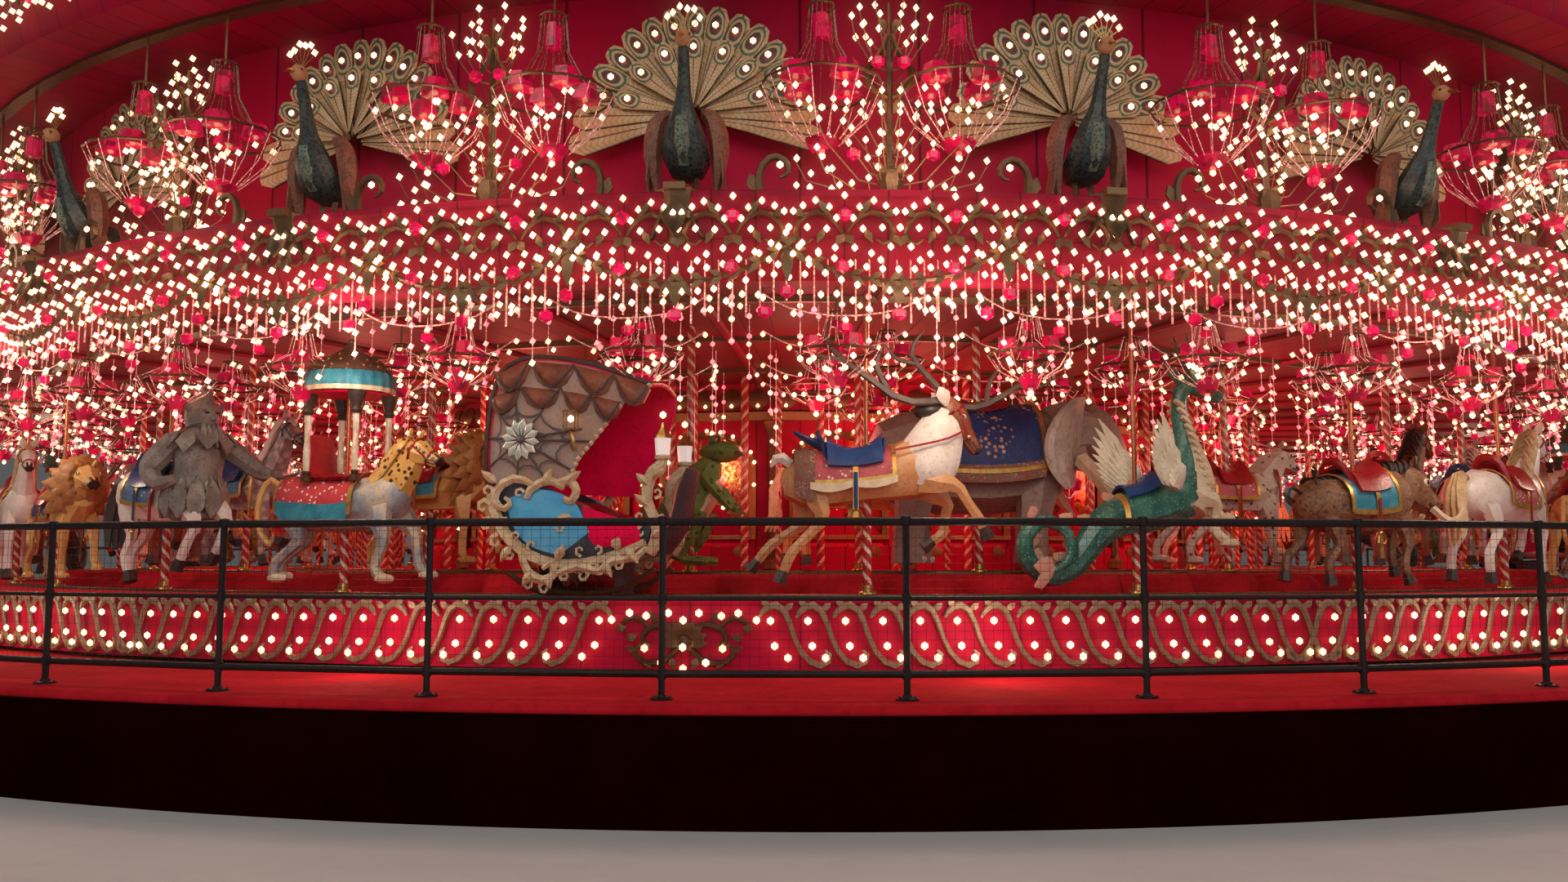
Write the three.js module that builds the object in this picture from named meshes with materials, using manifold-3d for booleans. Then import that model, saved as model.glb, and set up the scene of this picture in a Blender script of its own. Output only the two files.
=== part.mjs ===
// Fairground carousel: a very large indoor menagerie carousel on its carpeted plinth.
// Millimetres, +Z up. The origin is on the ground, on the axis that the carousel turns about.
// An azimuth is in degrees from -Y towards +X, so a figure at azimuth 0 faces +X.
import * as THREE from 'three';
import { mergeVertices } from 'three/addons/utils/BufferGeometryUtils.js';
import Module from 'manifold-3d';

// Fits and facets
const GAP = 0.3;
const RUNNING_GAP = 35;
const RING_SIDES = 36;
const ROOF_SIDES = 24;
const HUB_SIDES = 16;

// Plinth and railing, which stand still
const PLINTH_RADIUS = 14050;
const PLINTH_TOP = 700;
const PLINTH_WALL = 150;
const PLINTH_FLOOR = 60;
const FLOOR_NOSING = 30;
const RAIL_RADIUS = 13800;
const RAIL_BAR = 40;
const RAIL_TOP = 1070;
const RAIL_MIDDLE = 590;
const RAIL_LOW = 150;
const RAIL_SECTIONS = 12;
const RAIL_BAYS = 5;
const RAIL_PHASE = -3.4;

// Turning platform
const PLATFORM_RADIUS = 12200;
const SKIRT_THICKNESS = 50;
const DECK_TOP = 1230;
const DECK_THICKNESS = 60;
const STEP_RADIUS = 10800;
const STEP_TOP = 1390;
const CENTRE_RADIUS = 6200;

// Canopy
const CEILING_BOTTOM = 3650;
const CEILING_TOP = 3700;
const CORNICE_INNER = 12005;
const CORNICE_OUTER = 12350;
const CORNICE_BOTTOM = 3560;
const SHELF_TOP = 4200;
const BOARD = 50;
const DRUM_RADIUS = 11300;
const DRUM_WALL = 100;
const SOFFIT = 6200;
const UPPER_CORNICE_OUTER = 12650;
const UPPER_CORNICE_TOP = 6900;
const ROOF_RADIUS = 12390;
const ROOF_SHELL = 100;
const ROOF_CROWN = 10100;
const CROWN_RADIUS = 1300;
const FINIAL_TIP = 11400;

// Rings of figures, poles, peacocks, candelabra and chandeliers
const QUARTER = 90;
const OUTER_ROW = { radius: 11350, step: 11.25, first: -31.1, floor: DECK_TOP };
const SECOND_ROW = { radius: 10000, step: QUARTER / 6, first: -35.7, floor: STEP_TOP };
const INNER_ROW = { radius: 8000, step: QUARTER / 3, first: -25.6, floor: STEP_TOP };
const FLOOR_RAIL = { width: 120, height: 20 };
const POLE_RADIUS = 38;
const FOOT_CLEARANCE = 90;
const PEACOCKS = { radius: 11800, step: 15, first: -34.2, count: 6 };
const SHELF_RAIL = { width: 160, height: 30 };
const FAN_WIDTH = 1660;
const FAN_TOP = 1330;
const CANDELABRA_TOP = 1650;
const CHANDELIERS = { radius: 12000, step: 15, offset: 5, pairs: 6 };
const CHANDELIER_DROP = 1840;
const CHANDELIER_RADIUS = 450;

const wasm = await Module();
wasm.setup();

const RAD = Math.PI / 180;

function finish(color, roughness, metalness) {
  return new THREE.MeshStandardMaterial({ color, roughness, metalness });
}

const maroonPaint = finish(0x2a0608, 0.7, 0);
const redCarpet = finish(0xb01020, 0.95, 0);
const blackSteel = finish(0x141214, 0.45, 0.6);
const crimsonBoard = finish(0x9c0a18, 0.6, 0);
const agedGilt = finish(0x8a6a3a, 0.45, 0.8);
const paintedHide = finish(0xb8a890, 0.55, 0);
const peacockPaint = finish(0xb08d52, 0.5, 0.1);
const crystal = finish(0xd04050, 0.2, 0.1);

// Solids

function volumeOf(position, index) {
  const at = (i) => new THREE.Vector3().fromArray(position, 3 * i);
  let sum = 0;
  for (let i = 0; i < index.length; i += 3) {
    sum += at(index[i]).dot(at(index[i + 1]).cross(at(index[i + 2])));
  }
  return sum;
}

function toSolid(geometry) {
  const bare = geometry.clone();
  bare.deleteAttribute('normal');
  bare.deleteAttribute('uv');
  const merged = mergeVertices(bare, 0.001);
  const position = Float32Array.from(merged.attributes.position.array);
  const index = [];
  for (let i = 0; i < merged.index.count; i += 3) {
    const [a, b, c] = [0, 1, 2].map((k) => merged.index.getX(i + k));
    if (a !== b && b !== c && c !== a) index.push(a, b, c);
  }
  if (volumeOf(position, index) < 0) index.reverse();
  const triVerts = Uint32Array.from(index);
  return new wasm.Manifold(new wasm.Mesh({ numProp: 3, vertProperties: position, triVerts }));
}

function toGeometry(solid) {
  const mesh = solid.getMesh();
  const geometry = new THREE.BufferGeometry();
  geometry.setAttribute('position', new THREE.BufferAttribute(mesh.vertProperties, 3));
  geometry.setIndex(new THREE.BufferAttribute(mesh.triVerts, 1));
  geometry.computeVertexNormals();
  return geometry;
}

function join(geometries) {
  return geometries.map(toSolid).reduce((whole, piece) => whole.add(piece));
}

// A turned form: profile points are [radius, height], in order round a closed profile.
function turned(profile, sides) {
  const points = profile.map(([r, z]) => new THREE.Vector2(r, z));
  if (profile[0][0] > 0) points.push(points[0].clone());
  return new THREE.LatheGeometry(points, sides).rotateX(Math.PI / 2);
}

// A disc or a many-sided prism standing on a given height.
function disc(radius, bottom, top, sides) {
  return turned([[0, bottom], [radius, bottom], [radius, top], [0, top]], sides);
}

function polar(radius, azimuth) {
  return new THREE.Vector2(radius * Math.sin(azimuth * RAD), -radius * Math.cos(azimuth * RAD));
}

// A curved bar with a rectangular section, whose corners are at the given azimuths.
function arcBar(inner, outer, azimuths, bottom, top) {
  const near = azimuths.map((a) => polar(outer, a));
  const far = azimuths.map((a) => polar(inner, a)).reverse();
  const shape = new THREE.Shape([...near, ...far]);
  return new THREE.ExtrudeGeometry(shape, { depth: top - bottom, bevelEnabled: false })
    .translate(0, 0, bottom);
}

function steps(from, to, count) {
  return Array.from({ length: count + 1 }, (_, i) => from + (to - from) * i / count);
}

// A limb, neck or body: rings of vertices across a path, each with its own radius.
// The rings stay square to the path within its vertical plane, and width scales them sideways.
function limb(path, radii, sides, width = 1) {
  const turn = sides % 2 ? 0.25 * sides : 0.25 * sides + 0.5;
  const position = [];
  const index = [];
  path.forEach((point, i) => {
    const before = path[Math.max(i - 1, 0)];
    const after = path[Math.min(i + 1, path.length - 1)];
    const along = new THREE.Vector2(after[0] - before[0], after[2] - before[2]).normalize();
    for (let k = 0; k < sides; k += 1) {
      const angle = 2 * Math.PI * (k + turn) / sides;
      const up = radii[i] * Math.sin(angle);
      position.push(point[0] - along.y * up, point[1] + radii[i] * width * Math.cos(angle));
      position.push(point[2] + along.x * up);
    }
  });
  const last = (path.length - 1) * sides;
  for (let i = 0; i < path.length - 1; i += 1) {
    for (let k = 0; k < sides; k += 1) {
      const [a, b] = [i * sides + k, i * sides + (k + 1) % sides];
      index.push(a, b, b + sides, a, b + sides, a + sides);
    }
  }
  for (let k = 1; k < sides - 1; k += 1) {
    index.push(0, k + 1, k, last, last + k, last + k + 1);
  }
  const geometry = new THREE.BufferGeometry();
  geometry.setAttribute('position', new THREE.Float32BufferAttribute(position, 3));
  return geometry.setIndex(index);
}

// A flat form cut to an outline of [x, z] points, with its thickness along Y.
function plate(outline, thickness, middle = 0) {
  const shape = new THREE.Shape(outline.map(([x, z]) => new THREE.Vector2(x, z)));
  return new THREE.ExtrudeGeometry(shape, { depth: thickness, bevelEnabled: false })
    .rotateX(Math.PI / 2).translate(0, middle + thickness / 2, 0);
}

function box(length, width, height, x, y, z) {
  return new THREE.BoxGeometry(length, width, height).translate(x, y, z);
}

// Moves a solid made at the origin to its place on a ring, facing along the ring.
function placed(solid, radius, azimuth, height) {
  const place = polar(radius, azimuth);
  return toSolid(toGeometry(solid).rotateZ(azimuth * RAD).translate(place.x, place.y, height));
}

// Plinth

function plinthWall() {
  const azimuths = steps(0, QUARTER, RING_SIDES / 4);
  azimuths[azimuths.length - 1] -= GAP / PLINTH_RADIUS / RAD;
  const inner = PLINTH_RADIUS - PLINTH_WALL;
  return arcBar(inner, PLINTH_RADIUS, azimuths, 0, PLINTH_TOP - PLINTH_FLOOR - GAP);
}

function plinthFloor() {
  return disc(PLINTH_RADIUS + FLOOR_NOSING, PLINTH_TOP - PLINTH_FLOOR, PLINTH_TOP, RING_SIDES);
}

function centrePivot() {
  const foot = PLINTH_TOP + GAP;
  const head = DECK_TOP - DECK_THICKNESS - GAP;
  return turned([[0, foot], [900, foot], [900, foot + 60], [450, foot + 120], [450, head - 100],
    [750, head - 40], [750, head], [0, head]], HUB_SIDES);
}

// One railing section: posts and three rails on a grid of azimuths and heights.
function railingSection() {
  const inner = RAIL_RADIUS - RAIL_BAR / 2;
  const outer = RAIL_RADIUS + RAIL_BAR / 2;
  const bay = 360 / RAIL_SECTIONS / RAIL_BAYS;
  const half = RAIL_BAR / 2 / RAIL_RADIUS / RAD;
  const azimuths = [];
  for (let i = 0; i < RAIL_BAYS; i += 1) azimuths.push(i * bay - half, i * bay + half);
  azimuths.push(RAIL_BAYS * bay - half - GAP / RAIL_RADIUS / RAD);
  const bar = RAIL_BAR / 2;
  const levels = [0, RAIL_LOW - bar, RAIL_LOW + bar, RAIL_MIDDLE - bar, RAIL_MIDDLE + bar,
    RAIL_TOP - 2 * bar, RAIL_TOP].map((z) => z + PLINTH_TOP + GAP);
  const filled = (i, j) => i >= 0 && j >= 0 && i < azimuths.length - 1 && j < levels.length - 1
    && (i % 2 === 0 || j % 2 === 1);
  const position = [];
  for (const azimuth of azimuths) {
    for (const level of levels) {
      for (const radius of [inner, outer]) position.push(...polar(radius, azimuth), level);
    }
  }
  const at = (i, j, side) => 2 * (i * levels.length + j) + side;
  const index = [];
  const quad = (a, b, c, d) => index.push(a, b, c, a, c, d);
  for (let i = 0; i < azimuths.length - 1; i += 1) {
    for (let j = 0; j < levels.length - 1; j += 1) {
      if (!filled(i, j)) continue;
      quad(at(i, j, 1), at(i + 1, j, 1), at(i + 1, j + 1, 1), at(i, j + 1, 1));
      quad(at(i, j, 0), at(i, j + 1, 0), at(i + 1, j + 1, 0), at(i + 1, j, 0));
      if (!filled(i - 1, j)) quad(at(i, j, 0), at(i, j, 1), at(i, j + 1, 1), at(i, j + 1, 0));
      if (!filled(i + 1, j)) {
        quad(at(i + 1, j, 1), at(i + 1, j, 0), at(i + 1, j + 1, 0), at(i + 1, j + 1, 1));
      }
      if (!filled(i, j - 1)) quad(at(i, j, 0), at(i + 1, j, 0), at(i + 1, j, 1), at(i, j, 1));
      if (!filled(i, j + 1)) {
        quad(at(i, j + 1, 1), at(i + 1, j + 1, 1), at(i + 1, j + 1, 0), at(i, j + 1, 0));
      }
    }
  }
  const geometry = new THREE.BufferGeometry();
  geometry.setAttribute('position', new THREE.Float32BufferAttribute(position, 3));
  return geometry.setIndex(index);
}

// Turning platform

function deck() {
  const radius = PLATFORM_RADIUS - SKIRT_THICKNESS - GAP;
  return disc(radius, DECK_TOP - DECK_THICKNESS, DECK_TOP, RING_SIDES);
}

function skirt() {
  const inner = PLATFORM_RADIUS - SKIRT_THICKNESS;
  const foot = PLINTH_TOP + RUNNING_GAP;
  return turned([[inner, foot], [PLATFORM_RADIUS, foot], [PLATFORM_RADIUS, DECK_TOP],
    [inner, DECK_TOP]], RING_SIDES);
}

function step() {
  return disc(STEP_RADIUS, DECK_TOP + GAP, STEP_TOP, RING_SIDES);
}

function centreHousing() {
  const foot = STEP_TOP + GAP;
  const head = CEILING_BOTTOM - GAP;
  return turned([[0, foot], [CENTRE_RADIUS, foot], [CENTRE_RADIUS, foot + 220],
    [CENTRE_RADIUS - 150, foot + 280], [CENTRE_RADIUS - 150, head - 320],
    [CENTRE_RADIUS, head - 220], [CENTRE_RADIUS, head], [0, head]], HUB_SIDES);
}

// Canopy

function ceiling() {
  return disc(CORNICE_INNER - GAP, CEILING_BOTTOM, CEILING_TOP, RING_SIDES);
}

function rimCornice() {
  return turned([[CORNICE_INNER, CORNICE_BOTTOM], [CORNICE_OUTER - 130, CORNICE_BOTTOM],
    [CORNICE_OUTER, CORNICE_BOTTOM + 260], [CORNICE_OUTER, SHELF_TOP],
    [DRUM_RADIUS + GAP, SHELF_TOP], [DRUM_RADIUS + GAP, SHELF_TOP - BOARD],
    [CORNICE_INNER, SHELF_TOP - BOARD]], RING_SIDES);
}

function upperDrum() {
  const inner = DRUM_RADIUS - DRUM_WALL;
  return turned([[inner, CEILING_TOP + GAP], [DRUM_RADIUS, CEILING_TOP + GAP],
    [DRUM_RADIUS, SOFFIT - GAP], [inner, SOFFIT - GAP]], RING_SIDES);
}

function upperCornice() {
  const inner = DRUM_RADIUS - 2 * DRUM_WALL;
  const wall = UPPER_CORNICE_OUTER - 200;
  return turned([[inner, SOFFIT], [UPPER_CORNICE_OUTER - 130, SOFFIT],
    [UPPER_CORNICE_OUTER, SOFFIT + 300], [UPPER_CORNICE_OUTER, UPPER_CORNICE_TOP],
    [wall, UPPER_CORNICE_TOP], [wall, SOFFIT + BOARD], [inner, SOFFIT + BOARD]], RING_SIDES);
}

function roof() {
  const foot = SOFFIT + BOARD + GAP;
  const inner = ROOF_RADIUS - ROOF_SHELL;
  const crownInner = CROWN_RADIUS - ROOF_SHELL;
  return turned([[inner, foot], [ROOF_RADIUS, foot], [ROOF_RADIUS, UPPER_CORNICE_TOP],
    [CROWN_RADIUS, ROOF_CROWN], [crownInner, ROOF_CROWN], [crownInner, ROOF_CROWN - ROOF_SHELL],
    [inner, UPPER_CORNICE_TOP - ROOF_SHELL]], ROOF_SIDES);
}

function roofFinial() {
  const foot = ROOF_CROWN + GAP;
  return turned([[0, foot], [1400, foot], [1400, foot + 100], [950, foot + 180],
    [950, foot + 620], [1200, foot + 700], [180, foot + 1050], [60, FINIAL_TIP],
    [0, FINIAL_TIP]], HUB_SIDES);
}

// Figures. Each stands at its own origin and faces +X, and inward is +Y.

const HORSE = {
  length: 1400, back: 1050, girth: 230, width: 0.85, leg: 70, hoof: 45, stride: 0.18,
  neck: [[480, 1000], [740, 1470]], muzzle: [980, 1330], neckSize: 150, headSize: 90,
};

// Each pair of legs is one wide limb.
function legs(shape) {
  const half = shape.length / 2;
  const hip = shape.back - shape.girth * 1.1;
  return [-1, 1].map((end) => {
    const top = [end * half * 0.66, 0, hip];
    const foot = [end * half * (0.72 + shape.stride), 0, FOOT_CLEARANCE];
    return limb([top, foot], [shape.leg, shape.hoof], 4, shape.girth * shape.width / shape.leg);
  });
}

function quadruped(shape) {
  const half = shape.length / 2;
  const middle = shape.back - shape.girth;
  const trunk = limb([[-half, 0, middle + 40], [half * 0.2, 0, middle],
    [half, 0, middle + 60]],
    [shape.girth * 0.7, shape.girth * 1.2, shape.girth * 0.8], 4, shape.width);
  const path = [...shape.neck, shape.muzzle].map(([x, z]) => [x, 0, z]);
  const sizes = [shape.neckSize * 1.3, shape.headSize * 1.2, shape.headSize * 0.6];
  return [trunk, limb(path, sizes, 3, 0.8), ...legs(shape)];
}

function onPole(parts, floor) {
  const top = CEILING_BOTTOM - floor - GAP;
  return join([...parts, limb([[0, 0, 5], [0, 0, top]], [POLE_RADIUS, POLE_RADIUS], 4)]);
}

function centaur(floor) {
  const steed = { ...HORSE, back: 1080, neck: [[460, 900], [500, 1350]] };
  const body = quadruped({ ...steed, muzzle: [510, 1620], neckSize: 190, headSize: 190 });
  const head = limb([[440, 0, 1680], [760, 0, 1680]], [170, 70], 4);
  const arms = [-1, 1].map((side) => limb([[470, side * 120, 1480], [720, side * 200, 1180]],
    [80, 55], 3));
  return onPole([...body, head, ...arms], floor);
}

function howdahBeast(floor) {
  const body = quadruped({ ...HORSE, back: 1000, neck: [[480, 920], [700, 1300]],
    muzzle: [960, 1180] });
  const seat = box(560, 480, 120, 0, 0, 1030);
  const columns = [[-220, -190], [220, -190], [-220, 190], [220, 190]]
    .map(([x, y]) => limb([[x, y, 1050], [x, y, 1720]], [30, 30], 3));
  const dome = turned([[0, 1700], [360, 1700], [360, 1820], [0, 2120]], 6);
  return onPole([...body, seat, ...columns, dome], floor);
}

// The chariot is a curled tub with a seat well cut into it, under a hood that leans back.
const SEAT_WELL = { x: 130, z: 730, length: 480, width: 560, height: 620 };

function chariot() {
  const tub = plate([[-760, 760], [-700, 420], [-420, 200], [0, 110], [420, 180], [720, 420],
    [700, 800], [420, 700], [-300, 760]], 760);
  const hood = plate([[-760, 700], [-800, 1300], [-640, 1680], [-300, 1740], [180, 1560],
    [60, 1520], [-300, 1560], [-420, 1250], [-360, 700]], 780);
  const well = box(SEAT_WELL.length, SEAT_WELL.width, SEAT_WELL.height, SEAT_WELL.x, 0, SEAT_WELL.z);
  const runner = box(900, 100, 150, 0, 0, 80);
  return join([tub, hood, runner]).subtract(toSolid(well));
}

function antlers(x, z, reach) {
  return [-1, 1].map((side) => limb([[x, side * 25, z - 60], [x - 0.2 * reach, side * 0.3 * reach,
    z + 0.4 * reach], [x + 0.1 * reach, side * 0.42 * reach, z + reach]], [26, 22, 12], 3));
}

function stag(floor) {
  const shape = { ...HORSE, length: 1300, back: 1120, stride: 0.3, girth: 210,
    neck: [[440, 1030], [680, 1440]], muzzle: [900, 1330] };
  return onPole([...quadruped(shape), ...antlers(640, 1470, 620)], floor);
}

function tail(path, sizes) {
  return limb(path.map(([x, z]) => [x, 0, z]), sizes, 3);
}

function dragon(floor) {
  const chest = limb([[-250, 0, 620], [150, 0, 760], [420, 0, 1000]], [240, 250, 150], 4, 0.8);
  const neck = limb([[360, 0, 900], [500, 0, 1300], [560, 0, 1720], [820, 0, 1640]],
    [150, 100, 100, 40], 4, 0.8);
  const wings = [-1, 1].map((side) => plate([[-80, 820], [-520, 1500], [-60, 1380], [180, 900]],
    40, side * 140));
  const fore = [-1, 1].map((side) => limb([[330, side * 110, 800], [700, side * 130, 820]],
    [70, 45], 3));
  const fish = tail([[-150, 640], [-500, 420], [-760, 300], [-900, 480], [-760, 660]],
    [220, 170, 120, 80, 40]);
  return onPole([chest, neck, ...wings, ...fore, fish], floor);
}

function elephant(floor) {
  const shape = { ...HORSE, length: 1900, back: 1620, girth: 480, width: 0.85, leg: 190, hoof: 150,
    stride: 0.05, neck: [[780, 1250], [1130, 1330]], muzzle: [1360, 1050],
    neckSize: 300, headSize: 240 };
  const trunk = limb([[1300, 0, 1150], [1480, 0, 700], [1560, 0, 420]], [120, 80, 50], 4);
  return onPole([...quadruped(shape), trunk], floor);
}

const CAT = {
  ...HORSE, length: 1250, back: 900, girth: 200, neck: [[420, 780], [700, 1010]],
  muzzle: [920, 940], neckSize: 220, headSize: 150,
};

function lion(floor) {
  return onPole(quadruped({ ...CAT, length: 1400, back: 960 }), floor);
}

function cat(floor) {
  return onPole(quadruped(CAT), floor);
}

function tuskedBeast(floor) {
  return onPole(quadruped({ ...HORSE, back: 1020, girth: 260, neck: [[500, 850], [800, 980]],
    muzzle: [1050, 820], neckSize: 230, headSize: 160 }), floor);
}

function seaHorse(floor) {
  const shape = { ...HORSE, length: 1200, back: 1000, neck: [[400, 900], [620, 1370]],
    muzzle: [850, 1240] };
  const curl = tail([[-500, 820], [-760, 700], [-880, 900], [-760, 1080]], [130, 100, 70, 40]);
  return onPole([...quadruped(shape), curl], floor);
}

function frog(floor) {
  const body = limb([[-40, 0, 300], [0, 0, 620], [20, 0, 980]], [230, 260, 170], 4);
  const head = limb([[-120, 0, 1100], [260, 0, 1090]], [170, 120], 4);
  const thighs = [-1, 1].map((side) => limb([[20, side * 130, 420],
    [80, side * 170, FOOT_CLEARANCE]],
    [100, 70], 3));
  return onPole([body, head, ...thighs], floor);
}

function horse(floor) {
  return onPole(quadruped(HORSE), floor);
}


const OUTER_KINDS = [
  [centaur, howdahBeast, chariot, stag],
  [dragon, tuskedBeast, horse, lion],
];
const SECOND_KINDS = [horse, lion, frog, elephant, cat, horse];
const INNER_KINDS = [seaHorse, horse, cat];

// A flat rail bent between each thing that stands on it, so that each stands on a straight.
function standingRail(radius, pitch, first, count, floor, size) {
  const bends = steps(first - pitch / 2, first + (count - 0.5) * pitch, count);
  bends[count] -= GAP / radius / RAD;
  const middle = radius / Math.cos(pitch / 2 * RAD);
  const bottom = floor + GAP;
  return toSolid(arcBar(middle - size.width / 2, middle + size.width / 2, bends, bottom,
    bottom + size.height));
}

// One node of a row: its figures on their poles, on the floor rail that they are bolted to.
function rowSector(row, kinds, first) {
  const rail = standingRail(row.radius, row.step, first, kinds.length, row.floor, FLOOR_RAIL);
  const figures = kinds.map((kind, i) => placed(kind(row.floor), row.radius, first + i * row.step,
    row.floor));
  return toGeometry(figures.reduce((whole, figure) => whole.add(figure), rail));
}

// Peacocks and candelabra

function peacock() {
  const rim = steps(-100, 100, 6).map((a) => [FAN_WIDTH / 2 * Math.sin(a * RAD),
    FAN_TOP - FAN_WIDTH / 2 + FAN_WIDTH / 2 * Math.cos(a * RAD)]);
  const fan = plate([...rim, [120, 260], [-120, 260]], 40).translate(0, 200, 0);
  const body = limb([[200, 0, 560], [-150, 0, 560], [-330, 0, 1060]],
    [110, 200, 50], 4).rotateZ(Math.PI / 2);
  const bracket = box(160, 160, 480, 0, 0, 255);
  return join([fan, body, bracket]);
}

function candelabrum() {
  return toSolid(turned([[0, 10], [50, 10], [330, 1080], [0, CANDELABRA_TOP]], 4));
}

function peacockQuarter() {
  const { radius, step: pitch, first, count } = PEACOCKS;
  let whole = standingRail(radius, pitch / 2, first, 2 * count, SHELF_TOP, SHELF_RAIL);
  for (let i = 0; i < count; i += 1) {
    const azimuth = first + i * pitch;
    whole = whole.add(placed(peacock(), radius, azimuth, SHELF_TOP + GAP));
    whole = whole.add(placed(candelabrum(), radius, azimuth + pitch / 2, SHELF_TOP + GAP));
  }
  return toGeometry(whole);
}

// Chandeliers

function chandelier() {
  const low = -CHANDELIER_DROP;
  return toSolid(turned([[0, -10], [CHANDELIER_RADIUS, low + 520], [110, low], [0, low]], 4));
}

function chandelierQuarter() {
  const { radius, step: pitch, offset, pairs } = CHANDELIERS;
  const top = SOFFIT - GAP;
  const end = PEACOCKS.first + (pairs - 0.5) * pitch - GAP / radius / RAD;
  const bends = steps(PEACOCKS.first - pitch / 2, end, pairs);
  let whole = toSolid(arcBar(radius - 60, radius + 60, bends, top - 40, top));
  for (let i = 0; i < pairs; i += 1) {
    for (const side of [-offset, offset]) {
      whole = whole.add(placed(chandelier(), radius, PEACOCKS.first + i * pitch + side, top));
    }
  }
  return toGeometry(whole);
}

// Assembly

const carousel = new THREE.Group();

function add(name, geometry, material, azimuth = 0) {
  const mesh = new THREE.Mesh(geometry, material);
  mesh.name = name;
  mesh.rotation.z = azimuth * RAD;
  carousel.add(mesh);
}

function addRing(name, geometry, material, count, firstNumber = 1, stride = 1, phase = 0) {
  for (let i = 0; i < count; i += 1) {
    add(`${name}_${firstNumber + i * stride}`, geometry, material, phase + i * 360 / count);
  }
}

addRing('plinth_wall', plinthWall(), maroonPaint, 4);
add('plinth_floor', plinthFloor(), redCarpet);
add('centre_pivot', centrePivot(), blackSteel);
addRing('railing', railingSection(), blackSteel, RAIL_SECTIONS, 1, 1, RAIL_PHASE);

add('platform_deck', deck(), redCarpet);
add('platform_skirt', skirt(), crimsonBoard);
add('platform_step', step(), redCarpet);
add('centre_housing', centreHousing(), crimsonBoard);
add('canopy_ceiling', ceiling(), crimsonBoard);
add('rim_cornice', rimCornice(), agedGilt);
add('upper_drum', upperDrum(), crimsonBoard);
add('upper_cornice', upperCornice(), agedGilt);
add('roof', roof(), crimsonBoard);
add('roof_finial', roofFinial(), agedGilt);

const halfTurn = OUTER_KINDS[0].length * OUTER_ROW.step;
OUTER_KINDS.forEach((kinds, i) => {
  const sector = rowSector(OUTER_ROW, kinds, OUTER_ROW.first + i * halfTurn);
  addRing('outer_row', sector, paintedHide, 4, 1 + i, OUTER_KINDS.length);
});
addRing('second_row', rowSector(SECOND_ROW, SECOND_KINDS, SECOND_ROW.first), paintedHide, 4);
addRing('inner_row', rowSector(INNER_ROW, INNER_KINDS, INNER_ROW.first), paintedHide, 4);
addRing('peacocks', peacockQuarter(), peacockPaint, 4);
addRing('upper_chandeliers', chandelierQuarter(), crystal, 4);

export default carousel;
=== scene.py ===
"""Fairground carousel: finishes, carving, figures and lamps, all in metres with +Z up the turning axis."""

import math

import bpy
import numpy as np
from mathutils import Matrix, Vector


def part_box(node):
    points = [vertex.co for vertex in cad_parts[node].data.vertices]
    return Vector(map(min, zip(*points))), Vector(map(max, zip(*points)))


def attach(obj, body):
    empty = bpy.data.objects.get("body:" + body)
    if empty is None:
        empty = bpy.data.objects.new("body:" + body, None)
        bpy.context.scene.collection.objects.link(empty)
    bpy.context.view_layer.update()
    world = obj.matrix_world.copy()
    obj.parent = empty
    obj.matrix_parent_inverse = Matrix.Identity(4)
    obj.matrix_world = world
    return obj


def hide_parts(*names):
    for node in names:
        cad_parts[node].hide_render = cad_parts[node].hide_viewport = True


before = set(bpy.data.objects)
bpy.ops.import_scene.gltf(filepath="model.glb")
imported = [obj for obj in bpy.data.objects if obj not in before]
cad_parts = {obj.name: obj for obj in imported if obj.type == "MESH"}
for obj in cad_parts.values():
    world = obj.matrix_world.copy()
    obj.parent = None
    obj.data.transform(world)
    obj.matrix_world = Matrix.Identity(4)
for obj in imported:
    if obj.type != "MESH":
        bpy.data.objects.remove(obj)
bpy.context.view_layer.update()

# Driving sizes of the structure

PLINTH_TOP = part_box("plinth_floor")[1].z
DECK_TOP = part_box("platform_deck")[1].z
STEP_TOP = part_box("platform_step")[1].z
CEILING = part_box("canopy_ceiling")[0].z
SHELF_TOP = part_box("rim_cornice")[1].z
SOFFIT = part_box("upper_cornice")[0].z
CORNICE_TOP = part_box("upper_cornice")[1].z
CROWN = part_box("roof")[1].z
PLINTH_RADIUS = 14.05
RAIL_RADIUS = 13.8
PLATFORM_RADIUS = 12.2
STEP_RADIUS = 10.8
HOUSING_RADIUS = 6.2
CORNICE_RADIUS = 12.35
CEILING_RADIUS = 12.0
DRUM_RADIUS = 11.3
UPPER_RADIUS = 12.65
ROOF_RADIUS = 12.39
CROWN_RADIUS = 1.3
OUTER_ROW = 11.35
SECOND_ROW = 10.0
INNER_ROW = 8.0
PEACOCK_RING = 11.8
CHANDELIER_RING = 12.0
FIRST_PEACOCK = -34.2
# GAP keeps surfaces that rest on each other apart. ROUND is the number of sides of the widest turned rings.
GAP = 0.0005
DECK_FOOT = DECK_TOP + GAP
STEP_FOOT = STEP_TOP + GAP
POLE_TOP = CEILING - 0.002
ROUND = 240

# Camera: distance from the axis and eye height in metres, rise and turn to the left in degrees

CAMERA_DISTANCE = 21.2
EYE_HEIGHT = 1.52
CAMERA_RISE = 5.44
CAMERA_TURN = 0.75

camera = bpy.data.objects.new("camera", bpy.data.cameras.new("camera"))
camera.data.lens = 28.6
camera.data.sensor_width = 36.0
camera.data.clip_end = 400.0
camera.location = (0.0, -CAMERA_DISTANCE, EYE_HEIGHT)
camera.rotation_euler = (math.radians(90 + CAMERA_RISE), 0.0, math.radians(CAMERA_TURN))
bpy.context.scene.collection.objects.link(camera)
bpy.context.scene.camera = camera


# Surfaces: points (n, 3), and faces (m, 4) whose last number is -1 on a triangle

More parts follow.
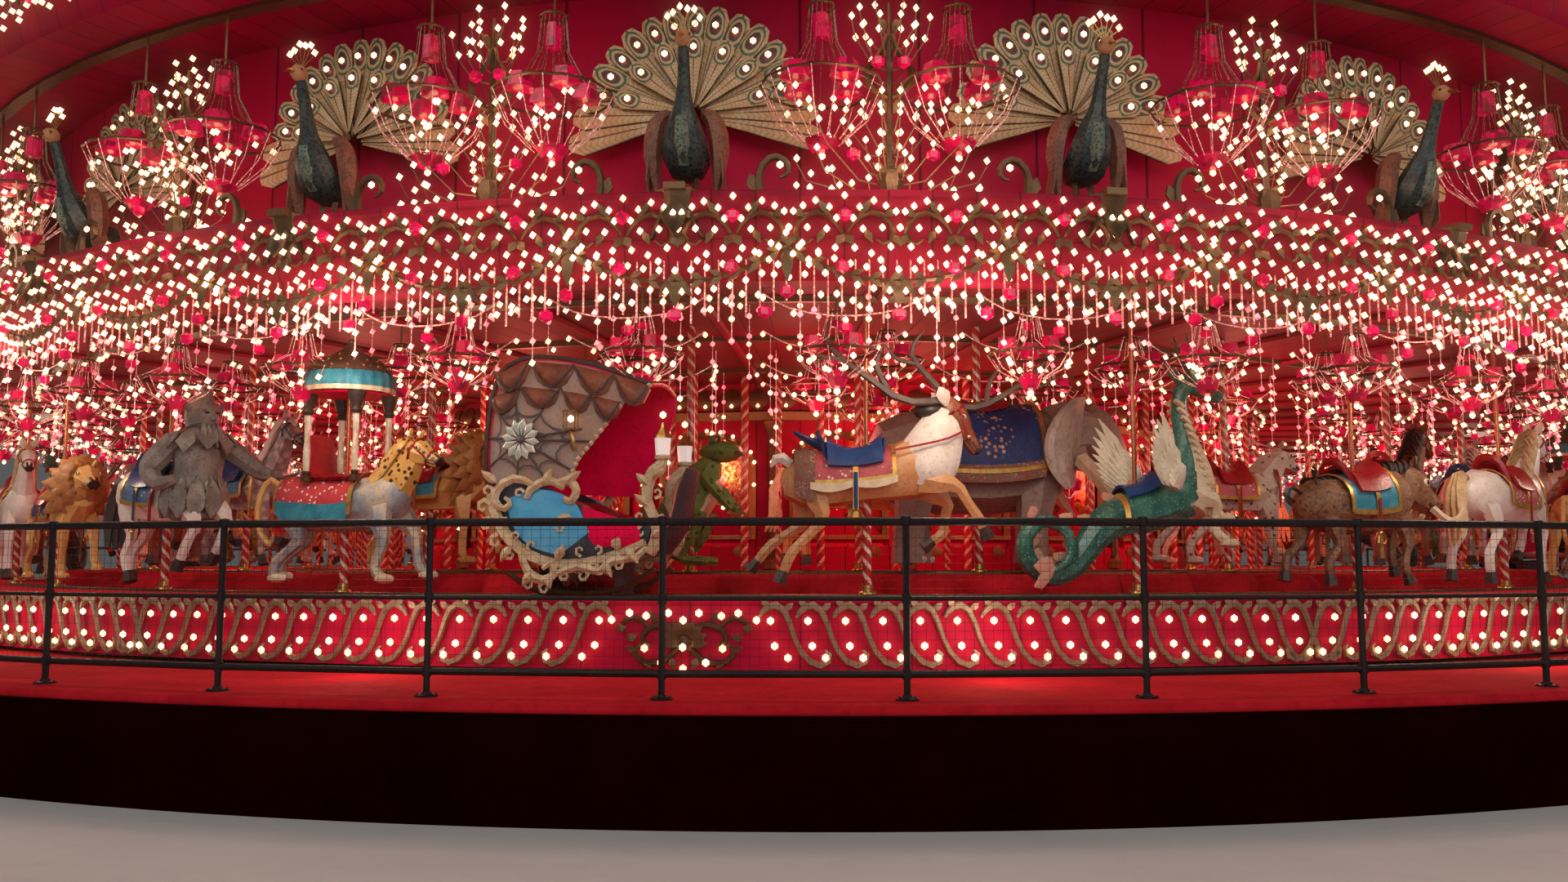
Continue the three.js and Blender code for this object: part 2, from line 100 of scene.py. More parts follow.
def outward(points, faces):
    """The closed surface with its faces turned out, by the sign of the volume summed over its triangles."""
    a, b, c, d = (points[faces[:, i]] for i in range(4))
    quad = (faces[:, 3] >= 0)[:, None]
    volume = (a * np.cross(b, c)).sum() + np.where(quad, a * np.cross(c, d), 0.0).sum()
    if volume < 0:
        faces = np.where(quad, faces[:, ::-1], faces[:, [2, 1, 0, 3]])
    return points, faces


def wrapped_quads(rows, columns, close_rows=False):
    """Quads between rows of points that close on themselves along each row."""
    row = np.arange(rows if close_rows else rows - 1)[:, None]
    side = np.arange(columns)
    after = (side + 1) % columns
    low, high = row * columns, (row + 1) % rows * columns
    return np.stack([low + side, low + after, high + after, high + side], -1).reshape(-1, 4)


def circle_angles(count, phase=0.0):
    """Angles in radians spaced evenly round a circle; phase moves them on by a share of one step."""
    return (np.arange(count) + phase) * 2 * np.pi / count


def around(count, first=0.0):
    """Azimuths in degrees of places spaced evenly round the axis, from the first one."""
    return np.arange(count) * 360 / count + first


def skin(rings, first=None, last=None):
    """Closed skin over rings (rows, sides, 3); each end is a fan to a point, or a lone triangle."""
    rows, sides, _ = rings.shape
    if sides == 3:
        last_row = 3 * rows - 3
        caps = [[0, 2, 1, -1], [last_row, last_row + 1, last_row + 2, -1]]
        return outward(rings.reshape(-1, 3), np.concatenate([wrapped_quads(rows, 3), caps]))
    ends = [rings[0].mean(0) if first is None else first, rings[-1].mean(0) if last is None else last]
    side = np.arange(sides)
    after = (side + 1) % sides
    blank = np.full(sides, -1)
    base = rows * sides
    start = np.stack([after, side, blank + 1 + base, blank], -1)
    top = np.stack([base - sides + side, base - sides + after, blank + 2 + base, blank], -1)
    points = np.concatenate([rings.reshape(-1, 3), ends])
    return outward(points, np.concatenate([wrapped_quads(rows, sides), start, top]))


def turned(profile, sides):
    """Profile of (radius, height) turned about Z. It starts and ends on the axis, or closes on itself."""
    profile = np.asarray(profile, float)
    angle = circle_angles(sides)
    circle = np.stack([np.cos(angle), np.sin(angle), np.zeros(sides)], -1)
    solid = profile[0, 0] == 0
    inner = profile[1:-1] if solid else profile
    rings = inner[:, None, :1] * circle + inner[:, None, 1:] * [0, 0, 1]
    if solid:
        return skin(rings, [0, 0, profile[0, 1]], [0, 0, profile[-1, 1]])
    return outward(rings.reshape(-1, 3), wrapped_quads(len(inner), sides, True))


def smooth(stations, count):
    """Catmull-Rom curve: the cubic through each pair of stations with the slope of their neighbours."""
    s = np.asarray(stations, float)
    s = np.concatenate([2 * s[:1] - s[1:2], s, 2 * s[-1:] - s[-2:-1]])
    t = np.linspace(0, len(s) - 3, count)
    i = np.minimum(t.astype(int), len(s) - 4)
    t = (t - i)[:, None]
    a, b, c, d = s[i], s[i + 1], s[i + 2], s[i + 3]
    return b + t * (c - a + t * (2 * a - 5 * b + 4 * c - d + t * (3 * b - a - 3 * c + d))) / 2


def unit(vectors):
    """Each vector divided by its length."""
    return vectors / np.maximum(np.linalg.norm(vectors, axis=-1, keepdims=True), 1e-9)


# Share of the full number of rows and sides that limbs, leaves and cloths are made with
fineness = 1.0


def limb(stations, rows=8, sides=8, across=(0, 1, 0), tip=0.45):
    """Oval carried along a smooth path. A station is x, y, z, half width, half height (or one radius)."""
    rows, sides = max(2, round(rows * fineness)), max(3, round(sides * fineness))
    path = smooth(stations, rows)
    centre, size = path[:, :3], np.maximum(path[:, [3, -1]], 0.001)
    along = unit(np.gradient(centre, axis=0))
    side = unit(across - (along @ np.asarray(across, float))[:, None] * along)
    up = np.cross(side, along)
    angle = circle_angles(sides)
    rings = (centre[:, None] + side[:, None] * (size[:, 0, None] * np.cos(angle))[..., None]
        + up[:, None] * (size[:, 1, None] * np.sin(angle))[..., None])
    reach = tip * size.min(1)
    return skin(rings, centre[0] - along[0] * reach[0], centre[-1] + along[-1] * reach[-1])


def ball(centre, sizes, sides=8, rows=5):
    """Ellipsoid: a half circle of rows turned about Z, then stretched to its three half sizes."""
    tilt = np.linspace(0, np.pi, rows + 2)
    points, faces = turned(np.stack([np.sin(tilt) * (np.abs(tilt - np.pi / 2) < 1.57), -np.cos(tilt)], -1),
        sides)
    return points * sizes + centre, faces


def board(grid, depth):
    """Sheet of points (rows, columns, 3) given a depth: a front, a back and the strip round its edge."""
    rows, columns, _ = grid.shape
    row, side = np.arange(rows - 1)[:, None] * columns, np.arange(columns - 1)
    front = np.stack([row + side, row + side + 1, row + columns + side + 1, row + columns + side], -1)
    front = front.reshape(-1, 4)
    number = np.arange(rows * columns).reshape(rows, columns)
    edge = np.concatenate([number[0, :-1], number[:-1, -1], number[-1, :0:-1], number[:0:-1, 0]])
    back = rows * columns
    after = np.roll(edge, -1)
    rim = np.stack([edge + back, after + back, after, edge], -1)
    points = np.concatenate([grid.reshape(-1, 3), (grid + depth).reshape(-1, 3)])
    return outward(points, np.concatenate([front, front[:, ::-1] + back, rim]))


def leaf(base, tip, width, lift=(0, 0, 0), depth=(0, 0.02, 0), rows=6, columns=3, side=None, broad=0.6):
    """Leaf or feather: half width as sin(pi * t**k)**0.75 from base to tip, bowed by lift in the middle."""
    base, tip, lift, depth = (np.asarray(v, float) for v in (base, tip, lift, depth))
    t = np.linspace(0, 1, max(min(rows, 4), round(rows * fineness)))
    k = math.log(0.5) / math.log(broad)
    half = width / 2 * np.maximum(np.sin(np.pi * t ** k), 0.0) ** 0.75 + width * 0.04
    across = unit(np.cross(depth, tip - base)) if side is None else unit(np.asarray(side, float))
    line = base + (tip - base) * t[:, None] + lift * np.sin(np.pi * t)[:, None]
    spread = np.linspace(-1, 1, columns)
    crown = (1 - spread ** 2)[None, :, None] * -depth * 0.8
    return board(line[:, None] + across * (half[:, None] * spread)[..., None] + crown, depth)


def box(centre, sizes):
    """Block of three full sizes about its centre."""
    x, y, z = (s / 2 for s in sizes)
    grid = np.array([[[-x, -y, -z], [x, -y, -z]], [[-x, -y, z], [x, -y, z]]]) + centre
    return board(grid, np.array([0, 2 * y, 0]))


def moved(surface, shift):
    """The surface shifted by x, y, z."""
    return surface[0] + shift, surface[1]


def merged(surfaces):
    """Several surfaces as one."""
    counts = np.cumsum([0] + [len(points) for points, _ in surfaces[:-1]])
    faces = [np.where(f >= 0, f + n, -1) for (_, f), n in zip(surfaces, counts)]
    return np.concatenate([points for points, _ in surfaces]), np.concatenate(faces)


def spread(points, faces):
    """Copies of one surface: points (copies, n, 3) with the same faces on each."""
    copies, count, _ = points.shape
    step = (np.arange(copies) * count)[:, None, None]
    return points.reshape(-1, 3), np.where(faces >= 0, faces + step, -1).reshape(-1, 4)


def ring(radius, azimuths, height=0.0, bent=False):
    """Places an ornament round the axis, x along the ring and y inward; bent wraps x round the ring."""
    turn = np.radians(np.atleast_1d(azimuths))[:, None]

    def place(points):
        x, y, z = points.T
        angle = turn + x / radius if bent else turn + 0 * x
        along = 0 * x if bent else x
        reach = radius - y
        cos, sin = np.cos(angle), np.sin(angle)
        return np.stack([along * cos + reach * sin, along * sin - reach * cos, z + height + 0 * angle], -1)
    return place


class Carving:
    """Surfaces by finish, and the points where lamps sit, in one ornament's own frame."""

    def __init__(self):
        self.surfaces = {}
        self.lamps = {}

    def add(self, finish, *surfaces):
        self.surfaces.setdefault(finish, []).extend(surfaces)

    def lamp(self, kind, points):
        self.lamps.setdefault(kind, []).append(np.reshape(points, (-1, 3)).astype(float))

    def take(self, other, place):
        """Adds every surface and lamp of another carving, once for each place."""
        for finish, surfaces in other.surfaces.items():
            points, faces = merged(surfaces)
            self.add(finish, spread(place(points), faces))
        for kind, groups in other.lamps.items():
            self.lamp(kind, place(np.concatenate(groups)))
        return self

    def mirrored(self):
        """The carving with left and right changed over."""
        made = Carving()
        for finish, surfaces in self.surfaces.items():
            made.add(finish, *[outward(points * [-1, 1, 1], faces) for points, faces in surfaces])
        for kind, groups in self.lamps.items():
            made.lamp(kind, np.concatenate(groups) * [-1, 1, 1])
        return made


# Lamps: each kind is one small shape, set at every lamp point

BULB = turned([[0, -0.03], [0.025, -0.012], [0.024, 0.013], [0, 0.03]], 4)


def towards_front(surface):
    """The surface turned so that the corner between +x, +y and +z of its own axes points to -y."""
    k = np.radians(90 - np.arange(3) * 120.0)
    axes = np.stack([math.sqrt(2 / 3) * np.cos(k), np.full(3, -math.sqrt(1 / 3)),
        math.sqrt(2 / 3) * np.sin(k)], -1)
    return outward(surface[0] @ axes, surface[1])


SMALL_BULB = towards_front(turned([[0, -0.031], [0.031, 0], [0, 0.031]], 4))
GLOBE = turned([[0, -0.056], [0.05, -0.025], [0.05, 0.025], [0, 0.056]], 6)
LAMPS = {"bulb": (BULB, "warm_bulb"), "small": (SMALL_BULB, "warm_bulb"), "globe": (GLOBE, "red_globe"),
    "heart": (SMALL_BULB, "rose_bulb")}
ALL_LAMPS = {}


# Finishes

def node(tree, kind, links, **settings):
    """Adds a shader node: settings are its own values, and links gives each input a socket or a value."""
    made = tree.nodes.new("ShaderNode" + kind)
    for name, value in settings.items():
        setattr(made, name, value)
    for socket, source in links.items():
        if isinstance(source, bpy.types.NodeSocket):
            tree.links.new(source, made.inputs[socket])
        else:
            made.inputs[socket].default_value = source
    return made


def blend(tree, mask, first, second, mode="MIX"):
    """Colour mixed from first to second by a mask."""
    mix = node(tree, "Mix", {}, data_type="RGBA", blend_type=mode)
    for socket, source in ((0, mask), (6, first), (7, second)):
        if isinstance(source, bpy.types.NodeSocket):
            tree.links.new(source, mix.inputs[socket])
        else:
            mix.inputs[socket].default_value = source
    return mix.outputs[2]


def math_node(tree, operation, first, second=0.0):
    """The result of one math operation on two sockets or values."""
    return node(tree, "Math", {0: first, 1: second}, operation=operation).outputs[0]


def ramp(tree, value, low, high, start=0.0, end=1.0):
    """The value's range low to high stretched over start to end, clamped."""
    return node(tree, "MapRange", {"Value": value, "From Min": low, "From Max": high, "To Min": start,
        "To Max": end}).outputs[0]


def new_group(name, inputs, outputs):
    """A shader node group with named sockets; an input is given by its default value."""
    tree = bpy.data.node_groups.new(name, "ShaderNodeTree")
    for label, value in inputs.items():
        kind = "Float" if isinstance(value, float) else "Vector" if len(value) == 3 else "Color"
        socket = tree.interface.new_socket(label, in_out="INPUT", socket_type="NodeSocket" + kind)
        socket.default_value = value
    for label, kind in outputs.items():
        tree.interface.new_socket(label, in_out="OUTPUT", socket_type="NodeSocket" + kind)
    return tree, tree.nodes.new("NodeGroupInput").outputs, tree.nodes.new("NodeGroupOutput").inputs


def patina_group():
    """Paint or gilding that is mottled at two scales and dirty in patches from finer noise."""
    tree, given, out = new_group("patina", {"Vector": (0.0, 0.0, 0.0), "Scale": 6.0,
        "Colour": (1, 1, 1, 1.0), "Second": (1, 1, 1, 1.0), "Dirt": (0, 0, 0, 1.0), "Dirt Amount": 0.5,
        "Roughness": 0.5}, {"Colour": "Color", "Roughness": "Float", "Height": "Float"})
    broad = node(tree, "TexNoise", {"Vector": given["Vector"], "Scale": given["Scale"],
        "Detail": 3.0}).outputs[0]
    fine_scale = math_node(tree, "MULTIPLY", given["Scale"], 7.3)
    fine = node(tree, "TexNoise", {"Vector": given["Vector"], "Scale": fine_scale, "Detail": 4.0}).outputs[0]
    colour = blend(tree, ramp(tree, broad, 0.38, 0.62), given["Colour"], given["Second"])
    patch = math_node(tree, "MULTIPLY", ramp(tree, fine, 0.52, 0.72), given["Dirt Amount"])
    tree.links.new(blend(tree, patch, colour, given["Dirt"]), out["Colour"])
    rough = math_node(tree, "MULTIPLY_ADD", ramp(tree, fine, 0.3, 0.7, -0.12, 0.16), 1.0)
    rough.node.inputs[2].default_value = 0.0
    tree.links.new(math_node(tree, "ADD", rough, given["Roughness"]), out["Roughness"])
    tree.links.new(math_node(tree, "ADD", fine, broad), out["Height"])
    return tree


def planks_group():
    """Radial boards: the azimuth counted in boards, with a seam at each whole number and a tone a board."""
    tree, given, out = new_group("planks", {"Vector": (0.0, 0.0, 0.0), "Boards": 120.0,
        "Colour": (1, 1, 1, 1.0), "Second": (1, 1, 1, 1.0), "Seam": (0, 0, 0, 1.0), "Seam Width": 0.03},
        {"Colour": "Color", "Height": "Float"})
    xyz = node(tree, "SeparateXYZ", {0: given["Vector"]}).outputs
    azimuth = math_node(tree, "ARCTAN2", xyz[0], xyz[1])
    boards = math_node(tree, "MULTIPLY", math_node(tree, "DIVIDE", azimuth, 2 * math.pi), given["Boards"])
    tone = node(tree, "TexWhiteNoise", {"W": math_node(tree, "FLOOR", boards)},
        noise_dimensions="1D").outputs[0]
    grain = node(tree, "TexNoise", {"Vector": given["Vector"], "Scale": 9.0, "Detail": 4.0}).outputs[0]
    shade = math_node(tree, "MULTIPLY", math_node(tree, "ADD", tone, grain), 0.5)
    distance = math_node(tree, "PINGPONG", boards, 0.5)
    open_seam = node(tree, "MapRange", {"Value": distance, "From Max": given["Seam Width"],
        "From Min": 0.0}).outputs[0]
    colour = blend(tree, shade, given["Colour"], given["Second"])
    tree.links.new(blend(tree, open_seam, given["Seam"], colour), out["Colour"])
    tree.links.new(math_node(tree, "ADD", open_seam, math_node(tree, "MULTIPLY", grain, 0.15)), out["Height"])
    return tree


PATINA = patina_group()
PLANKS = planks_group()
# Every material by its name
FINISHES = {}


def shader(name, roughness=0.5, metallic=0.0, bump=0.0, **sockets):
    """A material with its Principled shader, the object's coordinates, and a bump node for relief."""
    material = FINISHES[name] = bpy.data.materials.new(name)
    material.use_nodes = True
    tree = material.node_tree
    principled = tree.nodes["Principled BSDF"]
    principled.inputs["Roughness"].default_value = roughness
    principled.inputs["Metallic"].default_value = metallic
    for label, value in sockets.items():
        principled.inputs[label.replace("_", " ")].default_value = value
    place = node(tree, "TexCoord", {}).outputs["Object"]
    relief = None
    if bump:
        relief = node(tree, "Bump", {"Strength": 0.6, "Distance": bump})
        tree.links.new(relief.outputs[0], principled.inputs["Normal"])
    return material, tree, principled.inputs, place, relief


def painted(name, colour, second, dirt=(0.03, 0.02, 0.015), scale=6.0, dirt_amount=0.5, roughness=0.5,
        metallic=0.0, bump=0.002, overlay=None, **sockets):
    """Paint, gilding or cloth from the patina group. overlay may lay a pattern over its colour."""
    material, tree, surface, place, relief = shader(name, roughness, metallic, bump, **sockets)
    group = tree.nodes.new("ShaderNodeGroup")
    group.node_tree = PATINA
    for label, value in (("Scale", scale), ("Colour", (*colour, 1)), ("Second", (*second, 1)),
            ("Dirt", (*dirt, 1)), ("Dirt Amount", dirt_amount), ("Roughness", roughness)):
        group.inputs[label].default_value = value
    tree.links.new(place, group.inputs["Vector"])
    tint = group.outputs["Colour"]
    if overlay:
        tint = overlay(tree, place, tint)
    tree.links.new(tint, surface["Base Color"])
    tree.links.new(group.outputs["Roughness"], surface["Roughness"])
    tree.links.new(group.outputs["Height"], relief.inputs["Height"])
    return material


def boarded(name, colour, second, seam, boards, seam_width):
    """Crimson boards from the planks group."""
    material, tree, surface, place, relief = shader(name, 0.55, 0.0, 0.006, Specular_IOR_Level=0.15)
    group = tree.nodes.new("ShaderNodeGroup")
    group.node_tree = PLANKS
    for label, value in (("Boards", boards), ("Colour", (*colour, 1)), ("Second", (*second, 1)),
            ("Seam", (*seam, 1)), ("Seam Width", seam_width)):
        group.inputs[label].default_value = value
    tree.links.new(place, group.inputs["Vector"])
    tree.links.new(group.outputs["Colour"], surface["Base Color"])
    tree.links.new(group.outputs["Height"], relief.inputs["Height"])
    return material


def spots(colour, scale, low, high):
    """Overlay: round patches of one colour, from the distance to scattered points."""
    def overlay(tree, place, tint):
        cell = node(tree, "TexVoronoi", {"Vector": place, "Scale": scale}).outputs["Distance"]
        return blend(tree, ramp(tree, cell, low, high), (*colour, 1), tint)
    return overlay


def speckle(colour, scale, low, high):
    """Overlay: fine strokes of one colour from stretched noise."""
    def overlay(tree, place, tint):
        stroke = node(tree, "TexNoise", {"Vector": place, "Scale": scale, "Detail": 5.0}).outputs[0]
        return blend(tree, ramp(tree, stroke, low, high), tint, (*colour, 1))
    return overlay


def sprigs(colour, second, scale):
    """Overlay: sprays of small petals of two colours, gathered round scattered points."""
    def overlay(tree, place, tint):
        spray = node(tree, "TexVoronoi", {"Vector": place, "Scale": scale}).outputs["Distance"]
        petal = node(tree, "TexVoronoi", {"Vector": place, "Scale": scale * 5.5}).outputs
        shape = math_node(tree, "MAXIMUM", ramp(tree, spray, 0.42, 0.52),
            ramp(tree, petal["Distance"], 0.3, 0.38))
        leafy = blend(tree, node(tree, "SeparateColor", {0: petal["Color"]}).outputs[0], (*colour, 1),
            (*second, 1))
        return blend(tree, shape, leafy, tint)
    return overlay


def ridge_wear_and_highlight(colour):
    """Overlay: worn bright metal on the ridges of the carving, which is also a painted highlight along them.
    """
    def overlay(tree, place, tint):
        ridge = node(tree, "NewGeometry", {}).outputs["Pointiness"]
        # Ridges lighter: worn gilding, and a painted highlight along them
        return blend(tree, ramp(tree, ridge, 0.53, 0.72), tint, (*colour, 1))
    return overlay


def lamp_finish(name, colour, strength, second):
    """Lit glass: the glow varies a little from lamp to lamp."""
    material, tree, surface, place, _ = shader(name, 0.15, Emission_Strength=strength)
    lamp = node(tree, "TexNoise", {"Vector": place, "Scale": 5.0, "Detail": 0.0}).outputs[0]
    glow = blend(tree, ramp(tree, lamp, 0.35, 0.65), (*colour, 1), (*second, 1))
    tree.links.new(glow, surface["Emission Color"])
    surface["Base Color"].default_value = (1.0, 0.9, 0.75, 1)
    return material


def glass_finish(name, colour, second, strength, roughness, sparkle=0.0, scale=70.0):
    """Cut glass: tinted, glossy, with a glow by facet, which is painted light on glass with no lamp inside.
    """
    material, tree, surface, place, _ = shader(name, roughness, Emission_Strength=strength)
    facet = node(tree, "TexVoronoi", {"Vector": place, "Scale": scale}).outputs["Color"]
    value = node(tree, "SeparateColor", {0: facet}).outputs[0]
    tint = blend(tree, value, (*colour, 1), (*second, 1))
    tree.links.new(tint, surface["Base Color"])
    glow = tint
    # sparkle: painted glints on the brightest facets
    if sparkle:
        glow = blend(tree, ramp(tree, value, 1.0 - sparkle, 1.0), tint, (1.0, 0.85, 0.7, 1), "ADD")
    tree.links.new(glow, surface["Emission Color"])
    return material


def striped_pole(name, turns):
    """Barber pole: the UV map's u runs once round and v up in metres; stripes follow u + turns * v."""
    material, tree, surface, place, relief = shader(name, 0.25, 0.0, 0.01, Coat_Weight=0.5)
    uv = node(tree, "TexCoord", {}).outputs["UV"]
    xy = node(tree, "SeparateXYZ", {0: uv}).outputs
    helix = math_node(tree, "ADD", xy[0], math_node(tree, "MULTIPLY", xy[1], turns))
    phase = math_node(tree, "FRACT", math_node(tree, "MULTIPLY", helix, 2.0))
    wear = node(tree, "TexNoise", {"Vector": place, "Scale": 30.0, "Detail": 3.0}).outputs[0]
    red = blend(tree, ramp(tree, wear, 0.4, 0.7), (0.55, 0.012, 0.02, 1), (0.3, 0.008, 0.015, 1))
    white = blend(tree, ramp(tree, wear, 0.4, 0.7), (0.85, 0.72, 0.55, 1), (0.55, 0.4, 0.24, 1))
    colour = blend(tree, ramp(tree, phase, 0.6, 0.62), red, white)
    tree.links.new(blend(tree, ramp(tree, phase, 0.94, 0.96), colour, (0.5, 0.28, 0.07, 1)),
        surface["Base Color"])
    lobe = math_node(tree, "PINGPONG", phase, 0.31)
    tree.links.new(lobe, relief.inputs["Height"])
    return material


def fan_feathers(name):
    """Tail fan: u counts the feathers and v runs to the tip. Each has a quill, barbs and a ringed eye."""
    material, tree, surface, place, relief = shader(name, 0.45, 0.0, 0.006)
    xy = node(tree, "SeparateXYZ", {0: node(tree, "TexCoord", {}).outputs["UV"]}).outputs
    middle = math_node(tree, "SUBTRACT", math_node(tree, "FRACT", xy[0]), 0.5)
    across = math_node(tree, "MULTIPLY", math_node(tree, "ABSOLUTE", middle), 2.0)
    tone = node(tree, "TexNoise", {"Vector": place, "Scale": 12.0, "Detail": 4.0}).outputs[0]
    colour = blend(tree, ramp(tree, tone, 0.35, 0.65), (0.62, 0.4, 0.2, 1), (0.68, 0.55, 0.33, 1))
    rows = math_node(tree, "SUBTRACT", math_node(tree, "MULTIPLY", xy[1], 20.0),
        math_node(tree, "MULTIPLY", across, 1.6))
    barb = math_node(tree, "PINGPONG", rows, 0.5)
    colour = blend(tree, ramp(tree, barb, 0.0, 0.2), (0.42, 0.27, 0.14, 1), colour)
    colour = blend(tree, ramp(tree, across, 0.05, 0.1), (0.16, 0.07, 0.035, 1), colour)
    wide = math_node(tree, "DIVIDE", across, 0.6)
    tall = math_node(tree, "DIVIDE", math_node(tree, "SUBTRACT", xy[1], 0.83), 0.11)
    square = math_node(tree, "ADD", math_node(tree, "MULTIPLY", wide, wide),
        math_node(tree, "MULTIPLY", tall, tall))
    distance = math_node(tree, "SQRT", square)
    fan_side = math_node(tree, "ABSOLUTE", math_node(tree, "SUBTRACT", xy[0], 8.5))
    far = math_node(tree, "ADD", distance, math_node(tree, "MULTIPLY", ramp(tree, fan_side, 6.5, 6.51), 9.0))
    for edge, tint in ((1.36, (0.045, 0.15, 0.09, 1)), (1.12, (0.62, 0.44, 0.23, 1)),
            (0.84, (0.02, 0.075, 0.075, 1)), (0.62, (0.13, 0.008, 0.02, 1))):
        colour = blend(tree, ramp(tree, far, edge - 0.04, edge + 0.04), tint, colour)
    # Darker towards each feather's edge: painted shade in the gaps between the feathers
    colour = blend(tree, ramp(tree, across, 0.86, 0.96), colour, (0.035, 0.018, 0.012, 1))
    tree.links.new(colour, surface["Base Color"])
    tree.links.new(barb, relief.inputs["Height"])
    return material


# Finishes by name: colour, second colour, dirt, scale, share of dirt, roughness, metal, relief in metres
painted("maroon_wall", (0.012, 0.0, 0.0), (0.008, 0.0, 0.0), (0.01, 0.001, 0.001), 1.6, 0.5, 0.9,
    Specular_IOR_Level=0.0)
painted("red_carpet", (0.6, 0.013, 0.026), (0.47, 0.008, 0.019), (0.3, 0.006, 0.012), 2.2, 0.5, 0.95,
    bump=0.006, overlay=speckle((0.42, 0.01, 0.018), 260.0, 0.5, 0.75), Specular_IOR_Level=0.1)
painted("black_steel", (0.016, 0.011, 0.013), (0.01, 0.008, 0.01), (0.05, 0.028, 0.024), 5.0, 0.5, 0.5,
    0.2, Specular_IOR_Level=0.3)
painted("aged_gilt", (0.085, 0.046, 0.02), (0.17, 0.098, 0.042), (0.02, 0.012, 0.008), 14.0, 0.75, 0.36,
    0.65, 0.004, ridge_wear_and_highlight((0.5, 0.32, 0.13)))
painted("dark_bronze", (0.022, 0.013, 0.008), (0.06, 0.034, 0.018), (0.008, 0.005, 0.004), 14.0, 0.7, 0.34,
    0.6, 0.004, ridge_wear_and_highlight((0.26, 0.15, 0.07)))
boarded("crimson_wall", (0.58, 0.0, 0.06), (0.42, 0.0, 0.042), (0.05, 0.0, 0.008), 72.0, 0.02)
boarded("crimson_soffit", (0.3, 0.0, 0.024), (0.2, 0.0, 0.016), (0.05, 0.0, 0.006), 240.0, 0.04)
boarded("crimson_rim", (0.38, 0.0, 0.04), (0.25, 0.0, 0.024), (0.07, 0.0, 0.008), 240.0, 0.03)
boarded("crimson_skirt", (0.64, 0.002, 0.06), (0.52, 0.002, 0.048), (0.2, 0.001, 0.02), 96.0, 0.012)
lamp_finish("warm_bulb", (1.0, 0.47, 0.21), 3.1, (1.0, 0.6, 0.34))
lamp_finish("rose_bulb", (1.0, 0.05, 0.15), 1.5, (1.0, 0.3, 0.28))
glass_finish("red_globe", (0.8, 0.0, 0.1), (0.36, 0.0, 0.03), 0.55, 0.06, scale=24.0)
glass_finish("red_shade", (0.62, 0.0, 0.06), (0.16, 0.0, 0.012), 0.48, 0.2, scale=13.0)
# Crystal and bead chains hold no lamp: their glow is painted light on the beads, and sparkle adds painted
# glints.
glass_finish("crystal", (0.46, 0.09, 0.09), (0.9, 0.48, 0.4), 0.34, 0.12, sparkle=0.28)
glass_finish("bead_chain", (0.1, 0.03, 0.016), (0.4, 0.2, 0.1), 0.05, 0.2, sparkle=0.18)
painted("peacock_scales", (0.022, 0.05, 0.06), (0.055, 0.085, 0.06), scale=8.0, roughness=0.35,
    overlay=spots((0.012, 0.016, 0.022), 34.0, 0.3, 0.55))
painted("peacock_breast", (0.2, 0.26, 0.18), (0.1, 0.16, 0.13), scale=12.0,
    overlay=spots((0.04, 0.06, 0.05), 40.0, 0.25, 0.5))
painted("tan_paint", (0.52, 0.26, 0.12), (0.44, 0.22, 0.1), scale=9.0, dirt_amount=0.4)
painted("wing_brown", (0.33, 0.12, 0.07), (0.22, 0.09, 0.06), scale=10.0,
    overlay=speckle((0.12, 0.05, 0.03), 40.0, 0.5, 0.7))
painted("black_paint", (0.012, 0.01, 0.012), (0.03, 0.025, 0.025), scale=10.0, roughness=0.3)
painted("brass", (0.62, 0.38, 0.12), (0.45, 0.26, 0.08), (0.12, 0.07, 0.03), 20.0, 0.5, 0.28, 0.9, 0.001)
painted("white_coat", (0.88, 0.85, 0.8), (0.78, 0.72, 0.64), (0.36, 0.26, 0.17), 7.0, 0.35, 0.35)
painted("brushed_white", (0.86, 0.8, 0.72), (0.74, 0.66, 0.58), (0.44, 0.34, 0.28), 8.0, 0.4, 0.5,
    overlay=speckle((0.46, 0.36, 0.31), 24.0, 0.58, 0.78))
painted("tan_coat", (0.58, 0.27, 0.1), (0.66, 0.36, 0.16), (0.25, 0.1, 0.04), 5.0, 0.5, 0.38)
painted("gold_coat", (0.6, 0.32, 0.09), (0.68, 0.42, 0.15), (0.28, 0.12, 0.04), 6.0, 0.5, 0.4)
painted("bay_coat", (0.2, 0.055, 0.022), (0.28, 0.085, 0.03), (0.05, 0.015, 0.01), 6.0, 0.5, 0.35)
painted("dapple_coat", (0.42, 0.36, 0.34), (0.3, 0.26, 0.26), (0.12, 0.09, 0.09), 7.0, 0.4, 0.38,
    overlay=spots((0.66, 0.6, 0.54), 11.0, 0.25, 0.5))
painted("stone_coat", (0.3, 0.275, 0.245), (0.19, 0.175, 0.155), (0.06, 0.05, 0.045), 8.0, 0.75, 0.55,
    bump=0.005)
painted("blue_grey_coat", (0.26, 0.3, 0.34), (0.55, 0.47, 0.34), (0.1, 0.09, 0.08), 5.0, 0.5, 0.4)
painted("gold_spotted", (0.7, 0.43, 0.12), (0.62, 0.34, 0.09), (0.25, 0.11, 0.04), 7.0, 0.4, 0.38,
    overlay=spots((0.05, 0.022, 0.012), 17.0, 0.24, 0.34))
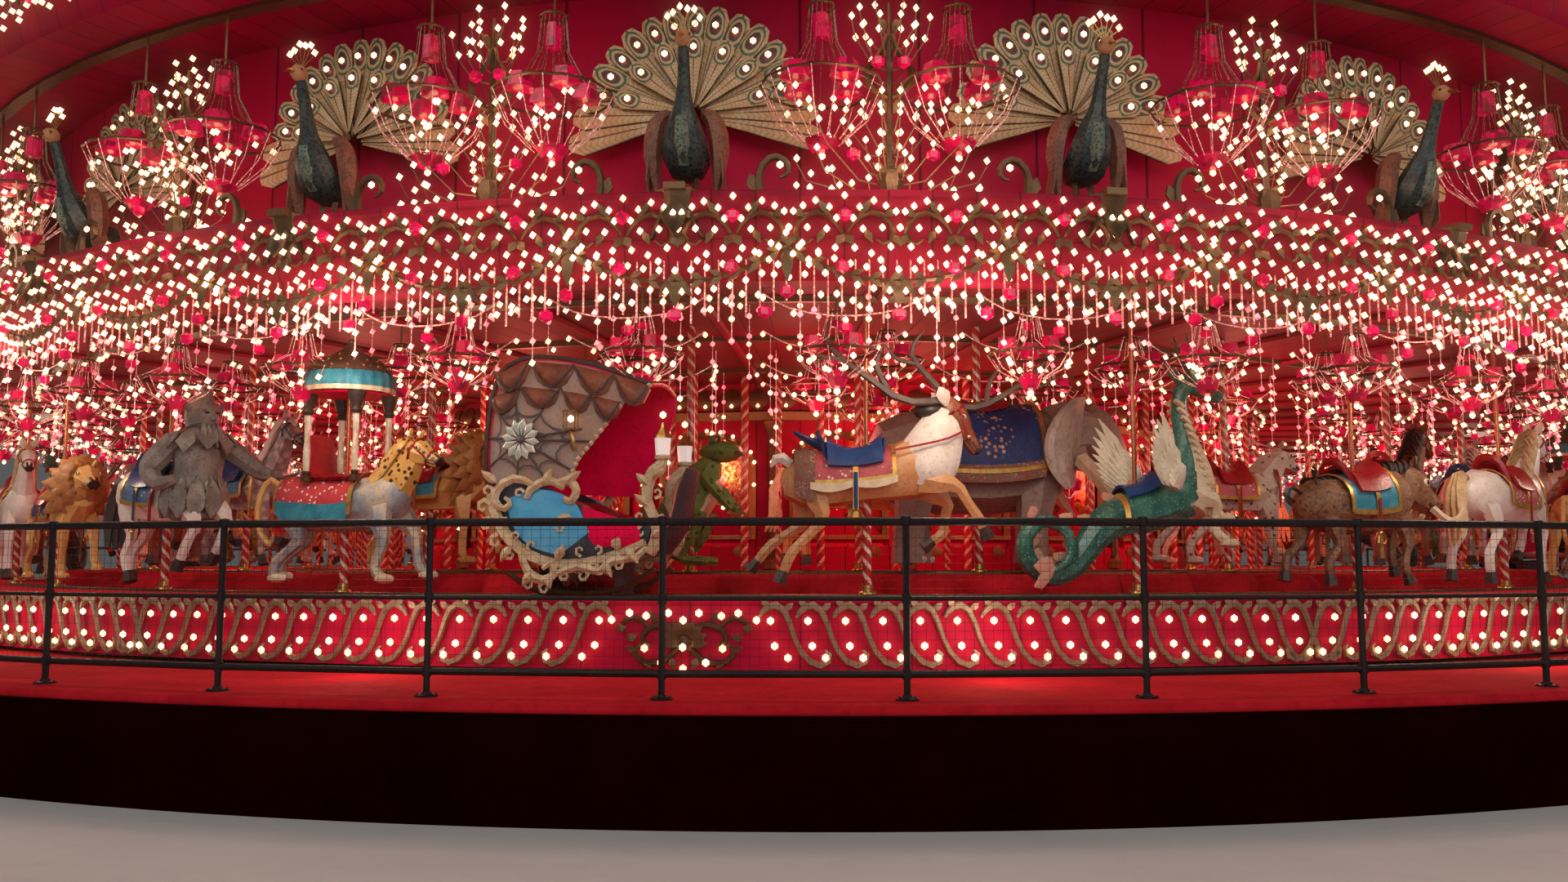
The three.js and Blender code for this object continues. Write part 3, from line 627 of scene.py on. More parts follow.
# elephant_ear: its speckle darkens streaks across the ear, painted shade standing for its folds
painted("elephant_ear", (0.62, 0.54, 0.47), (0.44, 0.37, 0.31), (0.2, 0.15, 0.12), 3.0, 0.6, 0.55,
    bump=0.008, overlay=speckle((0.34, 0.27, 0.22), 9.0, 0.54, 0.72))
painted("pale_gilt", (0.155, 0.108, 0.062), (0.27, 0.195, 0.115), (0.03, 0.016, 0.01), 14.0, 0.8, 0.42,
    0.35, overlay=ridge_wear_and_highlight((0.62, 0.5, 0.33)))
painted("snow_spots", (0.62, 0.54, 0.45), (0.5, 0.42, 0.34), (0.12, 0.08, 0.06), 6.0, 0.5, 0.45,
    overlay=spots((0.07, 0.05, 0.04), 13.0, 0.14, 0.26))
painted("elephant_coat", (0.27, 0.19, 0.155), (0.35, 0.255, 0.21), (0.13, 0.085, 0.065), 4.0, 0.5, 0.5,
    bump=0.006)
painted("boar_coat", (0.22, 0.105, 0.05), (0.3, 0.16, 0.08), (0.07, 0.035, 0.02), 9.0, 0.7, 0.5,
    bump=0.006, overlay=speckle((0.06, 0.03, 0.02), 30.0, 0.5, 0.7))
painted("frog_coat", (0.2, 0.3, 0.07), (0.12, 0.22, 0.06), (0.05, 0.09, 0.03), 8.0, 0.5, 0.3,
    overlay=spots((0.05, 0.1, 0.03), 14.0, 0.22, 0.34))
painted("pale_striped", (0.72, 0.62, 0.5), (0.62, 0.52, 0.42), (0.3, 0.2, 0.14), 6.0, 0.4, 0.4,
    overlay=speckle((0.1, 0.06, 0.05), 9.0, 0.53, 0.56))
painted("teal_scales", (0.022, 0.115, 0.092), (0.06, 0.215, 0.155), (0.01, 0.04, 0.035), 5.0, 0.5, 0.2,
    overlay=spots((0.16, 0.4, 0.28), 38.0, 0.1, 0.34))
painted("dragon_belly", (0.8, 0.7, 0.48), (0.66, 0.54, 0.34), (0.34, 0.2, 0.1), 9.0, 0.5, 0.42)
painted("wing_cream", (0.9, 0.86, 0.66), (0.76, 0.7, 0.5), (0.36, 0.3, 0.2), 14.0, 0.5, 0.45, bump=0.004,
    overlay=speckle((0.46, 0.38, 0.22), 60.0, 0.6, 0.76))
painted("fin_pink", (0.66, 0.3, 0.22), (0.56, 0.36, 0.22), (0.3, 0.12, 0.08), 12.0, 0.5, 0.4)
painted("antler", (0.105, 0.075, 0.06), (0.16, 0.12, 0.095), (0.04, 0.028, 0.022), 12.0, 0.6, 0.5)
painted("dark_hair", (0.03, 0.02, 0.018), (0.05, 0.035, 0.03), scale=16.0, roughness=0.4)
painted("cream_hair", (0.7, 0.52, 0.28), (0.55, 0.38, 0.18), (0.2, 0.12, 0.06), 16.0, 0.6, 0.4)
painted("lion_mane", (0.34, 0.14, 0.045), (0.46, 0.22, 0.07), (0.1, 0.04, 0.02), 14.0, 0.7, 0.45)
painted("hoof_black", (0.035, 0.025, 0.022), (0.06, 0.04, 0.035), scale=16.0, roughness=0.3)
painted("dark_nose", (0.045, 0.018, 0.018), (0.07, 0.03, 0.028), scale=14.0, roughness=0.32)
painted("ivory", (0.78, 0.68, 0.48), (0.66, 0.53, 0.34), (0.34, 0.22, 0.12), 14.0, 0.5, 0.3)
painted("dark_line", (0.035, 0.02, 0.018), (0.06, 0.035, 0.03), scale=14.0)
painted("blue_leather", (0.012, 0.06, 0.19), (0.02, 0.085, 0.25), (0.008, 0.02, 0.06), 8.0, 0.5, 0.22)
painted("red_leather", (0.38, 0.012, 0.018), (0.28, 0.01, 0.014), (0.08, 0.006, 0.008), 8.0, 0.5, 0.28)
painted("blue_cloth", (0.045, 0.12, 0.26), (0.06, 0.17, 0.32), (0.02, 0.04, 0.09), 9.0, 0.5, 0.6,
    overlay=spots((0.72, 0.56, 0.26), 16.0, 0.13, 0.19))
painted("rose_cloth", (0.52, 0.1, 0.11), (0.42, 0.06, 0.09), (0.2, 0.03, 0.04), 9.0, 0.5, 0.55,
    overlay=spots((0.78, 0.68, 0.5), 20.0, 0.16, 0.26))
painted("navy_cloth", (0.014, 0.03, 0.135), (0.02, 0.045, 0.19), (0.006, 0.01, 0.03), 7.0, 0.5, 0.55,
    overlay=sprigs((0.62, 0.42, 0.24), (0.4, 0.2, 0.18), 3.6))
painted("teal_cloth", (0.02, 0.2, 0.3), (0.05, 0.32, 0.42), (0.01, 0.08, 0.1), 9.0, 0.5, 0.5)
painted("striped_cloth", (0.6, 0.05, 0.06), (0.48, 0.03, 0.05), (0.2, 0.02, 0.03), 9.0, 0.4, 0.55,
    overlay=spots((0.8, 0.74, 0.62), 24.0, 0.2, 0.3))
painted("garland", (0.2, 0.15, 0.09), (0.3, 0.07, 0.06), (0.04, 0.03, 0.02), 24.0, 0.6, 0.55, bump=0.01,
    overlay=sprigs((0.66, 0.5, 0.36), (0.5, 0.12, 0.12), 11.0))
painted("gold_trim", (0.72, 0.44, 0.12), (0.56, 0.32, 0.08), (0.2, 0.1, 0.03), 24.0, 0.5, 0.32, 0.7)
painted("cream_carved", (0.78, 0.64, 0.42), (0.62, 0.46, 0.26), (0.1, 0.055, 0.03), 16.0, 0.85, 0.42,
    bump=0.005)
painted("sky_blue", (0.07, 0.42, 0.78), (0.12, 0.52, 0.85), (0.03, 0.16, 0.34), 6.0, 0.3, 0.3)
painted("mauve_hood", (0.44, 0.345, 0.315), (0.46, 0.3, 0.23), (0.2, 0.13, 0.11), 4.0, 0.4, 0.4)
painted("rust_hood", (0.17, 0.042, 0.018), (0.26, 0.07, 0.026), (0.05, 0.012, 0.008), 5.0, 0.5, 0.42)
painted("web_rib", (0.085, 0.07, 0.07), (0.13, 0.11, 0.105), (0.03, 0.02, 0.02), 16.0, 0.5, 0.4)
painted("pearl", (0.72, 0.66, 0.6), (0.5, 0.62, 0.52), (0.25, 0.2, 0.2), 26.0, 0.4, 0.15, 0.2)
painted("crimson_lining", (0.92, 0.0, 0.085), (0.8, 0.0, 0.065), (0.45, 0.0, 0.03), 5.0, 0.4, 0.7,
    Specular_IOR_Level=0.15)
painted("dark_paint", (0.035, 0.045, 0.065), (0.055, 0.065, 0.085), scale=6.0, roughness=0.4)
painted("brown_dome", (0.06, 0.03, 0.02), (0.1, 0.05, 0.028), scale=10.0, roughness=0.35,
    overlay=spots((0.55, 0.4, 0.22), 26.0, 0.1, 0.16))
painted("white_twist", (0.74, 0.66, 0.52), (0.6, 0.5, 0.36), (0.03, 0.02, 0.02), 20.0, 0.8, 0.3)
painted("copper_rod", (0.42, 0.13, 0.07), (0.52, 0.2, 0.09), (0.2, 0.05, 0.03), 20.0, 0.4, 0.28, 0.7)
painted("mirror_panel", (0.42, 0.05, 0.03), (0.6, 0.16, 0.05), (0.12, 0.01, 0.01), 3.0, 0.5, 0.12, 0.9)
glass_finish("lantern_glass", (0.7, 0.62, 0.6), (0.8, 0.72, 0.66), 0.5, 0.2)
striped_pole("barber_stripe", 4.5)
striped_pole("gold_stripe", -3.5)
fan_feathers("fan_feathers")


# Pieces

def mesh_from(name, surfaces, finishes):
    """One mesh from surfaces, with a material index for each."""
    points, faces = merged([surface for _, surface in surfaces])
    index = np.concatenate([np.full(len(surface[1]), finishes.index(finish)) for finish, surface in surfaces])
    sizes = np.where(faces[:, 3] >= 0, 4, 3)
    corners = faces[faces >= 0]
    mesh = bpy.data.meshes.new(name)
    mesh.vertices.add(len(points))
    mesh.vertices.foreach_set("co", points.astype(np.float32).ravel())
    mesh.loops.add(len(corners))
    mesh.loops.foreach_set("vertex_index", corners.astype(np.int32))
    mesh.polygons.add(len(faces))
    mesh.polygons.foreach_set("loop_start", (np.cumsum(sizes) - sizes).astype(np.int32))
    mesh.polygons.foreach_set("material_index", index.astype(np.int32))
    mesh.update(calc_edges=True)
    mesh.validate()
    return mesh


def piece(name, carving, body, slot, *nodes, sharp=38.0):
    """One object from a carving's surfaces, riding on a body. Its lamps are kept for the lamp pieces."""
    finishes = list(carving.surfaces)
    surfaces = [(finish, surface) for finish in finishes for surface in carving.surfaces[finish]]
    mesh = mesh_from(name, surfaces, finishes)
    for finish in finishes:
        mesh.materials.append(FINISHES[finish])
    mesh.shade_smooth()
    mesh.set_sharp_from_angle(angle=math.radians(sharp))
    made = bpy.data.objects.new(name, mesh)
    bpy.context.scene.collection.objects.link(made)
    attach(made, body)
    if nodes:
        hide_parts(*nodes)
    for kind, groups in carving.lamps.items():
        ALL_LAMPS.setdefault((kind, body), []).extend(groups)
    return made


def plain(finish, *surfaces):
    """A carving of one finish."""
    made = Carving()
    made.add(finish, *surfaces)
    return made


def numbered(stem, count, first=1, stride=1):
    """Names of the form stem_1, stem_2 and so on, up to count."""
    return [f"{stem}_{n}" for n in range(first, count + 1, stride)]


# Plinth with its carpeted ledge

def plinth():
    """Rendered wall with a base course and a coping, and the carpet floor with its rolled nosing."""
    wall_top = PLINTH_TOP - 0.0603
    inside, edge = 13.9, PLINTH_RADIUS
    wall = turned([[inside, 0.0], [edge, 0.0], [edge, 0.1], [14.04, 0.11], [14.04, wall_top - 0.04],
        [edge, wall_top - 0.03], [edge, wall_top], [inside, wall_top]], ROUND)
    piece("plinth_rendered_wall", plain("maroon_wall", wall), "surround", "maroon_paint",
        *numbered("plinth_wall", 4))
    t = np.linspace(-90, 90, 7)[:, None]
    nose = np.hstack([edge + 0.03 * np.cos(np.radians(t)), PLINTH_TOP - 0.03 + 0.03 * np.sin(np.radians(t))])
    floor = turned([[0, PLINTH_TOP - 0.06], [inside, PLINTH_TOP - 0.06], *nose.tolist(),
        [12.6, PLINTH_TOP], [6.0, PLINTH_TOP], [0, PLINTH_TOP]], ROUND)
    piece("plinth_carpet", plain("red_carpet", floor), "surround", "red_carpet", "plinth_floor")


# Railing: tube rails between posts, foot plates with bolts, and square wire mesh

RAIL_POSTS = around(60, -3.4)
WIRE_RADIUS = 0.0013
RAIL_HEIGHTS = {"top": (1.045, 0.025), "middle": (0.59, 0.014), "low": (0.15, 0.023)}


def between_posts(heights, radius, sides):
    """Straight bars from post to post at each height."""
    a = np.radians(RAIL_POSTS)
    start = np.stack([RAIL_RADIUS * np.sin(a), -RAIL_RADIUS * np.cos(a)], -1)
    end = np.roll(start, -1, 0)
    angle = circle_angles(sides)
    out = unit((start + end) / 2)
    centre = np.stack([start, end], 1)
    flat = centre[:, None, :, None, :] + out[:, None, None, None] * (radius * np.cos(angle))[:, None]
    level = np.asarray(heights)[:, None, None] + (radius * np.sin(angle))
    flat = np.broadcast_to(flat, (len(a), len(heights), 2, sides, 2))
    level = np.broadcast_to(level[None], (len(a), len(heights), 1, sides)).repeat(2, 2)[..., None]
    rings = np.concatenate([flat, level], -1).reshape(-1, 2, sides, 3)
    return merged([skin(r) for r in rings])


def railing():
    """Posts on foot plates, three tube rails between them, and wires in squares of 5 cm."""
    posts = Carving()
    base = PLINTH_TOP + GAP
    posts.add("black_steel", limb([[0, 0, base, 0.021], [0, 0, base + 1.045, 0.021]], 2, 8, (1, 0, 0), 0))
    plate_top = turned([[0, base], [0.07, base], [0.07, base + 0.01], [0.035, base + 0.014],
        [0.028, base + 0.03], [0, base + 0.03]], 12)
    collar = turned([[0, 1.025 + base], [0.03, 1.025 + base], [0.034, 1.045 + base], [0.03, 1.075 + base],
        [0, 1.082 + base]], 10)
    bolts = [moved(turned([[0, base + 0.008], [0.009, base + 0.008], [0.009, base + 0.017],
        [0, base + 0.017]], 6), (x, y, 0)) for x in (-0.045, 0.045) for y in (-0.03, 0.03)]
    clamps = [turned([[0, base + z - 0.03], [0.028, base + z - 0.03], [0.028, base + z + 0.03],
        [0, base + z + 0.03]], 8) for z in (0.15, 0.59)]
    posts.add("black_steel", plate_top, collar, *bolts, *clamps)
    whole = Carving().take(posts, ring(RAIL_RADIUS, RAIL_POSTS))
    for height, radius in RAIL_HEIGHTS.values():
        whole.add("black_steel", between_posts([base + height], radius, 8))
    piece("railing_bars", whole, "surround", "black_steel", *numbered("railing", 12))
    mesh = Carving()
    levels = PLINTH_TOP + np.arange(0.2, 1.02, 0.05)
    mesh.add("black_steel", between_posts(levels, WIRE_RADIUS, 3))
    wire = skin(np.stack([np.stack([WIRE_RADIUS * np.cos(t), WIRE_RADIUS * np.sin(t), 0 * t + z], -1)
        for t in [np.arange(3) * 2.094] for z in (PLINTH_TOP + 0.15, PLINTH_TOP + 1.03)]))
    bay = 2 * RAIL_RADIUS * math.sin(math.radians(3.0))
    sag = np.linspace(-bay / 2, bay / 2, 26)[1:-1]
    radius = RAIL_RADIUS * math.cos(math.radians(3.0))
    mid = ring(radius, RAIL_POSTS + 3.0)
    mesh.add("black_steel", *[spread(mid(wire[0] + [x, 0, 0]), wire[1]) for x in sag])
    piece("railing_wire_mesh", mesh, "surround", "black_steel")


# Platform: deck, scalloped step and the lamp frieze on the skirt

FRIEZE_CENTRES = around(8, -3.9)
SCROLL_PITCH = 1.25


def platform():
    """Deck, skirt boards, and the step, whose edge swells 96 times as the root of a sine's size."""
    edge = PLATFORM_RADIUS - 0.0503
    deck = turned([[0, DECK_TOP - 0.06], [edge, DECK_TOP - 0.06], [edge, DECK_TOP - 0.004],
        [edge - 0.004, DECK_TOP], [9, DECK_TOP], [0, DECK_TOP]], ROUND)
    piece("deck_carpet", plain("red_carpet", deck), "carousel", "red_carpet", "platform_deck")
    foot = PLINTH_TOP + 0.035
    skirt = turned([[12.15, foot], [PLATFORM_RADIUS, foot], [PLATFORM_RADIUS, foot + 0.02],
        [12.19, foot + 0.03], [12.19, DECK_TOP - 0.03], [12.205, DECK_TOP - 0.025],
        [12.21, DECK_TOP - 0.01], [12.205, DECK_TOP], [12.15, DECK_TOP]], 288)
    piece("skirt_boards", plain("crimson_skirt", skirt), "carousel", "crimson_board", "platform_skirt")
    angle = circle_angles(576)
    wave = np.abs(np.sin(angle * 48)) ** 0.55
    rise = STEP_TOP - DECK_TOP
    rows = []
    for depth, height in ((0.0, GAP), (0.0, 0.03), (0.02, 0.075), (0.06, 0.12), (0.12, 0.15), (0.2, rise)):
        radius = STEP_RADIUS - 0.1 + 0.28 * wave - depth * (0.4 + 1.1 * wave)
        rows.append(np.stack([radius * np.sin(angle), -radius * np.cos(angle),
            0 * angle + DECK_TOP + height], -1))
    step = skin(np.stack(rows), [0, 0, DECK_FOOT], [0, 0, STEP_TOP])
    piece("scalloped_step", plain("red_carpet", step), "carousel", "red_carpet", "platform_step")


def frieze_scroll():
    """Acanthus scroll: hooked to the right at its top, down a leaning stem and curled under to the left."""
    made = Carving()
    path = [[0.085, 1.105, 0.01], [0.056, 1.15, 0.022], [0.01, 1.186, 0.03], [-0.05, 1.19, 0.031],
        [-0.112, 1.135, 0.026], [-0.15, 1.02, 0.02], [-0.195, 0.905, 0.02], [-0.258, 0.812, 0.024],
        [-0.335, 0.768, 0.028], [-0.402, 0.785, 0.026], [-0.424, 0.845, 0.018], [-0.392, 0.876, 0.009]]
    stations = [[x, -0.022, z, r * 0.8, r] for x, z, r in path]
    made.add("pale_gilt", limb(stations, 13, 5))
    for x, z, dx, dz, width in ((0.02, 1.185, 0.04, 0.055, 0.045), (-0.1, 1.16, -0.06, 0.05, 0.045)):
        made.add("pale_gilt", leaf((x, -0.03, z), (x + dx, -0.045, z + dz), width, (0, -0.012, 0),
            (0, 0.016, 0), 4, 2, broad=0.45))
    made.lamp("bulb", [[0.0, -0.05, 1.085], [-0.03, -0.05, 0.908], [-0.124, -0.05, 0.825]])
    return made


def frieze_centrepiece():
    """Shell of leaves between two pairs of curling arms, with a lamp in each hollow."""
    made = Carving()
    turns = np.radians(np.arange(-100, 101, 25.0))
    tips = np.stack([0.17 * np.sin(turns), 0 * turns - 0.05, 0.95 + 0.15 * np.cos(turns)], -1)
    made.add("dark_bronze", *[leaf((0, -0.02, 0.93), tip, 0.075, (0, -0.02, 0), (0, 0.02, 0), 4, 2)
        for tip in tips])
    made.add("dark_bronze", ball([0, -0.045, 0.935], [0.05, 0.03, 0.05], 8, 4))
    for side in (-1, 1):
        for path in ([[0.03, 0.99, 0.018], [0.14, 1.06, 0.026], [0.27, 1.02, 0.024], [0.3, 0.94, 0.02],
                [0.24, 0.91, 0.012]], [[0.03, 0.9, 0.018], [0.15, 0.8, 0.026], [0.29, 0.79, 0.024],
                [0.36, 0.86, 0.02], [0.31, 0.92, 0.012]], [[0.24, 1.03, 0.014], [0.36, 1.11, 0.02],
                [0.45, 1.06, 0.018], [0.43, 0.99, 0.01]]):
            made.add("dark_bronze", limb([[side * x, -0.03, z, r * 0.8, r] for x, z, r in path], 10, 5))
        for x, z, tip_x, tip_z in ((0.2, 1.05, 0.24, 1.16), (0.1, 0.83, 0.06, 0.74),
                (0.33, 0.86, 0.42, 0.9), (0.42, 1.04, 0.5, 1.02), (0.25, 0.79, 0.27, 0.735),
                (0.34, 0.98, 0.42, 0.95)):
            made.add("dark_bronze", leaf((side * x, -0.03, z), (side * tip_x, -0.05, tip_z), 0.06,
                (0, -0.015, 0), (0, 0.016, 0), 3, 2))
        made.lamp("bulb", [[side * x, -0.07, z] for x, z in ((0.11, 1.14), (0.27, 1.12), (0.39, 1.14),
            (0.52, 1.09), (0.28, 0.89), (0.16, 0.79))])
    made.lamp("bulb", [[0.0, -0.09, 1.09], [0.0, -0.1, 0.9], [0.0, -0.08, 0.75]])
    return made


def frieze():
    """Scrolls on the skirt that turn away from each centrepiece on both sides."""
    left = frieze_scroll()
    right = left.mirrored()
    steps = 2.9 + SCROLL_PITCH * np.arange(16)
    whole = Carving()
    after = (FRIEZE_CENTRES[:, None] + steps).ravel()
    before = (FRIEZE_CENTRES[:, None] - steps).ravel()
    whole.take(left, ring(PLATFORM_RADIUS, before, bent=True))
    whole.take(right, ring(PLATFORM_RADIUS, after, bent=True))
    piece("skirt_scrolls", whole, "carousel", "aged_gilt")
    centres = Carving().take(frieze_centrepiece(), ring(PLATFORM_RADIUS, FRIEZE_CENTRES, bent=True))
    piece("skirt_centrepieces", centres, "carousel", "aged_gilt")


# Canopy: ceiling, rim cornice with its swags, drum, upper cornice and roof

def canopy():
    """Ceiling with its ribs, hoops and lamps, the rim cornice, the drum and the upper cornice."""
    ceiling = turned([[0, CEILING], [11.99, CEILING], [11.99, CEILING + 0.05], [0, CEILING + 0.05]], ROUND)
    ribs = Carving()
    ribs.add("crimson_soffit", ceiling)
    rib = limb([[0, 0.15, CEILING - 0.02, 0.05, 0.03], [0, 5.9, CEILING - 0.02, 0.04, 0.03]], 2, 6, (1, 0, 0))
    ribs.take(plain("crimson_rim", rib), ring(CEILING_RADIUS, around(48, 3.4)))
    for radius in (11.2, 9.4, 7.4):
        hoop = turned([[radius - 0.05, CEILING], [radius - 0.03, CEILING - 0.04],
            [radius + 0.03, CEILING - 0.04], [radius + 0.05, CEILING]], 96)
        ribs.add("dark_bronze", hoop)
    for radius, count in ((11.2, 144), (9.4, 120), (7.4, 96)):
        lamps = Carving()
        lamps.lamp("small", [[0, 0, CEILING - 0.07]])
        ribs.take(lamps, ring(radius, around(count)))
    piece("ceiling_boards", ribs, "carousel", "crimson_board", "canopy_ceiling")
    bottom = CEILING - 0.09
    cornice = turned([[12.005, bottom], [12.2, bottom], [12.24, bottom + 0.05], [12.26, bottom + 0.12],
        [12.31, bottom + 0.2], [12.32, bottom + 0.28], [12.3, bottom + 0.3], [12.3, 4.02], [12.33, 4.04],
        [12.35, 4.08], [12.35, 4.13], [12.37, 4.15], [12.37, 4.19], [12.36, SHELF_TOP],
        [11.301, SHELF_TOP], [11.301, SHELF_TOP - 0.05], [12.005, SHELF_TOP - 0.05]], ROUND)
    piece("rim_cornice_boards", plain("crimson_rim", cornice), "carousel", "aged_gilt", "rim_cornice")
    drum = turned([[11.2, CEILING + 0.0503], [DRUM_RADIUS, CEILING + 0.0503],
        [DRUM_RADIUS, SOFFIT - 0.0003], [11.2, SOFFIT - 0.0003]], 288)
    piece("drum_boards", plain("crimson_wall", drum), "carousel", "crimson_board", "upper_drum")
    upper = turned([[11.1, SOFFIT], [12.5, SOFFIT], [12.53, SOFFIT + 0.06], [12.56, SOFFIT + 0.2],
        [12.62, SOFFIT + 0.27], [12.62, SOFFIT + 0.3], [12.58, SOFFIT + 0.32], [12.58, 6.78], [12.62, 6.8],
        [12.65, 6.84], [12.65, CORNICE_TOP], [12.45, CORNICE_TOP], [12.45, SOFFIT + 0.05],
        [11.1, SOFFIT + 0.05]], ROUND)
    piece("upper_cornice_boards", plain("crimson_rim", upper), "carousel", "aged_gilt", "upper_cornice")


def roof():
    """Boarded cone between gilt ribs; radius and height change evenly from the cornice to the crown."""
    t = np.linspace(0, 1, 9)
    radius = ROOF_RADIUS + (CROWN_RADIUS - ROOF_RADIUS) * t
    height = CORNICE_TOP + (CROWN - CORNICE_TOP) * t
    outer = np.stack([radius, height], -1)
    shell = [[12.29, SOFFIT + 0.0503], [12.39, SOFFIT + 0.0503], *outer.tolist(), [1.2, CROWN],
        [1.2, CROWN - 0.1], [12.29, CORNICE_TOP - 0.1]]
    whole = plain("crimson_wall", turned(shell, 144))
    rib = limb([[0, 0.0, CORNICE_TOP + 0.02, 0.06, 0.035],
        [0, ROOF_RADIUS - CROWN_RADIUS, CROWN + 0.01, 0.035, 0.03]], 2, 6, (1, 0, 0), 0)
    whole.take(plain("aged_gilt", rib), ring(ROOF_RADIUS, around(24, 3.3)))
    lamps = Carving()
    along = np.linspace(0.04, 0.97, 26)
    lamps.lamp("small", np.stack([0 * along, along * (ROOF_RADIUS - CROWN_RADIUS),
        CORNICE_TOP + 0.075 + along * (CROWN - CORNICE_TOP)], -1))
    whole.take(lamps, ring(ROOF_RADIUS, around(24, 3.3)))
    piece("roof_boards", whole, "carousel", "crimson_board", "roof")
    foot = CROWN + 0.0003
    finial = turned([[0, foot], [1.4, foot], [1.42, foot + 0.05], [1.38, foot + 0.1], [1.05, foot + 0.15],
        [0.95, foot + 0.2], [0.93, foot + 0.6], [1.0, foot + 0.65], [1.18, foot + 0.68],
        [1.2, foot + 0.72], [1.05, foot + 0.8], [0.6, foot + 0.9], [0.3, foot + 1.02], [0.16, foot + 1.07],
        [0.19, foot + 1.12], [0.09, foot + 1.2], [0, 11.4]], 48)
    crown = plain("aged_gilt", finial)
    petal = leaf((0, 0.12, foot + 0.2), (0, -0.02, foot + 0.62), 0.26, (0, -0.05, 0), (0, 0.03, 0), 6, 3)
    crown.take(plain("aged_gilt", petal), ring(1.05, around(24)))
    rim = Carving()
    rim.lamp("small", [[0, 0, foot + 0.12]])
    crown.take(rim, ring(1.36, around(36)))
    piece("roof_finial_carved", crown, "carousel", "aged_gilt", "roof_finial")


def rim_ornament(plain_only=False):
    """Two lying scrolls back to back over a leaf, for 3.75 degrees of the rim."""
    made = Carving()
    for side in (-1, 1):
        path = [[0.02, 3.88, 0.012], [0.08, 3.98, 0.022], [0.19, 4.04, 0.026], [0.31, 3.99, 0.024],
            [0.36, 3.88, 0.02], [0.3, 3.8, 0.017], [0.23, 3.84, 0.01]]
        made.add("dark_bronze", limb([[side * x, -0.045, z, r * 0.8, r * 0.8] for x, z, r in path],
            8 if plain_only else 10, 4))
        for x, z, tx, tz in ((0.1, 4.0, 0.2, 4.13), (0.27, 4.0, 0.39, 4.05), (0.34, 3.88, 0.41, 3.78),
                (0.14, 3.92, 0.2, 3.8))[:1 if plain_only else 4]:
            made.add("dark_bronze", leaf((side * x, -0.04, z), (side * tx, -0.07, tz), 0.055,
                (0, -0.02, 0), (0, 0.014, 0), 3, 2, broad=0.4))
        made.lamp("small", [[side * x, -0.09, z] for x, z in ((0.06, 3.98), (0.13, 3.9), (0.27, 3.91),
            (0.21, 4.11), (0.37, 4.03), (0.33, 3.77), (0.19, 3.72), (0.07, 3.76))])
        made.lamp("small", [[side * x, -0.06, z] for x, z in ((0.3, 4.08), (0.11, 4.07), (0.4, 3.92),
            (0.26, 3.68))])
    for turn in (-40, 40):
        a = math.radians(turn)
        made.add("dark_bronze", leaf((0, -0.03, 3.88), (0.1 * math.sin(a), -0.08,
            3.88 - 0.13 * math.cos(a)), 0.07, (0, -0.02, 0), (0, 0.016, 0), 3, 2, broad=0.4))
    made.lamp("globe", [[0, -0.1, 3.8 if plain_only else 4.0]])
    made.lamp("small", [[0.0, -0.08, 4.15]])
    return made


SWAG_HALF = CORNICE_RADIUS * math.radians(3.75)


def swag():
    """Garland of leaves that sags between two hooks 7.5 degrees apart, with lamps above and below it."""
    made = Carving()
    half = SWAG_HALF

    def line(x):
        return 3.8 - 0.27 * (1 - np.abs(x / half) ** 2.2)
    x = np.linspace(-half, half, 13)
    made.add("dark_bronze", limb(np.stack([x, 0 * x - 0.04, line(x), 0 * x + 0.018], -1), 13, 4))
    for at in np.linspace(-half * 0.94, half * 0.94, 12):
        way = math.copysign(1, at + 0.001)
        for up in (-1, 1):
            tip = at - way * 0.1
            made.add("dark_bronze", leaf((at, -0.05, line(at)), (tip, -0.075, line(tip) + up * 0.055),
                0.048, (0, -0.012, 0), (0, 0.014, 0), 3, 2, broad=0.45))
    at = np.linspace(-half, half, 15)[:-1]
    made.lamp("small", np.stack([at, 0 * at - 0.09, line(at) + 0.075], -1))
    made.lamp("small", np.stack([at + 0.05, 0 * at - 0.08, line(at) - 0.08], -1))
    made.lamp("small", np.stack([at + 0.02, 0 * at - 0.03, line(at) - 0.19 - 0.05 * np.cos(at * 23.0)], -1))
    for spot, tip, width in (((half, -0.03, 3.8), (half, -0.08, 3.52), 0.09),
            ((0, -0.05, 3.54), (0, -0.08, 3.34), 0.09), ((-0.02, -0.05, 3.54), (-0.12, -0.07, 3.42), 0.06),
            ((0.02, -0.05, 3.54), (0.12, -0.07, 3.42), 0.06)):
        made.add("dark_bronze", leaf(spot, tip, width, (0, -0.03, 0), (0, 0.02, 0), 4, 2, broad=0.35))
    made.lamp("globe", [[0, -0.09, 3.28], [half, -0.1, 3.44], [-half / 2, -0.11, 3.62],
        [half / 2, -0.11, 3.62], [half * 0.8, -0.06, 3.3]])
    made.lamp("heart", [[half * k / 4, -0.02, 3.36 - 0.04 * (k % 2)] for k in range(-3, 4)])
    return made


def fringe():
    """Bead strands that hang from the rim, longer towards the middle of each swag."""
    made = Carving()
    for k, x in enumerate(np.linspace(-SWAG_HALF, SWAG_HALF, 17)[:-1]):
        low = 3.4 - 0.12 * (1 - (x / SWAG_HALF) ** 2) - 0.05 * (k % 2)
        made.add("crystal", limb([[x, 0.02, 3.72, 0.007], [x, 0.02, low, 0.009]], 2, 3, (1, 0, 0)))
    return made


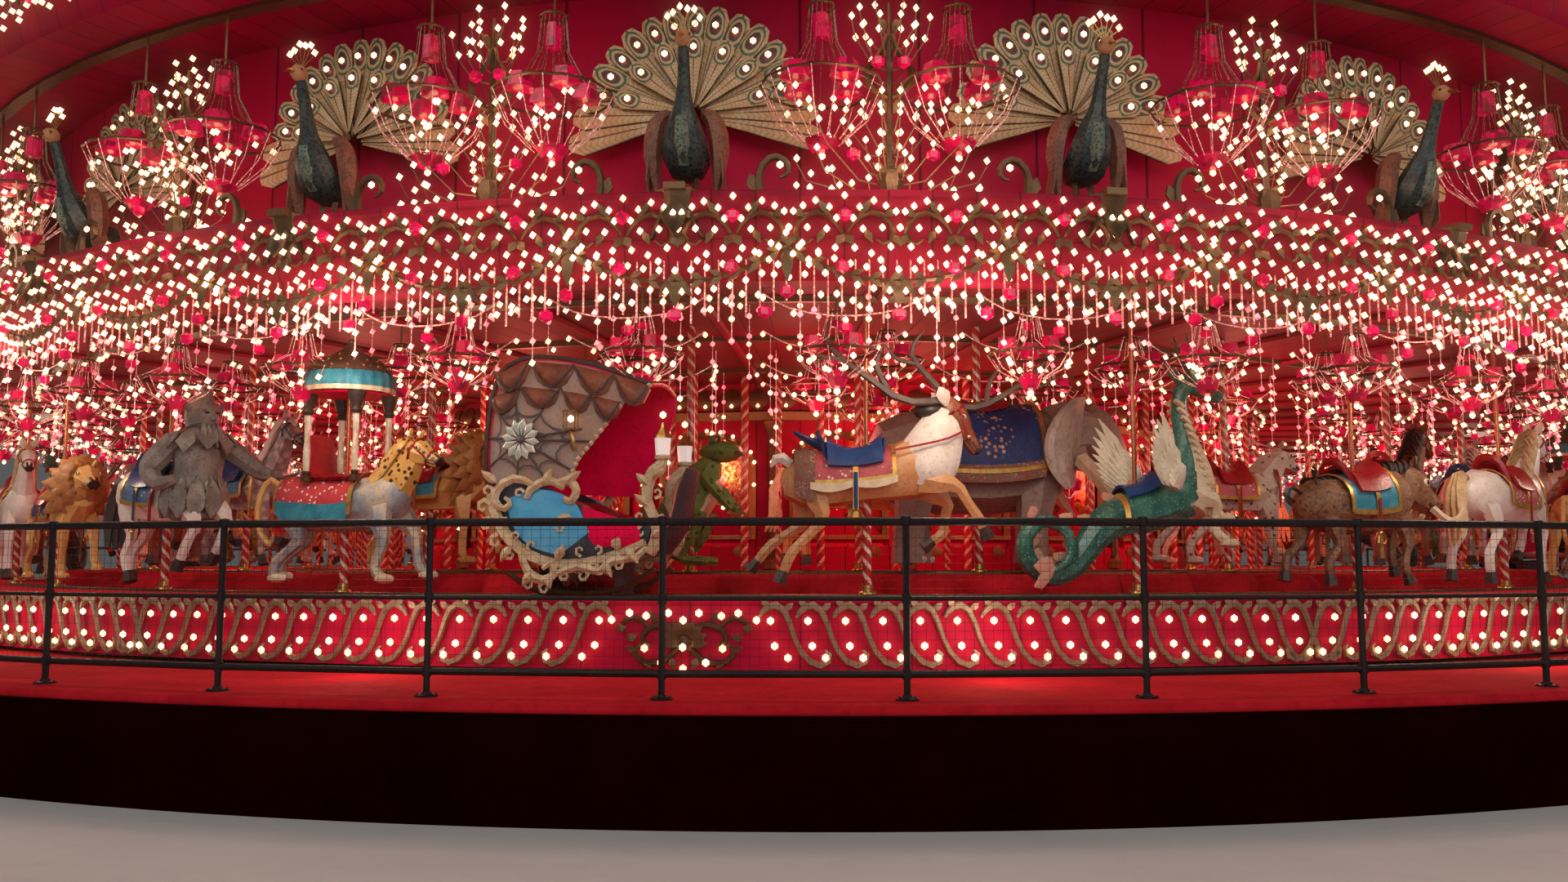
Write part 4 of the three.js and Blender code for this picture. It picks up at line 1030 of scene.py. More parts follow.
def cornices():
    """Carving, swags and fringe round the rim, and carving alone round the upper cornice."""
    whole = Carving().take(rim_ornament(), ring(CORNICE_RADIUS - 0.05, around(96, 1.5), bent=True))
    piece("rim_carving", whole, "carousel", "aged_gilt")
    swags = Carving().take(swag(), ring(CORNICE_RADIUS - 0.06, around(48, 3.3), bent=True))
    swags.take(fringe(), ring(CORNICE_RADIUS - 0.06, around(48, 3.3), bent=True))
    piece("rim_swags", swags, "carousel", "aged_gilt")
    upper = Carving().take(rim_ornament(True), ring(UPPER_RADIUS - 0.05, around(96, 1.5), SOFFIT - 3.56,
        bent=True))
    piece("upper_cornice_carving", upper, "carousel", "aged_gilt")


plinth()
railing()
platform()
frieze()
canopy()
roof()
cornices()


# Peacocks on the shelf, their fans against the drum

FAN_ROOT = (0.0, 0.3, 0.86)
FAN_PITCH = 12.6


def fan(count, spacing, pitch, length, trail, rows, forward):
    """Fan of feathers about upright: radius v * length, rounded as sqrt(1 - w**2) across each feather.

    w is the place across a feather, -1 to 1. Past 76 degrees from upright the feathers trail and grow.
    Gives the surfaces, and their points' u (in feathers, 8.5 in the middle of the top one) and v.
    """
    surfaces, uvs = [], []
    w, v = np.linspace(-1, 1, 5), np.asarray(rows)[:, None]
    for k in range(count):
        turn = (k - (count - 1) / 2) * spacing + w * pitch / 2
        reach = length + (trail - length) * np.clip((np.abs(turn) - 76) / 26, 0, 1)
        radius = reach * v * (0.88 + 0.12 * np.sqrt(1 - w ** 2))
        crown = -forward - 0.018 * (k % 2) - 0.022 * (1 - w ** 2) * v - 0.05 * (1 - v)
        angle = np.radians(turn) + 0 * v
        grid = np.stack([radius * np.sin(angle), crown + 0 * radius, radius * np.cos(angle)], -1) + FAN_ROOT
        surfaces.append(board(grid, np.array([0, 0.012, 0])))
        uv = np.stack(np.broadcast_arrays(k - (count - 1) // 2 + 8.5 + w / 2.002, v), -1).reshape(-1, 2)
        uvs += [uv, uv]
    return surfaces, uvs


def fans(azimuths):
    """Every bird's fan: a long outer layer and a short one before it, with a lamp in each eye."""
    outer = fan(17, FAN_PITCH, 14.6, 0.93, 1.06, (0.08, 0.45, 0.78, 0.93, 1.0), 0.0)
    inner = fan(7, 2 * FAN_PITCH, 17.0, 0.66, 0.66, (0.12, 0.55, 0.86, 1.0), 0.07)
    points, faces = merged(outer[0] + inner[0])
    place = ring(PEACOCK_RING, azimuths, SHELF_TOP)
    made = piece("peacock_fans", plain("fan_feathers", spread(place(points), faces)), "carousel",
        "peacock_paint", *numbered("peacocks", 4), sharp=50)
    vertex = np.empty(len(made.data.loops), np.int32)
    made.data.loops.foreach_get("vertex_index", vertex)
    uv = np.tile(np.concatenate(outer[1] + inner[1]), (len(azimuths), 1))
    made.data.uv_layers.new(name="feathers").data.foreach_set("uv", uv[vertex].astype(np.float32).ravel())
    lamps = Carving()
    for count, spacing, reach, forward in ((13, FAN_PITCH, 0.77, 0.05), (7, 2 * FAN_PITCH, 0.55, 0.12)):
        turns = np.radians((np.arange(count) - (count - 1) / 2) * spacing)
        spots = np.stack([reach * np.sin(turns), 0 * turns - forward, reach * np.cos(turns)], -1)
        lamps.lamp("bulb", spots + FAN_ROOT)
    return Carving().take(lamps, place)


def peacock():
    """Bird with drooped wings, a crest of lamps and a leafy console under its feet."""
    made = Carving()
    body = [[0, 0.16, 0.38, 0.1, 0.09], [0, 0.0, 0.36, 0.17, 0.14], [0, -0.16, 0.42, 0.18, 0.155],
        [0.0, -0.26, 0.58, 0.145, 0.12], [0.01, -0.32, 0.76, 0.068, 0.072],
        [0.02, -0.38, 0.96, 0.048, 0.05], [0.025, -0.44, 1.14, 0.044, 0.046]]
    made.add("peacock_scales", limb(body, 12, 8, (1, 0, 0)))
    made.add("peacock_breast", limb([[0, -0.2, 0.33, 0.06, 0.06], [0, -0.315, 0.46, 0.07, 0.05],
        [0, -0.365, 0.64, 0.045, 0.03]], 5, 6, (1, 0, 0)))
    made.add("tan_paint", ball([0.025, -0.47, 1.2], [0.062, 0.082, 0.07], 8, 4))
    made.add("brass", limb([[0.025, -0.54, 1.195, 0.022], [0.025, -0.6, 1.18, 0.014],
        [0.025, -0.64, 1.155, 0.004]], 3, 4, (1, 0, 0)))
    for side in (-1, 1):
        made.add("black_paint", ball([0.025 + side * 0.055, -0.5, 1.215], [0.01, 0.014, 0.014], 4, 1))
        made.add("wing_brown", limb([[side * 0.13, -0.14, 0.74, 0.04, 0.05],
            [side * 0.22, -0.14, 0.66, 0.075, 0.09], [side * 0.26, -0.12, 0.42, 0.075, 0.09],
            [side * 0.23, -0.1, 0.12, 0.02, 0.03]], 7, 6, (1, 0, 0)))
        for k in range(2):
            low = 0.18 + 0.08 * k
            made.add("wing_brown", leaf((side * 0.25, -0.12 - 0.05 * k, low + 0.24),
                (side * 0.28, -0.06 - 0.05 * k, low - 0.16), 0.13, (side * 0.02, 0, 0),
                (side * 0.014, 0, 0), 4, 2))
        made.add("dark_bronze", limb([[side * 0.06, -0.03, 0.28, 0.035], [side * 0.06, -0.06, 0.14, 0.024],
            [side * 0.06, -0.12, 0.03, 0.022]], 3, 4, (1, 0, 0)))
    for k, turn in enumerate(np.radians([-55, -33, -11, 11, 33, 55])):
        top = np.array([0.025 + 0.15 * math.sin(turn), -0.44, 1.26 + 0.18 * math.cos(turn) - 0.02 * (k % 2)])
        made.add("brass", limb([[0.025, -0.44, 1.25, 0.005], [*top, 0.004]], 2, 3, (0, 1, 0)))
        made.lamp("small", [top + [0, 0, 0.02]])
    console = [[0.0, -0.44], [0.04, -0.42], [0.08, -0.34], [0.07, -0.26], [0.12, -0.16], [0.17, -0.05],
        [0.18, 0.02], [0, 0.05]]
    made.add("dark_bronze", moved(turned(console, 7), (0, -0.44, 0.0)))
    for turn in (-70, 0, 70):
        x, y = math.sin(math.radians(turn)), math.cos(math.radians(turn))
        made.add("dark_bronze", leaf((0.1 * x, -0.44 - 0.1 * y, -0.04), (0.2 * x, -0.44 - 0.2 * y, -0.34),
            0.16, (0, 0, -0.02), (0.02 * x, -0.02 * y, 0.004), 4, 3, (y, x, 0), 0.4))
    made.add("dark_bronze", box([0, -0.2, 0.02], (0.16, 0.9, 0.05)))
    return made


ARMS = [(0.46, 0.21), (0.16, 0.22), (0.3, 0.14), (0.46, 0.07), (0.63, 0.05), (0.71, 0.17), (0.72, 0.31),
    (0.57, 0.38), (0.1, 0.37), (0.18, 0.52), (0.06, 0.54), (0.37, 0.6), (0.56, 0.58), (0.33, 0.76),
    (0.21, 0.77), (0.07, 0.7), (0.07, 0.86), (0.14, 1.29), (0.2, 1.4), (0.3, 1.43), (0.08, 1.46),
    (0.22, 1.58), (0.11, 1.66)]


def candelabrum():
    """Stem with mirrored arms that rise from it to the points in ARMS, each with two lamps."""
    made = Carving()
    made.add("dark_bronze", limb([[0, 0, 0.0, 0.09], [0, 0, 0.1, 0.1], [0, 0, 0.25, 0.045],
        [0, 0, 0.5, 0.03], [0, 0, 0.8, 0.022], [0, 0, 1.1, 0.03], [0, 0, 1.3, 0.02], [0, 0, 1.6, 0.012]],
        10, 5, (1, 0, 0)))
    made.add("dark_bronze", ball([0, -0.06, 0.17], [0.1, 0.07, 0.12], 6, 3))
    for k, (x, z) in enumerate(ARMS):
        depth = (-0.26, 0.1, -0.12, -0.2)[k % 4] * min(1.0, 0.3 + x)
        root = max(0.06, z - 0.3 - 0.25 * x)
        for side in (-1, 1):
            path = [[0, 0, root, 0.007], [side * x * 0.45, depth * 0.5, root + 0.02, 0.007],
                [side * x * 0.9, depth * 0.9, z - 0.16, 0.005], [side * x, depth, z - 0.03, 0.005]]
            made.add("dark_bronze", limb(path, 4, 3, (0, 1, 0)))
            made.lamp("small", [[side * x, depth, z + 0.01], [side * (x * 0.82 + 0.02), depth * 0.6,
                z - 0.09 - 0.05 * (k % 2)]])
    for side in (-1, 1):
        made.add("dark_bronze", limb([[side * 0.02, -0.02, 0.84, 0.02], [side * 0.14, -0.03, 0.92, 0.03],
            [side * 0.17, -0.03, 1.06, 0.03], [side * 0.06, -0.02, 1.2, 0.02],
            [side * 0.02, -0.02, 1.34, 0.02]], 7, 4))
        made.lamp("globe", [[side * 0.3, -0.2, 0.33], [side * 0.1, -0.1, 1.09]])
        for z, reach in ((0.28, 0.14), (0.78, 0.09), (1.42, 0.08)):
            made.add("dark_bronze", leaf((side * 0.03, 0, z - 0.06), (side * reach, -0.03, z + 0.04), 0.06,
                (0, -0.02, 0.02), (0, 0.014, 0), 4, 2, broad=0.4))
    return made


def crook():
    """Scrolled finial on the shelf, with a lamp in its hook."""
    made = Carving()
    made.add("dark_bronze", limb([[0.1, 0, -0.06, 0.03], [0.13, 0, 0.06, 0.035], [0.12, 0, 0.2, 0.03],
        [0.03, 0, 0.29, 0.03], [-0.07, 0, 0.25, 0.026], [-0.08, 0, 0.16, 0.02], [-0.02, 0, 0.13, 0.012]],
        12, 5))
    made.add("dark_bronze", leaf((0.1, 0, -0.02), (0.2, 0, 0.16), 0.09, (0.02, -0.01, 0), (0, 0.02, 0), 4, 2))
    made.lamp("bulb", [[-0.025, -0.05, 0.21]])
    return made


# Chandeliers: a tent of bead strings, lit drum shades, a basket of strings and a red bowl

def bead_strings(count, profile, rows, thick, phase=0.0):
    """Strings hung on a profile of (radius, height), spaced evenly round the chandelier."""
    base = limb([[r, 0, z, thick] for r, z in profile], rows, 3, (0, 1, 0))
    turn = circle_angles(count, phase)
    x, y, z = base[0].T
    cos, sin = np.cos(turn)[:, None], np.sin(turn)[:, None]
    return spread(np.stack([x * cos - y * sin, x * sin + y * cos, z + 0 * cos], -1), base[1])


def hoop(radius, height, thick, sides):
    """Ring of square section set on its corner."""
    return turned([[radius - thick, height], [radius, height - thick], [radius + thick, height],
        [radius, height + thick]], sides)


def chandelier(radius, top, drop, strings=14, shades=4, chain="bead_chain"):
    """Chandelier hung from top, drop metres long: neck, flared tent, then a basket down to its bowl."""
    made = Carving()
    waist, bowl = top - drop * 0.62, top - drop * 0.88
    crown = top - drop * 0.26
    made.add("dark_bronze", limb([[0, 0, top, 0.012], [0, 0, crown, 0.012]], 2, 4, (1, 0, 0)))
    sides = 12 if radius > 0.4 else 9
    made.add("dark_bronze", hoop(radius, waist, 0.012, sides), hoop(radius * 0.24, crown, 0.01, 7))
    neck = waist + (crown - waist) * 0.55
    tent = [[radius * 0.2, crown + 0.02], [radius * 0.26, neck],
        [radius * 0.52, waist + (neck - waist) * 0.35], [radius, waist]]
    basket = [[radius, waist], [radius * 0.9, waist - drop * 0.09], [radius * 0.62, waist - drop * 0.18],
        [radius * 0.33, bowl + 0.02]]
    rows = 4 if strings > 12 else 3
    made.add(chain, bead_strings(strings, tent, rows, 0.0034))
    made.add("crystal", bead_strings(strings, basket, 3, 0.0045, 0.5))
    made.add("red_shade", turned([[0, neck + 0.02], [radius * 0.16, neck + 0.03],
        [radius * 0.13, crown - 0.06], [0, crown - 0.05]], 6))
    for k in range(shades):
        a = math.radians(360 / shades * k + 40)
        x, y = radius * 0.56 * math.sin(a), -radius * 0.56 * math.cos(a)
        shade = turned([[0, waist - 0.02], [radius * 0.26, waist], [radius * 0.2, waist + 0.12],
            [0, waist + 0.13]], 6)
        made.add("red_shade", moved(shade, (x, y, 0)))
        made.lamp("small", [[x, y, waist - 0.05], [x * 0.5, y * 0.5, waist - 0.13],
            [1.55 * y, -1.55 * x, waist - 0.1]])
    made.add("red_shade", turned([[0, bowl - 0.07], [radius * 0.18, bowl - 0.05],
        [radius * 0.3, bowl + 0.04], [0, bowl + 0.1]], 7))
    made.lamp("bulb", [[0, 0, bowl - 0.085], [0, 0, waist - 0.16]])
    return made


def shelf_pieces():
    """Peacocks and their rail, the candelabra between them, and the crooks on each side of a bird."""
    azimuths = around(24, FIRST_PEACOCK)
    birds = fans(azimuths).take(peacock(), ring(PEACOCK_RING, azimuths, SHELF_TOP))
    rail = turned([[11.72, SHELF_TOP + GAP], [11.88, SHELF_TOP + GAP], [11.88, SHELF_TOP + 0.02],
        [11.86, SHELF_TOP + 0.03], [11.74, SHELF_TOP + 0.03], [11.72, SHELF_TOP + 0.02]], 144)
    birds.add("dark_bronze", rail)
    piece("peacocks_carved", birds, "carousel", "peacock_paint", *numbered("peacocks", 4))
    trees = Carving().take(candelabrum(), ring(PEACOCK_RING + 0.15, azimuths + 7.5, SHELF_TOP))
    piece("candelabra", trees, "carousel", "aged_gilt")
    hooks = Carving().take(crook(), ring(CORNICE_RADIUS - 0.12, azimuths - 3.4, SHELF_TOP))
    hooks.take(crook().mirrored(), ring(CORNICE_RADIUS - 0.12, azimuths + 3.4, SHELF_TOP))
    piece("crook_finials", hooks, "carousel", "aged_gilt")


def chandelier_pieces():
    """Chandeliers under the upper cornice and the ceiling."""
    azimuths = around(24, FIRST_PEACOCK)
    upper = Carving()
    both = np.concatenate([azimuths - 5, azimuths + 5])
    upper.take(chandelier(0.47, 0.0, SOFFIT - 4.44, 16, 4), ring(CHANDELIER_RING, both, SOFFIT - GAP))
    bar = turned([[11.94, SOFFIT - 0.04], [12.06, SOFFIT - 0.04], [12.06, SOFFIT - GAP],
        [11.94, SOFFIT - GAP]], 96)
    upper.add("dark_bronze", bar)
    piece("upper_chandeliers_beaded", upper, "carousel", "crystal", *numbered("upper_chandeliers", 4))
    under = Carving()
    small = chandelier(0.33, 0.0, 0.85, 12, 3, "crystal")
    under.take(small, ring(11.65, around(48, 1.4), CEILING - 0.001))
    wide = chandelier(0.33, 0.0, 0.7, 8, 2, "crystal")
    under.take(wide, ring(10.65, around(30, 4.0), CEILING - 0.001))
    piece("ceiling_chandeliers", under, "carousel", "crystal")
    inner = Carving().take(wide, ring(9.0, around(24, 1.0), CEILING - 0.001))
    inner.take(wide, ring(7.2, around(16, 6.0), CEILING - 0.001))
    piece("inner_chandeliers", inner, "carousel", "crystal")


shelf_pieces()
chandelier_pieces()


# Figures: x forward, y inward, z up from the row's floor, with the pole at the origin

def trunk(made, finish, stations, rows=14, sides=12):
    """Limb in the middle plane from stations of x, z, half width, half height (or one radius)."""
    made.add(finish, limb([[x, 0, z, *sizes] for x, z, *sizes in stations], rows, sides))


def leg(made, coat, foot, y, joints, thick, paw=False):
    """Leg through hip, knee, ankle and toe, each x, z; it slims to the ankle and ends in a hoof or paw."""
    (hx, hz), (kx, kz), (ax, az), (tx, tz) = joints
    path = [[hx, y * 0.75, hz, thick * 0.9, thick * 1.5],
        [(hx + kx) / 2, y, (hz + kz) / 2, thick * 0.85, thick * 1.15],
        [kx, y, kz, thick * 0.6, thick * 0.66],
        [(kx + ax) / 2, y, (kz + az) / 2, thick * 0.44, thick * 0.48],
        [ax, y, az, thick * 0.5, thick * 0.54], [tx, y, tz, thick * 0.46, thick * 0.48]]
    made.add(coat, limb(path, 13, 8))
    end = np.array([tx, y, tz])
    if paw:
        made.add(foot, ball(end + [thick * 0.45, 0, -thick * 0.2],
            [thick * 1.1, thick * 0.75, thick * 0.5], 8, 4))
        return
    toe = unit(np.array([tx - ax, 0, tz - az]))
    steps = [(0.0, 0.5), (0.5, 0.6), (1.15, 0.72)]
    made.add(foot, limb([[*(end + toe * thick * s), thick * r] for s, r in steps], 3, 8, tip=0.05))


def head(made, coat, crown, muzzle, thick, ears=0.12, nose=None, broad=1.0):
    """Head from crown to muzzle, with cheeks, eyes, nostrils, a mouth line and ears."""
    start, end = np.array([crown[0], 0, crown[1]]), np.array([muzzle[0], 0, muzzle[1]])
    along = end - start
    up = unit(np.array([-along[2], 0, along[0]]))
    up = up * np.sign(up[2] + 1e-6)

    def at(t, lift=0.0, side=0.0):
        return start + along * t + up * lift * thick + np.array([0, side * thick, 0])
    shape = ((-0.15, 0.65, 0.75), (0.1, 1.0, 1.12), (0.35, 0.92, 1.05), (0.62, 0.66, 0.7),
        (0.86, 0.62, 0.6), (1.0, 0.46, 0.44))
    made.add(coat, limb([[*at(t), thick * w * broad, thick * h] for t, w, h in shape], 13, 10))
    if nose:
        made.add(nose, limb([[*at(0.8, 0.02), thick * 0.66 * broad, thick * 0.64],
            [*at(1.0, 0.02), thick * 0.52 * broad, thick * 0.5]], 4, 8))
    for side in (-1, 1):
        eye = at(0.3, 0.45, side * 0.84 * broad)
        made.add("ivory", ball(eye, np.array([0.24, 0.12, 0.22]) * thick, 8, 4))
        made.add("black_paint", ball(eye + [0, side * 0.07 * thick, 0],
            np.array([0.13, 0.08, 0.15]) * thick, 6, 3))
        made.add("black_paint", ball(at(0.97, 0.22, side * 0.34), np.array([0.1, 0.1, 0.1]) * thick, 6, 3))
        made.add("dark_line", limb([[*at(0.62, -0.3, side * 0.62 * broad), 0.07 * thick],
            [*at(0.95, -0.18, side * 0.46 * broad), 0.06 * thick]], 3, 4))
        if ears:
            made.add(coat, leaf(at(-0.05, 0.75, side * 0.5), at(-0.16, 0.85 + ears / thick, side * 0.78),
                0.42 * ears + 0.03, (0, 0, 0), (-0.014, 0, 0), 5, 3, (0, 1, 0.2), 0.4))
    return at


def hair(made, finish, crest, length, width, count, lean=-0.4):
    """Locks that fall on each side of a crest given by x, z, half width."""
    path = smooth([[x, z, w] for x, z, w in crest], count)
    for k, (x, z, w) in enumerate(path):
        for side in (-1, 1):
            reach = length * (0.85 + 0.3 * ((k * 7 + (side > 0) * 3) % 5) / 4)
            made.add(finish, leaf((x, side * w * 0.1, z + 0.01),
                (x + lean * reach, side * (w + 0.05), z - reach), width, (0, side * 0.035, 0.02),
                (0, -side * 0.016, 0), 5, 3, broad=0.45))


def locks(made, finish, paths, rows=10, sides=6):
    """A limb along each path."""
    for path in paths:
        made.add(finish, limb(path, rows, sides))


def wrap(body, start, end, span=(-104, 104), lift=0.012, rows=9, columns=15, rise=0.0, thick=0.01,
        scallops=0):
    """Cloth round the body from x = start to end, over an arc of degrees from the top; past 90 it hangs."""
    x, _, z, w, h = smooth([[x, 0, z, w, h] for x, z, w, h in body], 40).T
    t = np.linspace(0, 1, max(2, round(rows * fineness)))[:, None]
    columns = max(2, round(columns * fineness))
    at = start + (end - start) * t
    middle, wide, high = (np.interp(at, x, v) for v in (z, w, h))
    a = np.radians(np.linspace(*span, columns))[None]
    past = np.maximum(np.abs(a) - np.pi / 2, 0)
    if scallops:
        past = past * (1 + 0.35 * np.abs(np.sin(np.pi * scallops * t)))
    top = rise * (2 * t - 1) ** 2 * np.maximum(np.cos(a), 0) ** 2

    def skin_at(off):
        y = np.sin(np.clip(a, -np.pi / 2, np.pi / 2)) * (wide + off)
        level = middle + np.where(past > 0, -past * high * 1.15, np.cos(a) * (high + off)) + top
        return np.stack([at + 0 * a, y, level], -1)
    outer = skin_at(lift + thick)
    return board(outer, skin_at(lift) - outer)


def harness(made, body, start, end, cloth, leather, reach=104, tall=0.09):
    """Blanket with raised edges, and a saddle with a high cantle and pommel, a girth and a stirrup."""
    made.add(cloth, wrap(body, start, end, (-reach, reach)))
    for a, b in ((start - 0.012, start + 0.02), (end - 0.02, end + 0.012)):
        made.add("gold_trim", wrap(body, a, b, (-reach, reach), 0.018, 2))
    for low, high in ((-reach - 3, -reach + 6), (reach - 6, reach + 3)):
        made.add("gold_trim", wrap(body, start, end, (low, high), 0.018, 7, 2))
    size = end - start
    a, b = start + 0.18 * size, end - 0.14 * size
    made.add(leather, wrap(body, a, b, (-68, 68), 0.022, 9, 11, tall, 0.03))
    z, w, h = (np.interp((a, b), [s[0] for s in body], [s[k] for s in body]) for k in (1, 2, 3))
    for x0, z0, w0, h0, lean, high in ((a, z[0], w[0], h[0], -0.07, tall + 0.075),
            (b, z[1], w[1], h[1], 0.03, tall)):
        made.add(leather, limb([[x0, -w0 * 0.75, z0 + h0 * 0.66, 0.016, 0.028],
            [x0 + lean * 0.6, -w0 * 0.45, z0 + h0 + high * 0.7, 0.018, 0.032],
            [x0 + lean, 0, z0 + h0 + high, 0.02, 0.036],
            [x0 + lean * 0.6, w0 * 0.45, z0 + h0 + high * 0.7, 0.018, 0.032],
            [x0, w0 * 0.75, z0 + h0 * 0.66, 0.016, 0.028]], 13, 6, (1, 0, 0)))
    middle = (a + b) / 2
    made.add("gold_trim", wrap(body, middle - 0.022, middle + 0.022, (-178, 178), 0.03, 2, 24, thick=0.008))
    for side in (-1, 1):
        y = side * (w.max() + 0.045)
        made.add(leather, limb([[middle, y, z[0] + 0.05, 0.006, 0.016],
            [middle, y, z[0] - 0.24, 0.006, 0.014]], 2, 6))
        made.add("brass", limb([[middle - 0.045, y, z[0] - 0.33, 0.008],
            [middle - 0.035, y, z[0] - 0.26, 0.008], [middle, y, z[0] - 0.235, 0.008],
            [middle + 0.035, y, z[0] - 0.26, 0.008], [middle + 0.045, y, z[0] - 0.33, 0.008],
            [middle - 0.045, y, z[0] - 0.33, 0.008]], 11, 5))


def bridle(made, at, finish="red_leather"):
    """Straps round the nose and the brow with cheek pieces and a rosette."""
    for t, size in ((0.68, 0.74), (0.12, 1.16)):
        turn = np.linspace(0, 2 * np.pi, 9)
        loop = [[*at(t, size * math.cos(a), size * 0.93 * math.sin(a)), 0.01] for a in turn]
        made.add(finish, limb(loop, 17, 4, (1, 0, 0.3)))
    for side in (-1, 1):
        made.add(finish, limb([[*at(0.12, 0.5, side * 1.0), 0.009], [*at(0.68, 0.0, side * 0.72), 0.009]],
            3, 4))
        made.add("brass", ball(at(0.68, 0.0, side * 0.76), [0.018, 0.01, 0.018], 8, 3))


HORSE_BODY = [(-0.68, 0.95, 0.06, 0.09), (-0.6, 0.93, 0.16, 0.2), (-0.42, 0.9, 0.225, 0.245),
    (-0.1, 0.85, 0.235, 0.225), (0.2, 0.84, 0.225, 0.225), (0.42, 0.89, 0.205, 0.26),
    (0.56, 0.98, 0.14, 0.2), (0.62, 1.02, 0.07, 0.1)]
HORSE_LEGS = [(-0.12, [(0.45, 0.84), (0.55, 0.56), (0.49, 0.28), (0.52, 0.18)]),
    (0.12, [(0.45, 0.84), (0.72, 0.66), (0.63, 0.44), (0.57, 0.36)]),
    (-0.13, [(-0.47, 0.84), (-0.39, 0.54), (-0.57, 0.34), (-0.56, 0.18)]),
    (0.13, [(-0.5, 0.84), (-0.53, 0.54), (-0.73, 0.36), (-0.75, 0.2)])]


def horse(coat="white_coat", mane="cream_hair", cloth="rose_cloth", leather="red_leather"):
    """Prancing horse with a mane on both sides, harness and bridle."""
    made = Carving()
    trunk(made, coat, HORSE_BODY)
    trunk(made, coat, [(0.36, 0.94, 0.14, 0.24), (0.53, 1.13, 0.105, 0.18), (0.65, 1.31, 0.082, 0.13),
        (0.72, 1.45, 0.07, 0.1)], 10, 10)
    at = head(made, coat, (0.72, 1.47), (0.98, 1.29), 0.088, 0.12, "dark_nose")
    bridle(made, at, leather)
    hair(made, mane, [(0.66, 1.58, 0.05), (0.54, 1.42, 0.06), (0.42, 1.24, 0.09), (0.28, 1.12, 0.12)],
        0.24, 0.1, 10)
    made.add(mane, leaf((0.7, 0, 1.57), (0.84, 0, 1.5), 0.08, (0, 0, 0.03), (0, 0, -0.02), 5, 3, (0, 1, 0)))
    locks(made, mane, [[[-0.66, 0, 1.04, 0.035], [-0.8, s * 0.02, 1.06, 0.055],
        [-0.9, s * 0.05, 0.86, 0.06], [-0.88 + s * 0.04, s * 0.08, 0.6, 0.045],
        [-0.94 + s * 0.05, s * 0.06, 0.42, 0.012]] for s in (-1, 0, 1)])
    for y, joints in HORSE_LEGS:
        leg(made, coat, "hoof_black", y, joints, 0.092)
    harness(made, HORSE_BODY, -0.3, 0.26, cloth, leather)
    made.add("gold_trim", wrap(HORSE_BODY, 0.4, 0.43, (-150, 150), 0.014, 2, 22))
    return made


